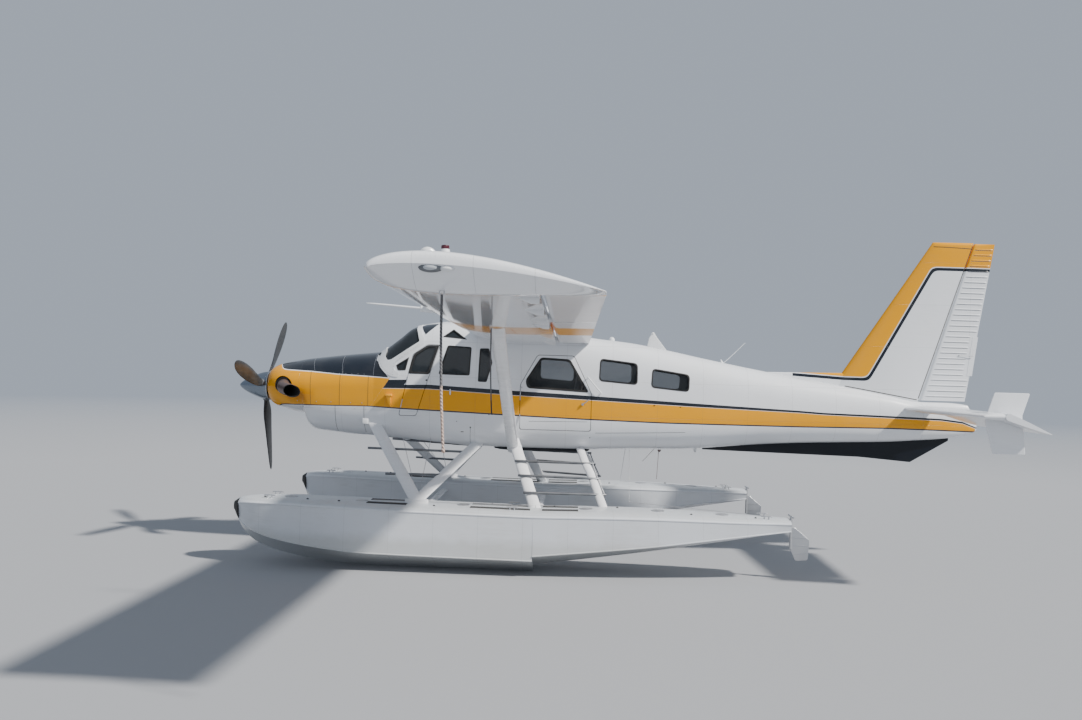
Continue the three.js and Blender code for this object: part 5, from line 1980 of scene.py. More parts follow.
@dataclass
class Nose:
    """Engine cowling in two parts, exhaust stacks, and the engine behind them."""

    axis_z: float = 2200.0
    mouth_radius: float = 115.0
    rear_x: float = 2055.7
    wall: float = 22.0
    split: tuple[Corner, ...] = ((747, 1947), (1250, 1958), (1993, 1971), (2100, 1973))
    stack_path: tuple[Spot, ...] = ((700, -170, 2275), (800, -560, 2190), (980, -750, 2153))
    stack_radius: float = 86.0
    stack_bore: float = 79.0
    outlet_y: float = -750.0
    hole_radius: float = 118.0
    engine_x: Corner = (610, 2055.7)
    engine_half: float = 220.0
    engine_z: Corner = (2010, 2410)
    dark_seams: tuple[tuple[Corner, Corner], ...] = (
        ((1150, 2425), (1168, 1962)), ((1978, 2380), (1984, 1972)), ((1575, 2395), (1580, 1965)),
        ((1048, 1940), (1040, 1760)), ((1520, 1955), (1520, 1600)), ((1930, 1965), (1930, 1600)),
    )
    pale_seams: tuple[tuple[Corner, Corner], ...] = (
        ((1120, 2625), (1196, 2440)), ((1560, 2660), (1600, 2410)), ((2036, 2700), (2044, 2392)),
    )

    def build(self) -> None:
        """Makes every piece of the nose."""
        self.cowl()
        self.stacks()
        self.seams()
        self.fittings()

    def below_split(self, drop: float) -> Shape:
        """The space under the split line, its edges moved away from the line by a drop.

        Args:
            drop: the distance from the split line, in millimetres.

        Returns:
            The closed shape.
        """
        edge = [(x, z - drop) for x, z in self.split]
        edge[0] = (edge[0][0] + drop, edge[0][1])
        return prism([*edge, (2100, 1300), (edge[0][0], 1300)], (-900, 900))

    def cowl(self) -> None:
        """The hollow upper cowling with its mouth and exhaust holes, and the lower one."""
        shell = carve(
            NOSE.body(NOSE.xs[0], self.rear_x, gap=30, count=128),
            ("DIFFERENCE", NOSE.body(NOSE.xs[1] + 8, self.rear_x + 0.6, self.wall, 40)),
        )
        mouth = lathe(at(400, 0, self.axis_z), AFT, ((0, self.mouth_radius), (120, self.mouth_radius)), 64)
        root, knee = (at(*spot) for spot in self.stack_path[:2])
        axis = knee - root
        hole = lathe(root + axis * 0.2, axis, ((0, self.hole_radius), (520, self.hole_radius)), 64)
        cutters = (self.below_split(0), mouth, hole, hole.mirrored())
        upper = carve(shell, *(("DIFFERENCE", cutter) for cutter in cutters))
        piece = place("cowl_skin", upper, HULL_PAINT, Slot.YELLOW, ("cowl_upper",), normals=NOSE.normal)
        line_inside(piece.data, NOSE, SOOT)
        lower = carve(shell, ("INTERSECT", self.below_split(1.2)))
        piece = place("chin_skin", lower, HULL_PAINT, Slot.HULL, ("cowl_lower",), normals=NOSE.normal)
        line_inside(piece.data, NOSE, SOOT)

    def stacks(self) -> None:
        """The engine block and the two exhaust stacks, open and sooty at their ends."""
        block = box(self.engine_x, (-self.engine_half, self.engine_half), self.engine_z, 30)
        place("engine_block", block, GREY_METAL, Slot.ENGINE, ("engine",))
        root, knee, end = (at(*spot) for spot in self.stack_path)
        beyond = end + (end - knee) * 0.8
        before = knee.lerp(root, 0.16)
        after = knee.lerp(end, 0.4)
        path = [root, *smooth_path([before, knee.lerp((before + after) / 2, 0.35), after], 5), beyond]
        bore = tube(path[1:], self.stack_bore, 40)
        beyond_outlet = box((500, 1500), (-1500, self.outlet_y), (1700, 2600))
        pipe = carve(tube(path, self.stack_radius, 44), ("DIFFERENCE", bore), ("DIFFERENCE", beyond_outlet))
        middle = [p.lerp(q, k / 8) for p, q in zip(path[1:], path[2:], strict=False) for k in range(9)]
        pieces = place_pair("exhaust_stack", pipe, DARK_METAL, Slot.ENGINE, crease=40)
        for piece, side in zip(pieces, (1, -1), strict=True):
            piece.data.materials.append(SOOT.material())
            for polygon in piece.data.polygons:
                spot = Vector((polygon.center.x, polygon.center.y * side, polygon.center.z))
                near = min((spot - point).length for point in middle)
                polygon.material_index = int(near < (self.stack_radius + self.stack_bore) / 2 * MILLIMETRE)
        collar = lathe(root + (knee - root) * 0.62, knee - root, ((0, 115), (3, 115), (3, 90), (0, 90), (0, 115)), 48)
        place_pair("exhaust_collar", collar, SOOT, Slot.ENGINE)

    def seams(self) -> None:
        """Thin lap seams that run down the cowling."""
        kinds = (("dark", self.dark_seams, DARK_SEAM_AND_SHADOW, 2.5), ("pale", self.pale_seams, SEAM_PALE, 1.5))
        for name, lines, finish, half in kinds:
            strips = Shape()
            for start, end in lines:
                strips.add(NOSE.patch(band(start, end, half), PORT_SIDE, (-0.8, 3)))
            place_pair(f"cowl_seams_{name}", strips, finish, Slot.HULL, normals=NOSE.normal)

    def fittings(self) -> None:
        """Latches, the yellow bracket behind the cowling, and the plate on the chin."""
        latches = Shape()
        for x in (960, 1250, 1460, 1740, 1900):
            latches.add(stud(NOSE, x, 2010, 7, 2.5))
            latches.add(stud(NOSE, x + 60, 1930, 5, 2))
        for x in range(1120, 2000, 88):
            latches.add(stud(NOSE, x, 2408, 4, 1.5))
        place_pair("cowl_latches", latches, BARE_METAL, Slot.LADDER)
        y = -SKIN.half_at(2280, 2120)
        bracket = rounded(box((2236, 2326), (y - 50, y + 6), (2112, 2148)), 8)
        head = [(2250, -46), (2310, -46), (2310, 6), (2250, 6)]
        toe = [(2262, -8), (2306, -8), (2306, 6), (2262, 6)]
        foot = Shape().loft([[at(x, y + d, z) for x, d in ring] for ring, z in ((head, 2116), (toe, 1978))])
        place_pair("cowl_bracket", bracket.add(rounded(foot, 3)), YELLOW_FITTING, Slot.YELLOW)
        y = -NOSE.half_at(1950, 1760)
        plate = rounded(box((1908, 1990), (y - 26, y + 16), (1722, 1796)), 7)
        place_pair("chin_plate", plate, FITTING_WHITE, Slot.HULL)


# ---------------------------------------------------------------- wings and tail


def foil_half(share: float, thickness: float) -> float:
    """Half thickness of a lifting section as a share of its chord.

    Args:
        share: distance from the leading edge as a share of the chord.
        thickness: the section's full thickness as a share of the chord.

    Returns:
        The half thickness there.
    """
    f = min(max(share, 0.0), 1.0)
    root = 0.2969 * math.sqrt(f) - 0.126 * f - 0.3516 * f**2 + 0.2843 * f**3 - 0.1015 * f**4
    return 5 * thickness * root + 0.0022 * f


def foil_camber(share: float, camber: float) -> float:
    """Height of a section's middle line as a share of its chord."""
    return 4 * camber * share * (1 - share)


Placer = Callable[[float, float], Vector]
CHORD_STEPS = 34


@dataclass
class Foil:
    """One lifting section: leading and trailing edge, thickness and camber."""

    leading: float
    trailing: float
    thickness: float
    camber: float = 0.0

    def side(self, x: float, side: float) -> float:
        """Height of the upper (1) or lower (-1) surface, or of the middle line (0), at x.

        Args:
            x: a station.
            side: 1 for the upper surface, -1 for the lower, 0 for the middle line.

        Returns:
            The height there.
        """
        chord = self.trailing - self.leading
        share = (x - self.leading) / chord
        return chord * (foil_camber(share, self.camber) + side * foil_half(share, self.thickness))

    def half(self, x: float) -> float:
        """Half thickness at x."""
        return (self.side(x, 1) - self.side(x, -1)) / 2

    def ring(self, put: Placer, cut: float | None = None, count: int = CHORD_STEPS) -> Ring:
        """The closed section, from its aft end over the top and back below.

        Args:
            put: places its points.
            cut: where it ends, if ahead of the trailing edge.
            count: steps along each side.

        Returns:
            The section.
        """
        xs = crowded(self.leading, self.trailing if cut is None else cut, count)
        upper = [put(x, self.side(x, 1)) for x in reversed(xs)]
        lower = [put(x, self.side(x, -1)) for x in xs[1:]]
        return upper + lower

    def control(self, hinge: float, put: Placer, stretch: float = 1.0) -> Ring:
        """The closed section of a moving surface with its nose round about the hinge.

        Args:
            hinge: place of the hinge along the chord.
            put: places its points.
            stretch: how much longer than high the nose is.

        Returns:
            The section.
        """
        nose, ring = self.half(hinge), []
        middle = self.side(hinge, 0)
        for i in range(17):
            angle = math.pi / 2 + math.pi * i / 16
            ring.append(put(hinge + stretch * nose * math.cos(angle), middle + nose * math.sin(angle)))
        aft = evenly(hinge, self.trailing, 10)[1:]
        ring += [put(x, self.side(x, -1)) for x in aft]
        ring += [put(x, self.side(x, 1)) for x in reversed(aft)]
        return ring


@dataclass
class Wings:
    """Both wings with their flaps, ailerons, lights and brackets."""

    leading: float = 3393.0
    trailing: float = 4993.0
    root_y: float = 300.0
    tip_rib_y: float = 7200.0
    tip_z: float = 3154.0
    dihedral: float = math.tan(math.radians(1))
    incidence: float = math.tan(math.radians(4.4))
    thickness: float = 0.16
    camber: float = 0.024
    hinge_x: float = 4625.0
    gap: float = 9.0
    flap_span: Corner = (700, 4560)
    aileron_span: Corner = (4600, 7060)
    # The tip's sections: distance out, shrink of the ends, drop of the top and lift of the bottom
    tips: tuple[tuple[float, float, float, float], ...] = (
        (7062, 0.0, 0.0, 0.0), (7090, 0.0, 0.0, 0.04), (7130, 0.01, 0.0, 0.15), (7175, 0.03, 0.0, 0.32),
        (7220, 0.07, 0.02, 0.52), (7255, 0.12, 0.06, 0.68), (7280, 0.19, 0.13, 0.8), (7298, 0.28, 0.25, 0.89),
        (7309, 0.38, 0.42, 0.94), (7315, 0.5, 0.7, 0.97),
    )
    # How far the tip's leading and trailing edges are drawn in where the shrink is 1
    tip_draw: Corner = (112, 64)
    bracket_ys: tuple[float, ...] = (1000, 2600, 4250, 4860, 5900, 6900)

    def station(self) -> Foil:
        """The section, the same from the root to the tip rib."""
        return Foil(self.leading, self.trailing, self.thickness, self.camber)

    def putter(self, y: float) -> Placer:
        """Places the section's points on the port side at a distance out."""
        lift = self.tip_z - (self.tip_rib_y - y) * self.dihedral
        return lambda x, n: at(x, -y, lift - (x - self.leading) * self.incidence + n)

    def surface(self, x: float, y: float, side: float = -1) -> Vector:
        """A place on the upper or lower skin of the port wing."""
        return self.putter(y)(x, self.station().side(x, side))

    def build(self) -> None:
        """Makes every piece of the wings."""
        ys = [y for y in evenly(self.root_y, self.tip_rib_y, 30) if y < self.aileron_span[1]]
        rings = [self.station().ring(self.putter(y)) for y in ys]
        rings += [self.tip_ring(*row) for row in self.tips]
        cuts = [("DIFFERENCE", SKIN.body(3300, 5100, gap=60, count=96))]
        cuts += [("DIFFERENCE", self.bay(span)) for span in (self.flap_span, self.aileron_span)]
        place_pair("wing_skin", carve(Shape().loft(rings), *cuts), WING_PAINT, Slot.WING, ("wing",), crease=38)
        for name, span, bodies in (
            ("flap", self.flap_span, (Body.FLAP_LEFT, Body.FLAP_RIGHT)),
            ("aileron", self.aileron_span, (Body.AILERON_LEFT, Body.AILERON_RIGHT)),
        ):
            place_pair(f"{name}_skin", self.control(span), CONTROL_PAINT, Slot.WING, (name,), bodies, 38)
        self.lights()
        self.brackets()
        self.boom()

    def tip_ring(self, y: float, shrink: float, drop: float, lift: float) -> Ring:
        """A section of the tip, whose lower face slopes up to a high edge.

        Args:
            y: its distance out.
            shrink: how far its ends are drawn in, as a share.
            drop: how far its upper surface sinks to the edge, as a share.
            lift: how far its lower surface rises to the edge, as a share.

        Returns:
            The closed section.
        """
        low, high = self.leading + self.tip_draw[0] * shrink, self.trailing - self.tip_draw[1] * shrink
        foil = Foil(low, high, self.thickness, self.camber)
        place_at = self.putter(y)
        upper, lower = [], []
        for x in crowded(low, high, CHORD_STEPS):
            edge = foil.side(x, 0.3)
            upper.append(place_at(x, lerp(foil.side(x, 1), edge, drop)))
            lower.append(place_at(x, lerp(foil.side(x, -1), edge, lift)))
        return [*reversed(upper), *lower[1:]]

    def nose_x(self) -> float:
        """Front of the moving surfaces' round noses."""
        return self.hinge_x - self.station().half(self.hinge_x) - self.gap

    def bay(self, span: Corner) -> Shape:
        """The space that a moving surface sits in.

        Args:
            span: its two distances out.

        Returns:
            The closed shape.
        """
        x = (self.nose_x(), self.trailing + 60)
        corners = ((x[0], -300), (x[1], -300), (x[1], 300), (x[0], 300))
        return Shape().loft([[self.putter(y)(px, n) for px, n in corners] for y in span])

    def control(self, span: Corner) -> Shape:
        """A flap or aileron."""
        ys = evenly(span[0] + self.gap, span[1] - self.gap, 14)
        return Shape().loft([self.station().control(self.hinge_x, self.putter(y)) for y in ys])

    def lights(self) -> None:
        """The lamp at the tip's edge with its rim and fairing, and the strobe and bump on the tip."""
        for name, x, size, finish, slot in (
            ("tip_lamp_rim", 3852, (84, 25, 33), GREY_METAL, Slot.GLASS),
            ("tip_lamp", 3850, (62, 31, 25), LENS_CLEAR, Slot.GLASS),
            ("tip_fairing", 3958, (50, 30, 22), FITTING_WHITE, Slot.WING),
        ):
            centre = self.putter(7284)(x, self.station().side(x, 0.06))
            place_pair(name, ellipsoid(centre, size), finish, slot)
        base = self.surface(3922, 7150, 1)
        strobe = lathe(base - UP * 0.006, UP, ((0, 32), (24, 30), (28, 28)))
        place_pair("strobe_base", strobe, FITTING_WHITE, Slot.WING)
        cap = lathe(base + UP * 0.0225, UP, ((0, 28), (18, 28), (25, 25), (28, 14), (29, 3)))
        place_pair("strobe_cap", cap, LENS_RED, Slot.GLASS)
        rings = []
        for share in evenly(0, 1, 8):
            spot = self.surface(lerp(3762, 3868, share), 7150, 1)
            size = max(math.sin(math.pi * min(share + 0.1, 1.0)) ** 0.6, 0.12)
            wide, high = 0.034 * size, 0.032 * size
            ring = [(wide * math.cos(a), high * max(math.sin(a), -0.25)) for a in around(18)]
            rings.append([spot + Vector((0, y, z)) for y, z in ring])
        place_pair("tip_bump", Shape().loft(rings), FITTING_WHITE, Slot.WING)

    def brackets(self) -> None:
        """Hinge brackets below the flaps and ailerons."""
        plates = Shape()
        fore, aft = self.nose_x() - 190, self.nose_x() - 6
        low_fore, low_aft = self.station().side(fore, -1), self.station().side(aft, -1)
        outline = [(fore, low_fore + 8), (aft, low_aft + 8), (aft, low_aft - 46), (aft - 60, low_aft - 50)]
        for y in self.bracket_ys:
            middle = [self.putter(y)(x, n) for x, n in outline]
            sides = [[p - PORT * (shift * MILLIMETRE) for p in middle] for shift in (-9, 9)]
            plates.add(rounded(Shape().loft(sides), 4))
        place_pair("hinge_brackets", plates, STRUT_PAINT, Slot.WING)

    def boom(self) -> None:
        """The pointed air-speed boom ahead of the port wing and its mast."""
        start, end = at(2807, -4500, 3112), at(3440, -4500, 3068)
        profile = ((0, 2), (25, 5), (80, 8), (200, 10), (340, 11), (638, 13))
        shape = lathe(start, end - start, profile, 24)
        shape.add(streamlined(at(3330, -4500, 3074), at(3520, -4500, 3058), 60, 34, 24))
        place("pitot_boom", shape, FITTING_WHITE, Slot.WING)


@dataclass
class Tail:
    """Fin, rudder, tailplane with its side plates, and elevator."""

    foot_z: float = 2616.0
    top_z: float = 4488.0
    leading: Corner = (8570, 9795)
    trailing: Corner = (10342, 10654)
    thickness: Corner = (0.09, 0.085)
    hinge_low: Corner = (9683, 2260)
    hinge_high: Corner = (10365, 4412)
    rudder_z: Corner = (2262, 4478)
    plane_half: float = 2410.0
    plane_leading: Corner = (9388, 9515)
    plane_trailing: Corner = (10345, 10318)
    plane_thickness: Corner = (0.115, 0.1)
    hinge_x: float = 9800.0
    plane_z: float = 2140.0
    droop: float = math.radians(21)
    plate_y: float = 2100.0
    plate_thickness: float = 16.0
    plate: tuple[Corner, ...] = (
        (9757, 2418), (10171, 2418), (10085, 2150), (10129, 1693), (9752, 1693), (9700, 1900), (9651, 2088),
    )
    # Where the fin's, the rudder's and the tailplane's ends start to round off
    cap_z: float = 4440.0
    rudder_cap_z: float = 4450.0
    plane_cap: float = 60.0
    # Gap ahead of the moving surfaces' round noses
    gap: float = 9.0
    ridge_x: Corner = (7500, 9000)
    ridge_half: Corner = (9, 44)
    foot_seam: tuple[Corner, ...] = ((8600, 2432), (8850, 2392), (9200, 2334), (9600, 2268))
    cap_seam: tuple[Corner, ...] = ((9800, 4424), (10000, 4418), (10330, 4404))
    rib_count: int = 28
    rib_z: Corner = (2330, 4400)
    # The ribs are shorter beside the tab
    tab_z: Corner = (2600, 3190)
    tab: tuple[Corner, ...] = ((10368, 3169), (10452, 3172), (10378, 2620), (10296, 2618))
    # Distances out of the elevator's root, and the stations that its aft edge slants between
    root_y: Corner = (120, 474)
    root_end: Corner = (9600, 10500)

    def build(self) -> None:
        """Makes every piece of the tail."""
        self.fin()
        self.rudder()
        self.tailplane()
        self.elevator()

    def station(self, z: float) -> Foil:
        """The fin's section at a height."""
        share = (z - self.foot_z) / (self.top_z - self.foot_z)
        return Foil(*(lerp(*pair, share) for pair in (self.leading, self.trailing, self.thickness)))

    def hinge(self, z: float) -> float:
        """Station of the rudder's hinge line at a height."""
        (x0, z0), (x1, z1) = self.hinge_low, self.hinge_high
        return lerp(x0, x1, (z - z0) / (z1 - z0))

    def stretch(self) -> float:
        """How much longer the leaning hinge line is than its height."""
        (x0, z0), (x1, z1) = self.hinge_low, self.hinge_high
        return math.hypot(x1 - x0, z1 - z0) / (z1 - z0)

    def nose_x(self, z: float, gap: float) -> float:
        """Station at a height that lies a gap ahead of the rudder's round nose."""
        return self.hinge(z) - self.stretch() * (self.station(z).half(self.hinge(z)) + gap)

    def fin(self) -> None:
        """The fin with the long ridge in front of it."""
        rings = []
        for z in evenly(2200, self.cap_z, 22) + [4460, 4474, 4483, self.top_z]:
            foil = self.station(z)
            cut = self.nose_x(z, self.gap)
            over = max(0.0, (z - self.cap_z) / (self.top_z - self.cap_z))
            foil.thickness *= math.sqrt(max(1 - over**2, 0.06))
            rings.append(foil.ring(lambda x, n, z=z: at(x, n, z), cut))
        fin = Shape().loft(rings)
        cell = prism([(9900, 2190), (9640, 2190), (9640, 2262), (9683, 2262)], (-200, 200))
        fin = carve(fin, ("DIFFERENCE", cell))
        place("fin_skin", fin, FIN_PAINT, Slot.TAIL, ("fin",), crease=38)
        ridge = []
        for share in evenly(0, 1, 24):
            x, half = lerp(*self.ridge_x, share), lerp(*self.ridge_half, share)
            top = lerp(2598, self.foot_z + 6, share)
            sizes = (
                (half * 1.5, SKIN.top_at(x, 0) - 60), (half, top - 42), (half * 0.8, top - 16),
                (half * 0.4, top - 3), (0, top),
            )
            ring = [at(x, y, z) for y, z in sizes]
            ridge.append(ring + [Vector((p.x, -p.y, p.z)) for p in reversed(ring[:-1])])
        place("fin_ridge", Shape().loft(ridge), FIN_PAINT, Slot.TAIL, crease=60)
        self.fin_seams()

    def fin_seams(self) -> None:
        """Dark joint lines on the fin: along the rudder, at its foot and under its cap."""
        lines = Shape()
        edge = [(self.nose_x(z, 13), z) for z in (2290, 2800, 3400, 4000, self.cap_z)]
        for path, wide, high in ((edge, 5, 0), (self.foot_seam, 0, 6), (self.cap_seam, 0, 5)):
            pairs = zip(path, path[1:], strict=False)
            spots = [Vector(a).lerp(Vector(b), share) for a, b in pairs for share in evenly(0, 1, 12)]
            for side in (-1, 1):
                rings = []
                for x, z in spots:
                    n = self.station(z).side(x, 1)
                    corners = ((-1, -4), (1, -4), (1, 1.2), (-1, 1.2))
                    rings.append([at(x + wide * k, side * (n + d), z + high * k) for k, d in corners])
                lines.add(Shape().loft(rings))
        place("fin_seams", lines, DARK_SEAM_AND_SHADOW, Slot.DARK, crease=60)

    def rudder(self) -> None:
        """The rudder with its pressed ribs and a painted shadow strip under each, and its tab with the rod that moves
        it.
        """
        rings = []
        for z in evenly(self.rudder_z[0], self.rudder_cap_z, 22) + [4466, self.rudder_z[1]]:
            foil = self.station(z)
            if z > self.rudder_cap_z:
                foil.thickness *= 0.8 if z < 4470 else 0.45
            rings.append(foil.control(self.hinge(z), lambda x, n, z=z: at(x, n, z), self.stretch()))
        place("rudder_skin", Shape().loft(rings), FIN_PAINT, Slot.TAIL, ("rudder",), Body.RUDDER, 38)
        ribs, shades = Shape(), Shape()
        for z in evenly(*self.rib_z, self.rib_count - 1):
            for side in (1, -1):
                ribs.add(self.rib(z, side, 11, 6.0))
                # A thin dark strip under each rib is painted shadow.
                shades.add(self.rib(z - 13, side, 4.5, 1.6))
        place("rudder_ribs", ribs, FIN_PAINT, Slot.TAIL, (), Body.RUDDER, 60)
        place("rudder_rib_shades", shades, RIB_SHADE, Slot.TAIL, (), Body.RUDDER, 60)
        tab = Shape()
        for side in (1, -1):
            ring_out, ring_in = [], []
            for x, z in outline_inset(self.tab, 3):
                n = self.station(z).side(x, 1) + 2.2
                ring_out.append(at(x, side * n, z))
                ring_in.append(at(x, side * (n - 6), z))
            tab.add(Shape().loft([ring_in, ring_out]))
        place("rudder_tab", tab, CONTROL_PAINT, Slot.TAIL, (), Body.RUDDER, 30)
        rod = tube([at(10180, -34, 2905), at(10290, -30, 2902), at(10385, -26, 2900)], 4, 10)
        rod.add(lathe(at(10180, -20, 2905), PORT, ((0, 9), (16, 8), (20, 4)), 14))
        place("tab_rod", rod, BARE_METAL, Slot.LADDER, (), Body.RUDDER)

    def rib(self, z: float, side: int, half: float, rise: float) -> Shape:
        """One pressed rib on the rudder.

        Args:
            z: its height.
            side: 1 for starboard, -1 for port.
            half: half of its width.
            rise: how far it stands proud of the skin.

        Returns:
            The closed shape.
        """
        foil = self.station(z)
        low, high = self.tab_z
        end = foil.trailing - (96 if low < z < high else 14)
        rings = []
        for share in evenly(0, 1, 12):
            x = lerp(self.hinge(z) + 10, end, share)
            height = rise * min(1.0, math.sin(math.pi * share) * 5 + 0.05)
            n = foil.side(x, 1)
            ring = (
                (n - 1.5, -half), (n + height * 0.8, -half / 2), (n + height, 0),
                (n + height * 0.5, half / 2), (n - 1.5, half),
            )
            rings.append([at(x, side * off, z + up) for off, up in ring])
        return Shape().loft(rings)

    def plane_station(self, y: float) -> Foil:
        """The tailplane's section at a distance out."""
        pairs = (self.plane_leading, self.plane_trailing, self.plane_thickness)
        return Foil(*(lerp(*pair, abs(y) / self.plane_half) for pair in pairs))

    def tailplane(self) -> None:
        """The tailplane and the upright plates near its tips."""
        rings = []
        cap = [self.plane_half - d for d in (44, 26, 12, 4, 0)]
        inner = self.plane_half - self.plane_cap
        for y in [-y for y in reversed(cap)] + evenly(-inner, inner, 30) + cap:
            foil = self.plane_station(y)
            over = max(0.0, (abs(y) - inner) / self.plane_cap)
            cut = self.hinge_x - foil.half(self.hinge_x) - self.gap
            foil.thickness *= math.sqrt(max(1 - over**2, 0.05))
            rings.append(foil.ring(lambda x, n, y=y: at(x, y, self.plane_z + n), cut))
        place("tailplane_skin", Shape().loft(rings), TAIL_PAINT, Slot.TAIL, ("tailplane",), crease=38)
        half = self.plate_thickness / 2
        outline = outline_round(self.plate, 22)
        plate = rounded(prism(outline, (-self.plate_y - half, -self.plate_y + half)), 5, 3, 50)
        place_pair("side_plate", plate, TAIL_PAINT, Slot.TAIL, crease=40)

    def elevator(self) -> None:
        """The elevator, drooping as it does at rest, with gaps round the plates."""
        shape = Shape()
        for side in (-1, 1):
            gap = self.plate_thickness
            spans = ((self.root_y[1], self.plate_y - gap, 10), (self.plate_y + gap, self.plane_half, 4))
            for low, high, count in spans:
                shape.add(Shape().loft([self.drooped(side * y) for y in evenly(low, high, count)]))
            ys = evenly(*self.root_y, 5)[1:]
            ends = [lerp(*self.root_end, (y - self.root_y[0]) / 350) for y in ys]
            rings = [self.drooped(side * y, end) for y, end in zip(ys, ends, strict=True)]
            shape.add(Shape().loft(rings))
        shape.add(lathe(at(self.hinge_x, -2405, self.plane_z), -PORT, ((0, 15.5), (4810, 15.5)), 24))
        place("elevator_skin", shape, TAIL_PAINT, Slot.TAIL, ("elevator",), Body.ELEVATOR, 38)

    def drooped(self, y: float, end: float | None = None) -> Ring:
        """The elevator's section, turned down about its hinge.

        Args:
            y: its distance out.
            end: the furthest aft that it may reach, if not its full chord.

        Returns:
            The closed section.
        """
        foil = self.plane_station(y)
        if end is not None:
            foil = Foil(foil.leading, min(foil.trailing, max(end, self.hinge_x + 90)), foil.thickness)
        hinge = at(self.hinge_x, 0, self.plane_z)
        turn = Matrix.Rotation(self.droop, 3, "Y")

        def put(x: float, n: float) -> Vector:
            """Places a point of the section and turns it down."""
            spot = hinge + turn @ (at(x, 0, self.plane_z + n) - hinge)
            return Vector((spot.x, y * MILLIMETRE, spot.z))

        return foil.control(self.hinge_x, put)


# ---------------------------------------------------------------- floats, struts and propeller

# Station, keel, chine height and width, rail height and width, and deck height
FLOAT_ROWS = (
    (545, 600, 640, 40, 720, 70, 770),
    (620, 430, 545, 120, 755, 150, 815),
    (800, 260, 440, 225, 772, 245, 832),
    (1150, 130, 350, 330, 780, 330, 836),
    (1700, 38, 275, 400, 770, 385, 826),
    (2300, 0, 230, 430, 757, 412, 812),
    (4350, 0, 205, 440, 732, 418, 787),
    (4356, 78, 262, 440, 732, 418, 787),
    (5700, 275, 405, 400, 745, 385, 806),
    (6900, 480, 560, 290, 730, 300, 780),
    (7530, 590, 630, 180, 722, 200, 764),
)

# Reach fore and aft and rise over the deck of a cleat's bar, in metres
CLEAT_PATH = ((-0.07, 0.022), (-0.045, 0.027), (0.045, 0.027), (0.07, 0.022))


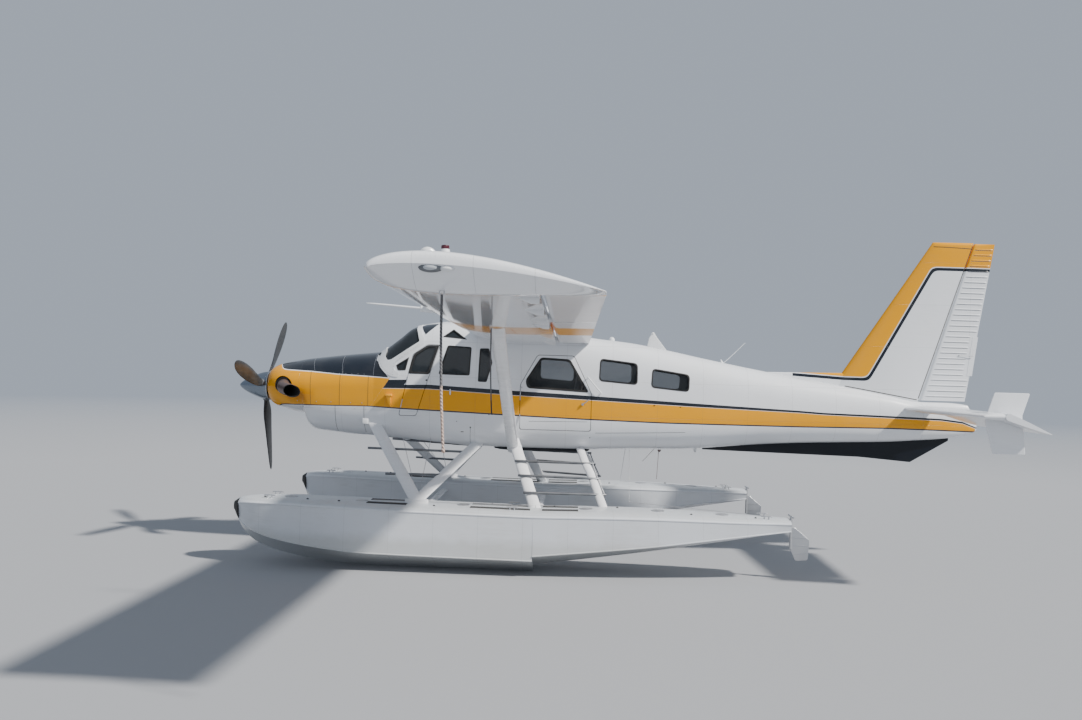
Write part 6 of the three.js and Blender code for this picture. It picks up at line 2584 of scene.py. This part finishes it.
@dataclass
class Floats:
    """The two floats with their bumpers, deck fittings and water rudders."""

    y: float = -1490.0
    step_x: float = 4350.0
    post_x: float = 7564.0
    post_radius: float = 18.0
    post_z: Corner = (380, 800)
    blade_thickness: float = 14.0
    # Station and share of the float's own section
    bumper_rings: tuple[Corner, ...] = (
        (536, 0.5), (531, 0.72), (533, 0.95), (545, 1.12), (575, 1.13), (612, 1.08), (618, 1.02),
    )
    hatch_xs: tuple[float, ...] = (1250, 2150, 3450, 5000, 5900, 6700)
    cap_xs: tuple[float, ...] = (950, 1500, 1900, 2500, 3100, 3800, 4600, 5400, 6300, 7100)
    cleat_xs: tuple[float, ...] = (1020, 4080, 7230)
    grip_spans: tuple[Corner, ...] = ((2250, 2750), (3550, 4300), (4450, 4900))

    def __post_init__(self) -> None:
        """Draws smooth lines through the stations ahead of and behind the step."""
        self.parts = []
        for rows in (FLOAT_ROWS[:7], FLOAT_ROWS[7:]):
            xs = [row[0] for row in rows]
            self.parts.append((xs[0], xs[-1], [Curve(xs, [row[k] for row in rows]) for k in range(1, 7)]))

    def sizes(self, x: float) -> list[float]:
        """Keel, chine height and width, rail height and width, and deck height at a station."""
        part = self.parts[0] if x <= self.step_x else self.parts[1]
        return [curve(min(max(x, part[0]), part[1])) for curve in part[2]]

    def ring(self, x: float) -> Ring:
        """The float's section, with its hollow bottom, chine lip and rounded deck edge.

        Args:
            x: its station.

        Returns:
            The closed section.
        """
        keel, chine_z, chine_y, rail_z, rail_y, deck = self.sizes(x)
        half = [(0, keel)]
        hollow = min(14.0, chine_y * 0.04)
        for share in (0.25, 0.5, 0.75, 0.92):
            half.append((chine_y * share, lerp(keel, chine_z, share) + hollow * math.sin(math.pi * share)))
        lip = min(9.0, chine_y * 0.05)
        half += [(chine_y + lip, chine_z - lip * 0.6), (chine_y + lip, chine_z + 2), (chine_y, chine_z + 9)]
        for share in (0.35, 0.7):
            half.append((lerp(chine_y, rail_y, share), lerp(chine_z, rail_z, share)))
        edge = min(60.0, rail_y * 0.4)
        half += [(rail_y, rail_z - 16), (rail_y + 5, rail_z - 10), (rail_y + 5, rail_z), (rail_y - 2, rail_z + 8)]
        for share in (0.5, 1.0):
            half.append((rail_y - edge * share, lerp(rail_z + 8, deck - 12, share**0.6)))
        half.append((rail_y * 0.45, deck - 4))
        half.append((0, deck))
        port = [(-y, z) for y, z in reversed(half[1:-1])]
        return [at(x, self.y + y, z) for y, z in half + port]

    def build(self) -> None:
        """Makes both floats and what is on them."""
        bow = [FLOAT_ROWS[0][0], 552, 565, 585]
        fore = Shape().loft([self.ring(x) for x in bow + evenly(FLOAT_ROWS[1][0], self.step_x, 46)])
        aft = Shape().loft([self.ring(x) for x in evenly(self.step_x + 1, FLOAT_ROWS[-1][0], 40)])
        lug = box((7500, 7545), (self.y - 16, self.y + 16), (636, 700), 4)
        place_pair("float_skin", fore.add(aft).add(lug), FLOAT_PAINT, Slot.FLOAT, ("float",), crease=24)
        self.bumper()
        self.deck_fittings()
        self.rudder()

    def bumper(self) -> None:
        """The black rubber block round the bow."""
        rings = []
        for x, scale in self.bumper_rings:
            keel, _, chine_y, _, rail_y, deck = self.sizes(max(x, FLOAT_ROWS[0][0]))
            low, high = lerp(keel, deck, 0.26), deck - 8
            middle, rise = (low + high) / 2, (high - low) / 2
            wide = max(rail_y, chine_y) + 4
            ring = []
            for angle in around(28):
                y = bent(math.cos(angle), 0.6) * wide * scale
                z = middle + bent(math.sin(angle), 0.6) * rise * min(scale, 1.03)
                ring.append(at(x, self.y + y, z))
            rings.append(ring)
        place_pair("bow_bumper", Shape().loft(rings), RUBBER, Slot.DARK, crease=50)

    def on_deck(self, x: float, side: float, proud: float) -> Vector:
        """A place over the port float's deck.

        Args:
            x: its station.
            side: how far out it lies, as a share of the rail's width.
            proud: its height over the deck's middle.

        Returns:
            The place.
        """
        sizes = self.sizes(x)
        return at(x, self.y + sizes[4] * side, sizes[5] + proud)

    def deck_fittings(self) -> None:
        """Hatches, pump caps, cleats and non-slip strips on the decks."""
        hatches, caps, cleats, strips = Shape(), Shape(), Shape(), Shape()
        lid = ((0, 84), (6, 84), (8, 80), (8, 66), (6, 63), (7, 20), (9, 16), (9, 2))
        for x in self.hatch_xs:
            hatches.add(lathe(self.on_deck(x, 0, -3), UP, lid, 36))
        for x in self.cap_xs:
            spot = self.on_deck(x, -0.42 if x % 200 else 0.42, -8)
            caps.add(lathe(spot, UP, ((0, 17), (8, 17), (10, 12), (16, 7), (18, 2)), 18))
        for x in self.cleat_xs:
            for side in (-0.55, 0.55):
                middle = self.on_deck(x, side, 0)
                path = [middle + Vector((dx, 0, dz)) for dx, dz in CLEAT_PATH]
                bar = tube(path, 7, 12, 3)
                for dx in (-0.028, 0.028):
                    bar.add(lathe(middle + Vector((dx, 0, -0.014)), UP, ((0, 13), (8, 9), (40, 8)), 14))
                cleats.add(bar)
        for span in self.grip_spans:
            for side in (-0.33, 0.33):
                rings = []
                for x in evenly(*span, 8):
                    middle = self.on_deck(x, side, 1.5)
                    corners = ((-0.062, -0.009), (0.062, -0.009), (0.06, 0), (-0.06, 0))
                    rings.append([middle + Vector((0, dy, dz)) for dy, dz in corners])
                strips.add(Shape().loft(rings))
        place_pair("deck_hatches", hatches, BARE_METAL, Slot.FLOAT)
        place_pair("pump_caps", caps, RUBBER, Slot.DARK)
        place_pair("deck_cleats", cleats, BARE_METAL, Slot.LADDER)
        place_pair("deck_grip", strips, GRIP, Slot.DARK)

    def rudder(self) -> None:
        """Water rudder with its post, blade, ribs and tiller bar."""
        x, radius, (foot, head) = self.post_x, self.post_radius, self.post_z
        length, half = head - foot, self.blade_thickness / 2
        profile = ((0, radius - 3), (3, radius), (length - 3, radius), (length, radius - 3))
        post = lathe(at(x, self.y, foot), UP, profile, 24)
        outline = [(x, 640), (x + 40, 660), (x + 235, 500), (x + 215, 250), (x + 60, 235), (x, foot)]
        blade = rounded(prism(outline_round(outline, 28), (self.y - half, self.y + half)), 5, 3, 50)
        tiller = tube([at(x, self.y - 130, 790), at(x, self.y + 130, 790)], 11, 16)
        ribs = Shape()
        for z in (330, 430, 530):
            ribs.add(rounded(box((x + 20, x + 190), (self.y - 11, self.y + 11), (z - 5, z + 5)), 4, 2))
        whole = post.add(blade).add(tiller).add(ribs)
        bodies = (Body.WATER_RUDDER_LEFT, Body.WATER_RUDDER_RIGHT)
        place_pair("water_rudder", whole, BARE_METAL, Slot.LADDER, ("water_rudder",), bodies, 40)


@dataclass
class Struts:
    """What holds the floats and braces the wings, with ladders, steps and wires."""

    wing: tuple[Spot, Spot] = ((4000, -520, 1415), (3983, -3560, 2966))
    wing_size: Corner = (150, 60)
    foot: Spot = (2850, -1490, 830)
    fore: Spot = (2030, -440, 1780)
    aft: Spot = (3500, -400, 1500)
    leg_size: Corner = (160, 60)
    rear: tuple[Spot, Spot] = ((4390, -1540, 700), (3990, -510, 1600))
    rear_size: Corner = (150, 60)
    ladder: tuple[Spot, ...] = ((5270, -1340, 676), (5080, -960, 1128), (4992, -815, 1300), (4917, -420, 1462))
    ladder_size: Corner = (108, 48)
    rungs: tuple[tuple[Spot, Spot], ...] = (
        ((4045, -909, 1318), (5100, -825, 1305)),
        ((4105, -1110, 1150), (5170, -975, 1122)),
        ((4195, -1342, 958), (5262, -1112, 932)),
    )
    steps: tuple[tuple[Spot, Spot], ...] = (
        ((2068, -865, 1425), (3400, -563, 1385)),
        ((2380, -1190, 1125), (3150, -1030, 1115)),
    )
    step_radius: float = 16.0
    wires: tuple[tuple[Spot, ...], ...] = (
        ((2850, -1470, 790), (2850, -430, 1545)),
        ((2300, -1480, 820), (4300, -1490, 810)),
        ((4380, -1520, 760), (4040, -560, 1500)),
        ((2846, -1440, 860), (2480, -560, 1560)),
        ((5590, -420, 1470), (5560, -1180, 860), (7250, -1420, 772)),
    )

    def build(self) -> None:
        """Makes every strut, ladder and wire."""
        self.wing_struts()
        self.float_struts()
        self.ladders()
        lines = Shape()
        for path in self.wires:
            lines.add(tube([at(*spot) for spot in path], 3.5, 8))
        place_pair("bracing_wires", lines, BARE_METAL, Slot.LADDER)

    def wing_struts(self) -> None:
        """The long wing struts with cuffs at both ends."""
        low, high = (at(*spot) for spot in self.wing)
        strut = streamlined(low, high, *self.wing_size, 40, 12)
        place_pair("wing_strut_skin", strut, STRUT_PAINT, Slot.STRUT, ("wing_strut",), crease=50)
        chord, thickness = self.wing_size
        reach = high - low
        cuffs = Shape()
        for share, half, size in ((0.085, 0.012, 1.04), (0.965, 0.03, 1.05), (0.03, 0.004, 1.05)):
            middle = low.lerp(high, share)
            ends = (middle - reach * half, middle + reach * half)
            cuffs.add(streamlined(*ends, chord * size, thickness * size, 40, 4))
        bolt = low.lerp(high, 0.085)
        cuffs.add(lathe(bolt + Vector((0.03, -0.026, 0)), Vector((0, -1, 0.2)), ((0, 9), (16, 9), (19, 6)), 14))
        place_pair("strut_cuffs", cuffs, FITTING_WHITE, Slot.STRUT, crease=50)

    def float_struts(self) -> None:
        """The front V with its shoe, the rear strut, the steps and the bars between the floats."""
        foot, fore, aft = at(*self.foot), at(*self.fore), at(*self.aft)
        shape = Shape()
        for top in (fore, aft):
            shape.add(streamlined(foot, top, *self.leg_size, 36, 8))
        shape.add(streamlined(foot - UP * 0.13, foot + UP * 0.02, 300, 90, 36, 4))
        place_pair("front_strut_skin", shape, STRUT_PAINT, Slot.STRUT, ("front_strut",), crease=50)
        low, high = (at(*spot) for spot in self.rear)
        rear = streamlined(low, high, *self.rear_size, 36, 8)
        place_pair("rear_strut_skin", rear, STRUT_PAINT, Slot.STRUT, ("rear_strut",), crease=50)
        for name, x in (("front", 2850), ("rear", 4370)):
            bar = streamlined(at(x, -1190, 640), at(x, 1190, 640), 110, 50, 36, 16)
            place(f"spreader_bar_{name}", bar, STRUT_PAINT, Slot.STRUT, (f"spreader_{name}",), crease=50)
        self.bars("front_steps", self.steps)
        plates = Shape()
        cuffs = [
            (top, foot, share, 0.014, self.leg_size, 1.08)
            for top, share in ((fore, 0.30), (aft, 0.22), (fore, 0.04), (aft, 0.04))
        ]
        cuffs += [(high, low, share, 0.02, self.rear_size, 1.1) for share in (1 - 0.12, 1 - 0.86)]
        for top, base, share, half, (chord, thickness), swell in cuffs:
            middle, reach = top.lerp(base, share), (top - base).normalized() * half
            plates.add(streamlined(middle - reach, middle + reach, chord * 1.05, thickness * swell, 36, 4))
        place_pair("leg_cuffs", plates, FITTING_WHITE, Slot.STRUT, crease=50)

    def bars(self, name: str, rows: Sequence[tuple[Spot, Spot]]) -> None:
        """Places a pair of sets of foot bars between their ends.

        Args:
            name: the pieces' name.
            rows: the two ends of each bar.
        """
        shape = Shape()
        for start, end in rows:
            shape.add(ribbed_bar(at(*start), at(*end), self.step_radius))
        place_pair(name, shape, GREY_METAL, Slot.LADDER, crease=50)

    def ladders(self) -> None:
        """The boarding ladders with their rungs and the bar that joins them."""
        path = smooth_path([at(*spot) for spot in self.ladder], 5)
        rings = [strut_ring(p, heading(path, i), *self.ladder_size, 32) for i, p in enumerate(path)]
        pole = Shape().loft(rings)
        place_pair("ladder_pole", pole, STRUT_PAINT, Slot.STRUT, ("ladder",), crease=50)
        self.bars("ladder_rungs", self.rungs)
        joint = tube([at(*end) - AFT * 0.02 for _, end in self.rungs], 10, 14)
        place_pair("rung_joint", joint, BARE_METAL, Slot.LADDER, crease=50)


def ribbed_bar(start: Vector, end: Vector, radius: float) -> Shape:
    """A round foot bar with raised grip sleeves.

    Args:
        start: one end.
        end: the other end.
        radius: its radius in millimetres.

    Returns:
        The closed shape.
    """
    axis = end - start
    length = axis.length / MILLIMETRE
    profile = [(0, radius * 0.8), (4, radius)]
    for k in range(1, 4):
        middle = length * k / 4
        for n in range(8):
            edge = middle - 60 + n * 15
            profile += [(edge, radius), (edge + 1.5, radius + 2), (edge + 10, radius + 2), (edge + 11.5, radius)]
    profile += [(length - 4, radius), (length, radius * 0.8)]
    return lathe(start, axis, profile, 18)


@dataclass
class Propeller:
    """Spinner and three blades on the engine's shaft."""

    axis_z: float = 2200.0
    hub_x: float = 372.0
    base_x: float = 450.0
    # Distance from the tip, and radius
    spinner: tuple[Corner, ...] = (
        (0, 0.5), (12, 24), (50, 58), (110, 96), (180, 130), (260, 163), (350, 192), (450, 205),
    )
    angles: tuple[float, ...] = (13.3, 133.3, 253.3)
    # Distance out, chord, thickness and pitch in degrees
    stations: tuple[tuple[float, float, float, float], ...] = (
        (20, 70, 64, 16), (120, 70, 64, 16), (230, 110, 46, 16), (400, 196, 34, 14), (600, 222, 27, 6),
        (800, 226, 22, 1), (1000, 208, 17, -2), (1150, 172, 12, -3), (1250, 116, 8, -3), (1300, 50, 5, -3),
    )
    shaft_radius: float = 60.0
    shaft_end: float = 609.7

    def build(self) -> None:
        """Makes the propeller."""
        curve = Curve([math.sqrt(x / self.base_x) for x, _ in self.spinner], [r for _, r in self.spinner])
        profile = [(self.base_x * (k / 32) ** 2, curve(k / 32)) for k in range(33)]
        dome = lathe(at(0, 0, self.axis_z), AFT, profile, 96)
        place("spinner_dome", dome, SPINNER_METAL, Slot.POLISHED, ("spinner",), Body.PROPELLER, 40)
        ring = lathe(at(self.base_x - 14, 0, self.axis_z), AFT, ((0, 203), (5, 206.5), (10, 206.5), (13, 205)), 96)
        rear = at(self.base_x - 30, 0, self.axis_z)
        for angle in around(18):
            out = self.outward(angle)
            ring.add(lathe(rear + out * 0.202, out, ((0, 4), (1.8, 4), (2.4, 2)), 10))
        place("spinner_ring", ring, BARE_METAL, Slot.POLISHED, (), Body.PROPELLER)
        blades, cuffs = Shape(), Shape()
        for angle in self.angles:
            out = self.outward(math.radians(angle))
            blades.add(self.blade(out))
            root = at(self.hub_x, 0, self.axis_z) + out * 0.165
            cuffs.add(lathe(root, out, ((0, 52), (24, 56), (40, 52), (56, 40)), 32))
        length, radius = self.shaft_end - self.base_x + 30, self.shaft_radius
        blades.add(lathe(rear, AFT, ((0, radius), (length, radius)), 32))
        place("propeller_blades", blades, BLADE_PAINT, Slot.BLADE, ("prop_blades",), Body.PROPELLER, 50)
        place("blade_cuffs", cuffs, GREY_METAL, Slot.BLADE, (), Body.PROPELLER)

    @staticmethod
    def outward(angle: float) -> Vector:
        """Direction of a blade, its angle counted from port upwards."""
        return Vector((0, -math.cos(angle), math.sin(angle)))

    def blade(self, out: Vector) -> Shape:
        """One twisted blade with a slim rounded tip.

        Args:
            out: its direction.

        Returns:
            The closed shape.
        """
        across = AFT.cross(out).normalized()
        reaches = [row[0] for row in self.stations]
        chord, thick, pitch = (Curve(reaches, [row[k] for row in self.stations]) for k in (1, 2, 3))
        rings = []
        for reach in evenly(120, 1280, 34) + [1290, 1296, 1300]:
            narrow = math.sqrt(max(1 - (max(0.0, reach - 1270) / 30) ** 2, 0.06))
            turn = math.radians(pitch(reach))
            wide = across * math.cos(turn) + AFT * math.sin(turn)
            deep = AFT * math.cos(turn) - across * math.sin(turn)
            centre = at(self.hub_x, 0, self.axis_z) + out * (reach * MILLIMETRE)
            ring = []
            for a in around(28):
                u = chord(reach) / 2 * math.cos(a) * narrow
                v = thick(reach) / 2 * math.sin(a) * (1 - 0.25 * math.cos(a)) * narrow
                ring.append(centre + wide * (u * MILLIMETRE) + deep * (v * MILLIMETRE))
            rings.append(ring)
        return Shape().loft(rings)


# ---------------------------------------------------------------- inside the cabin


@dataclass
class Cabin:
    """Seats, instrument panel and control wheels."""

    # Station of each row of seats, and how far out they stand
    rows: tuple[Corner, ...] = ((2620, 260), (3450, 270), (4350, 270))
    leg_z: Corner = (1612, 1890)
    leg_gap: float = 430.0
    seat_half: float = 205.0
    panel_outline: tuple[Corner, ...] = (
        (2116, 2230), (2116, 2520), (2180, 2556), (2352, 2546), (2358, 2520), (2330, 2500), (2322, 2215),
        (2250, 2202),
    )

    def build(self) -> None:
        """Makes the inside."""
        self.seats()
        self.panel()

    @staticmethod
    def cushion(name: str, low: Vector, high: Vector, crown: float) -> bpy.types.Mesh:
        """A crowned cushion between two corners, its sides pulled in between its corners.

        Args:
            name: the mesh's name.
            low: lowest corner.
            high: highest corner.
            crown: how far the middle of each face swells, in metres.

        Returns:
            The mesh.
        """
        work = bmesh.new()
        bmesh.ops.create_cube(work, size=1.0)
        size, middle = high - low, (high + low) / 2
        for vertex in work.verts:
            vertex.co = Vector((vertex.co.x * size.x, vertex.co.y * size.y, vertex.co.z * size.z)) + middle
        bmesh.ops.subdivide_edges(work, edges=work.edges[:], cuts=11, use_grid_fill=True)
        for vertex in work.verts:
            local = vertex.co - middle
            u, v, w = (2 * local.x / size.x, 2 * local.y / size.y, 2 * local.z / size.z)
            pull = 0.94 + 0.06 * (u * u * v * v * w * w)
            swell_x = crown * (1 - v * v) * (1 - w * w)
            swell_y = crown * 0.6 * (1 - u * u) * (1 - w * w)
            swell_z = crown * (1 - u * u) * (1 - v * v)
            vertex.co.x = middle.x + local.x * pull + math.copysign(swell_x, u) * abs(u) ** 6
            vertex.co.y = middle.y + local.y * pull + math.copysign(swell_y, v) * abs(v) ** 6
            vertex.co.z = middle.z + local.z * pull + math.copysign(swell_z, w) * abs(w) ** 6
        bmesh.ops.recalc_face_normals(work, faces=work.faces)
        mesh = bpy.data.meshes.new(name)
        work.to_mesh(mesh)
        work.free()
        return mesh

    def seats(self) -> None:
        """Metal seat frames with their cushions."""
        frames = Shape()
        places = [(number, x, side * y) for number, (x, y) in enumerate(self.rows, 1) for side in (-1, 1)]
        for _, x, y in places:
            for dy in (-180, 180):
                for leg_x in (x, x + self.leg_gap):
                    frames.add(tube([at(leg_x, y + dy, z) for z in self.leg_z], 13, 12))
                spots = ((x - 20, 1895), (x + 420, 1890), (x + 520, 2200), (x + 590, 2540))
                frames.add(tube([at(px, y + dy, z) for px, z in spots], 12, 12, 5))
            for skid in (-180, 180):
                frames.add(box((x - 60, x + 520), (y + skid - 10, y + skid + 10), (1601, 1616), 3))
        place("seat_frames", frames, GREY_METAL, Slot.SEAT, ("seats",), crease=40)
        half = self.seat_half
        for number, x, y in places:
            pan = self.cushion("pan", at(x - 28, y - half, 1902), at(x + 445, y + half, 1995), 0.022)
            back = self.cushion("back", at(x + 425, y - half, 1990), at(x + 520, y + half, 2560), 0.02)
            for vertex in back.vertices:
                vertex.co.x += 0.085 * (vertex.co.z - 1.99) / 0.57
            for name, mesh in (("pan", pan), ("back", back)):
                piece = bpy.data.objects.new(f"seat_{name}_{number}_{'left' if y < 0 else 'right'}", mesh)
                bpy.context.scene.collection.objects.link(piece)
                mesh.shade_smooth()
                mesh.materials.append(SEAT_CLOTH.material())
                smoother = piece.modifiers.new("soft", "SUBSURF")
                smoother.levels = smoother.render_levels = 1
                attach(piece, Body.AIRFRAME.value)
        log.info("seats: %d cushions", 4 * len(self.rows))

    def panel(self) -> None:
        """The instrument panel with its hood, dials and two control wheels."""
        body = rounded(prism(self.panel_outline, (-500, 500)), 8)
        place("panel_body", body, PANEL_BLACK, Slot.PANEL, ("instrument_panel",), crease=40)
        bezels, faces = Shape(), Shape()
        for column in range(7):
            for row in range(3):
                centre = at(2325, -390 + column * 130, 2455 - row * 88)
                bezels.add(lathe(centre, AFT, ((0, 40), (7, 40), (9, 37), (9, 33), (4, 32)), 24))
                faces.add(lathe(centre, AFT, ((0, 31), (5.5, 31)), 24))
        place("panel_bezels", bezels, GREY_METAL, Slot.PANEL)
        place("panel_dials", faces, DIAL_FACE, Slot.PANEL)
        wheels = Shape()
        for side in (-1, 1):
            centre = at(2475, side * 260, 2300)
            angles = [math.radians(degrees) for degrees in range(150, 391, 12)]
            rim = [centre + Vector((0, 0.13 * math.cos(a), 0.11 * math.sin(a))) for a in angles]
            wheels.add(tube(rim, 11, 12))
            wheels.add(tube([at(2320, side * 260, 2270), centre - UP * 0.11], 12, 12))
        place("control_wheels", wheels, RUBBER, Slot.PANEL)


# ---------------------------------------------------------------- ropes, light and camera


@dataclass
class Ropes:
    """The two tie-down ropes that hang from the port wing."""

    shares: tuple[float, ...] = (0.0, 0.3, 0.65, 1.0)

    def build(self) -> None:
        """Makes both ropes."""
        self.rope("outer_rope", "rope_outer", (3901, -7100, 3002), 1050, 10, 40, ROPE_OUTER)
        self.rope("inner_rope", "rope_inner", (3932, -3700, 2942), 890, 8, 30, ROPE_INNER)

    def rope(
        self, name: str, node: str, top: Spot, length: float, radius: float, lean: float, finish: Finish
    ) -> None:
        """One rope with its end knot, and the lug that it hangs from.

        Args:
            name: the piece's name.
            node: the CAD node that it stands for.
            top: where it leaves the wing, in millimetres.
            length: its length in millimetres.
            radius: its radius in millimetres.
            lean: how far its end stands aft of its top, in millimetres.
            finish: its material.
        """
        x, y, z = top
        points = [at(x + lean * s * s, y, z - length * s) for s in self.shares]
        path = smooth_path(points, 60)
        rings = []
        for i, p in enumerate(path):
            along = heading(path, i)
            first = (AFT - along * along.x).normalized()
            second = along.cross(first)
            twist = (path[0] - p).length / (radius * 7 * MILLIMETRE) * 2 * math.pi
            ring = []
            for angle in around(18):
                size = radius * MILLIMETRE * (0.9 + 0.1 * math.cos(3 * (angle + twist)))
                ring.append(p + (first * math.cos(angle) + second * math.sin(angle)) * size)
            rings.append(ring)
        piece = place(name, Shape().loft(rings), finish, Slot.ROPE, (node,), crease=80)
        knot = place(f"{name}_knot", self.knot(path[-1], radius), finish, Slot.ROPE, crease=80)
        tuple(path[0])
        [tuple(p) for p in path]
        angles = [math.radians(degrees) for degrees in range(0, 361, 24)]
        loop = [path[0] + Vector((0.016 * math.sin(a), 0, 0.012 + 0.02 * math.cos(a))) for a in angles]
        place(f"{name}_lug", tube(loop, radius * 0.45, 10), BARE_METAL, Slot.LADDER, crease=60)

    @staticmethod
    def knot(end: Vector, radius: float) -> Shape:
        """A whipped end knot.

        Args:
            end: the rope's end.
            radius: the rope's radius in millimetres.

        Returns:
            The closed shape.
        """
        size, turns = radius * MILLIMETRE, 2.2
        path = []
        for k in range(49):
            angle = 2 * math.pi * turns * k / 48
            rise = size * (turns * k / 48) + size * 0.2
            path.append(end + Vector((math.cos(angle) * size * 0.62, math.sin(angle) * size * 0.62, rise)))
        return tube(path, radius * 0.62, 12)


@dataclass
class Studio:
    """Floor, soft light and the camera at the photograph's viewing angle."""

    place: Spot = (-0.5393, -13.25, 2.5051)
    forward: Spot = (-0.03477, 0.99931, 0.01298)
    right: Spot = (0.99899, 0.03439, 0.02878)
    up: Spot = (-0.02831, -0.01397, 0.9995)
    lens: float = 30.943
    sun_from: Spot = (1.0, -0.4, 1.0)
    floor_radius: float = 70.0
    floor_z: float = -0.001

    def camera(self) -> None:
        """Sets up the camera."""
        data = bpy.data.cameras.new("view")
        data.lens = self.lens
        data.sensor_width = 36.0
        data.clip_end = 500.0
        camera = bpy.data.objects.new("view", data)
        bpy.context.scene.collection.objects.link(camera)
        axes = Matrix((self.right, self.up, [-v for v in self.forward])).transposed()
        camera.matrix_world = Matrix.Translation(self.place) @ axes.to_4x4()
        bpy.context.scene.camera = camera

    def light(self) -> None:
        """A high sun behind to the right, and soft light from the near side and the sky."""
        scene = bpy.context.scene.collection
        sun = bpy.data.lights.new("sun", "SUN")
        sun.energy = 7.0
        sun.angle = math.radians(3)
        sun.color = (1.0, 0.96, 0.9)
        lamp = bpy.data.objects.new("sun", sun)
        lamp.rotation_euler = (-Vector(self.sun_from)).to_track_quat("-Z", "Y").to_euler()
        scene.objects.link(lamp)
        for name, spot, size, energy in (
            ("near_softbox", (-2.0, -22.0, 9.0), 14.0, 300.0),
            ("far_softbox", (5.0, 18.0, 10.0), 12.0, 200.0),
        ):
            area = bpy.data.lights.new(name, "AREA")
            area.shape = "DISK"
            area.size = size
            area.energy = energy
            box_lamp = bpy.data.objects.new(name, area)
            box_lamp.location = spot
            aim = Vector((0, 0, 1.5)) - Vector(spot)
            box_lamp.rotation_euler = aim.to_track_quat("-Z", "Y").to_euler()
            scene.objects.link(box_lamp)
        world = bpy.data.worlds.new("sky")
        world.use_nodes = True
        background = world.node_tree.nodes["Background"]
        background.inputs["Color"].default_value = (0.60, 0.68, 0.80, 1)
        background.inputs["Strength"].default_value = 0.66
        bpy.context.scene.world = world

    def floor(self) -> None:
        """A wide round pale floor at the keels that fades into the backdrop."""
        radius, count = self.floor_radius, 72
        ring = [Vector((radius * math.cos(a), radius * math.sin(a), self.floor_z)) for a in around(count)]
        mesh = Shape(ring, [tuple(range(count))]).mesh("floor")
        mesh.materials.append(FLOOR.material())
        floor = bpy.data.objects.new("floor", mesh)
        bpy.context.scene.collection.objects.link(floor)
        floor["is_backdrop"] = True


def main() -> None:
    """Builds the floatplane, one sub-assembly after another."""
    logging.basicConfig(level=logging.INFO, format="%(name)s: %(message)s")
    studio = Studio()
    studio.camera()
    Ropes().build()
    for assembly in (Fuselage(), Doors(), Nose(), Wings(), Tail(), Floats(), Struts(), Propeller(), Cabin()):
        assembly.build()
        log.info("%s done", type(assembly).__name__)
    studio.light()
    studio.floor()
    boxes = {name: [list(corner) for corner in corners] for name, corners in (("cad", CAD_BOX), ("visual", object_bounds()))}


if __name__ == "__main__":
    main()
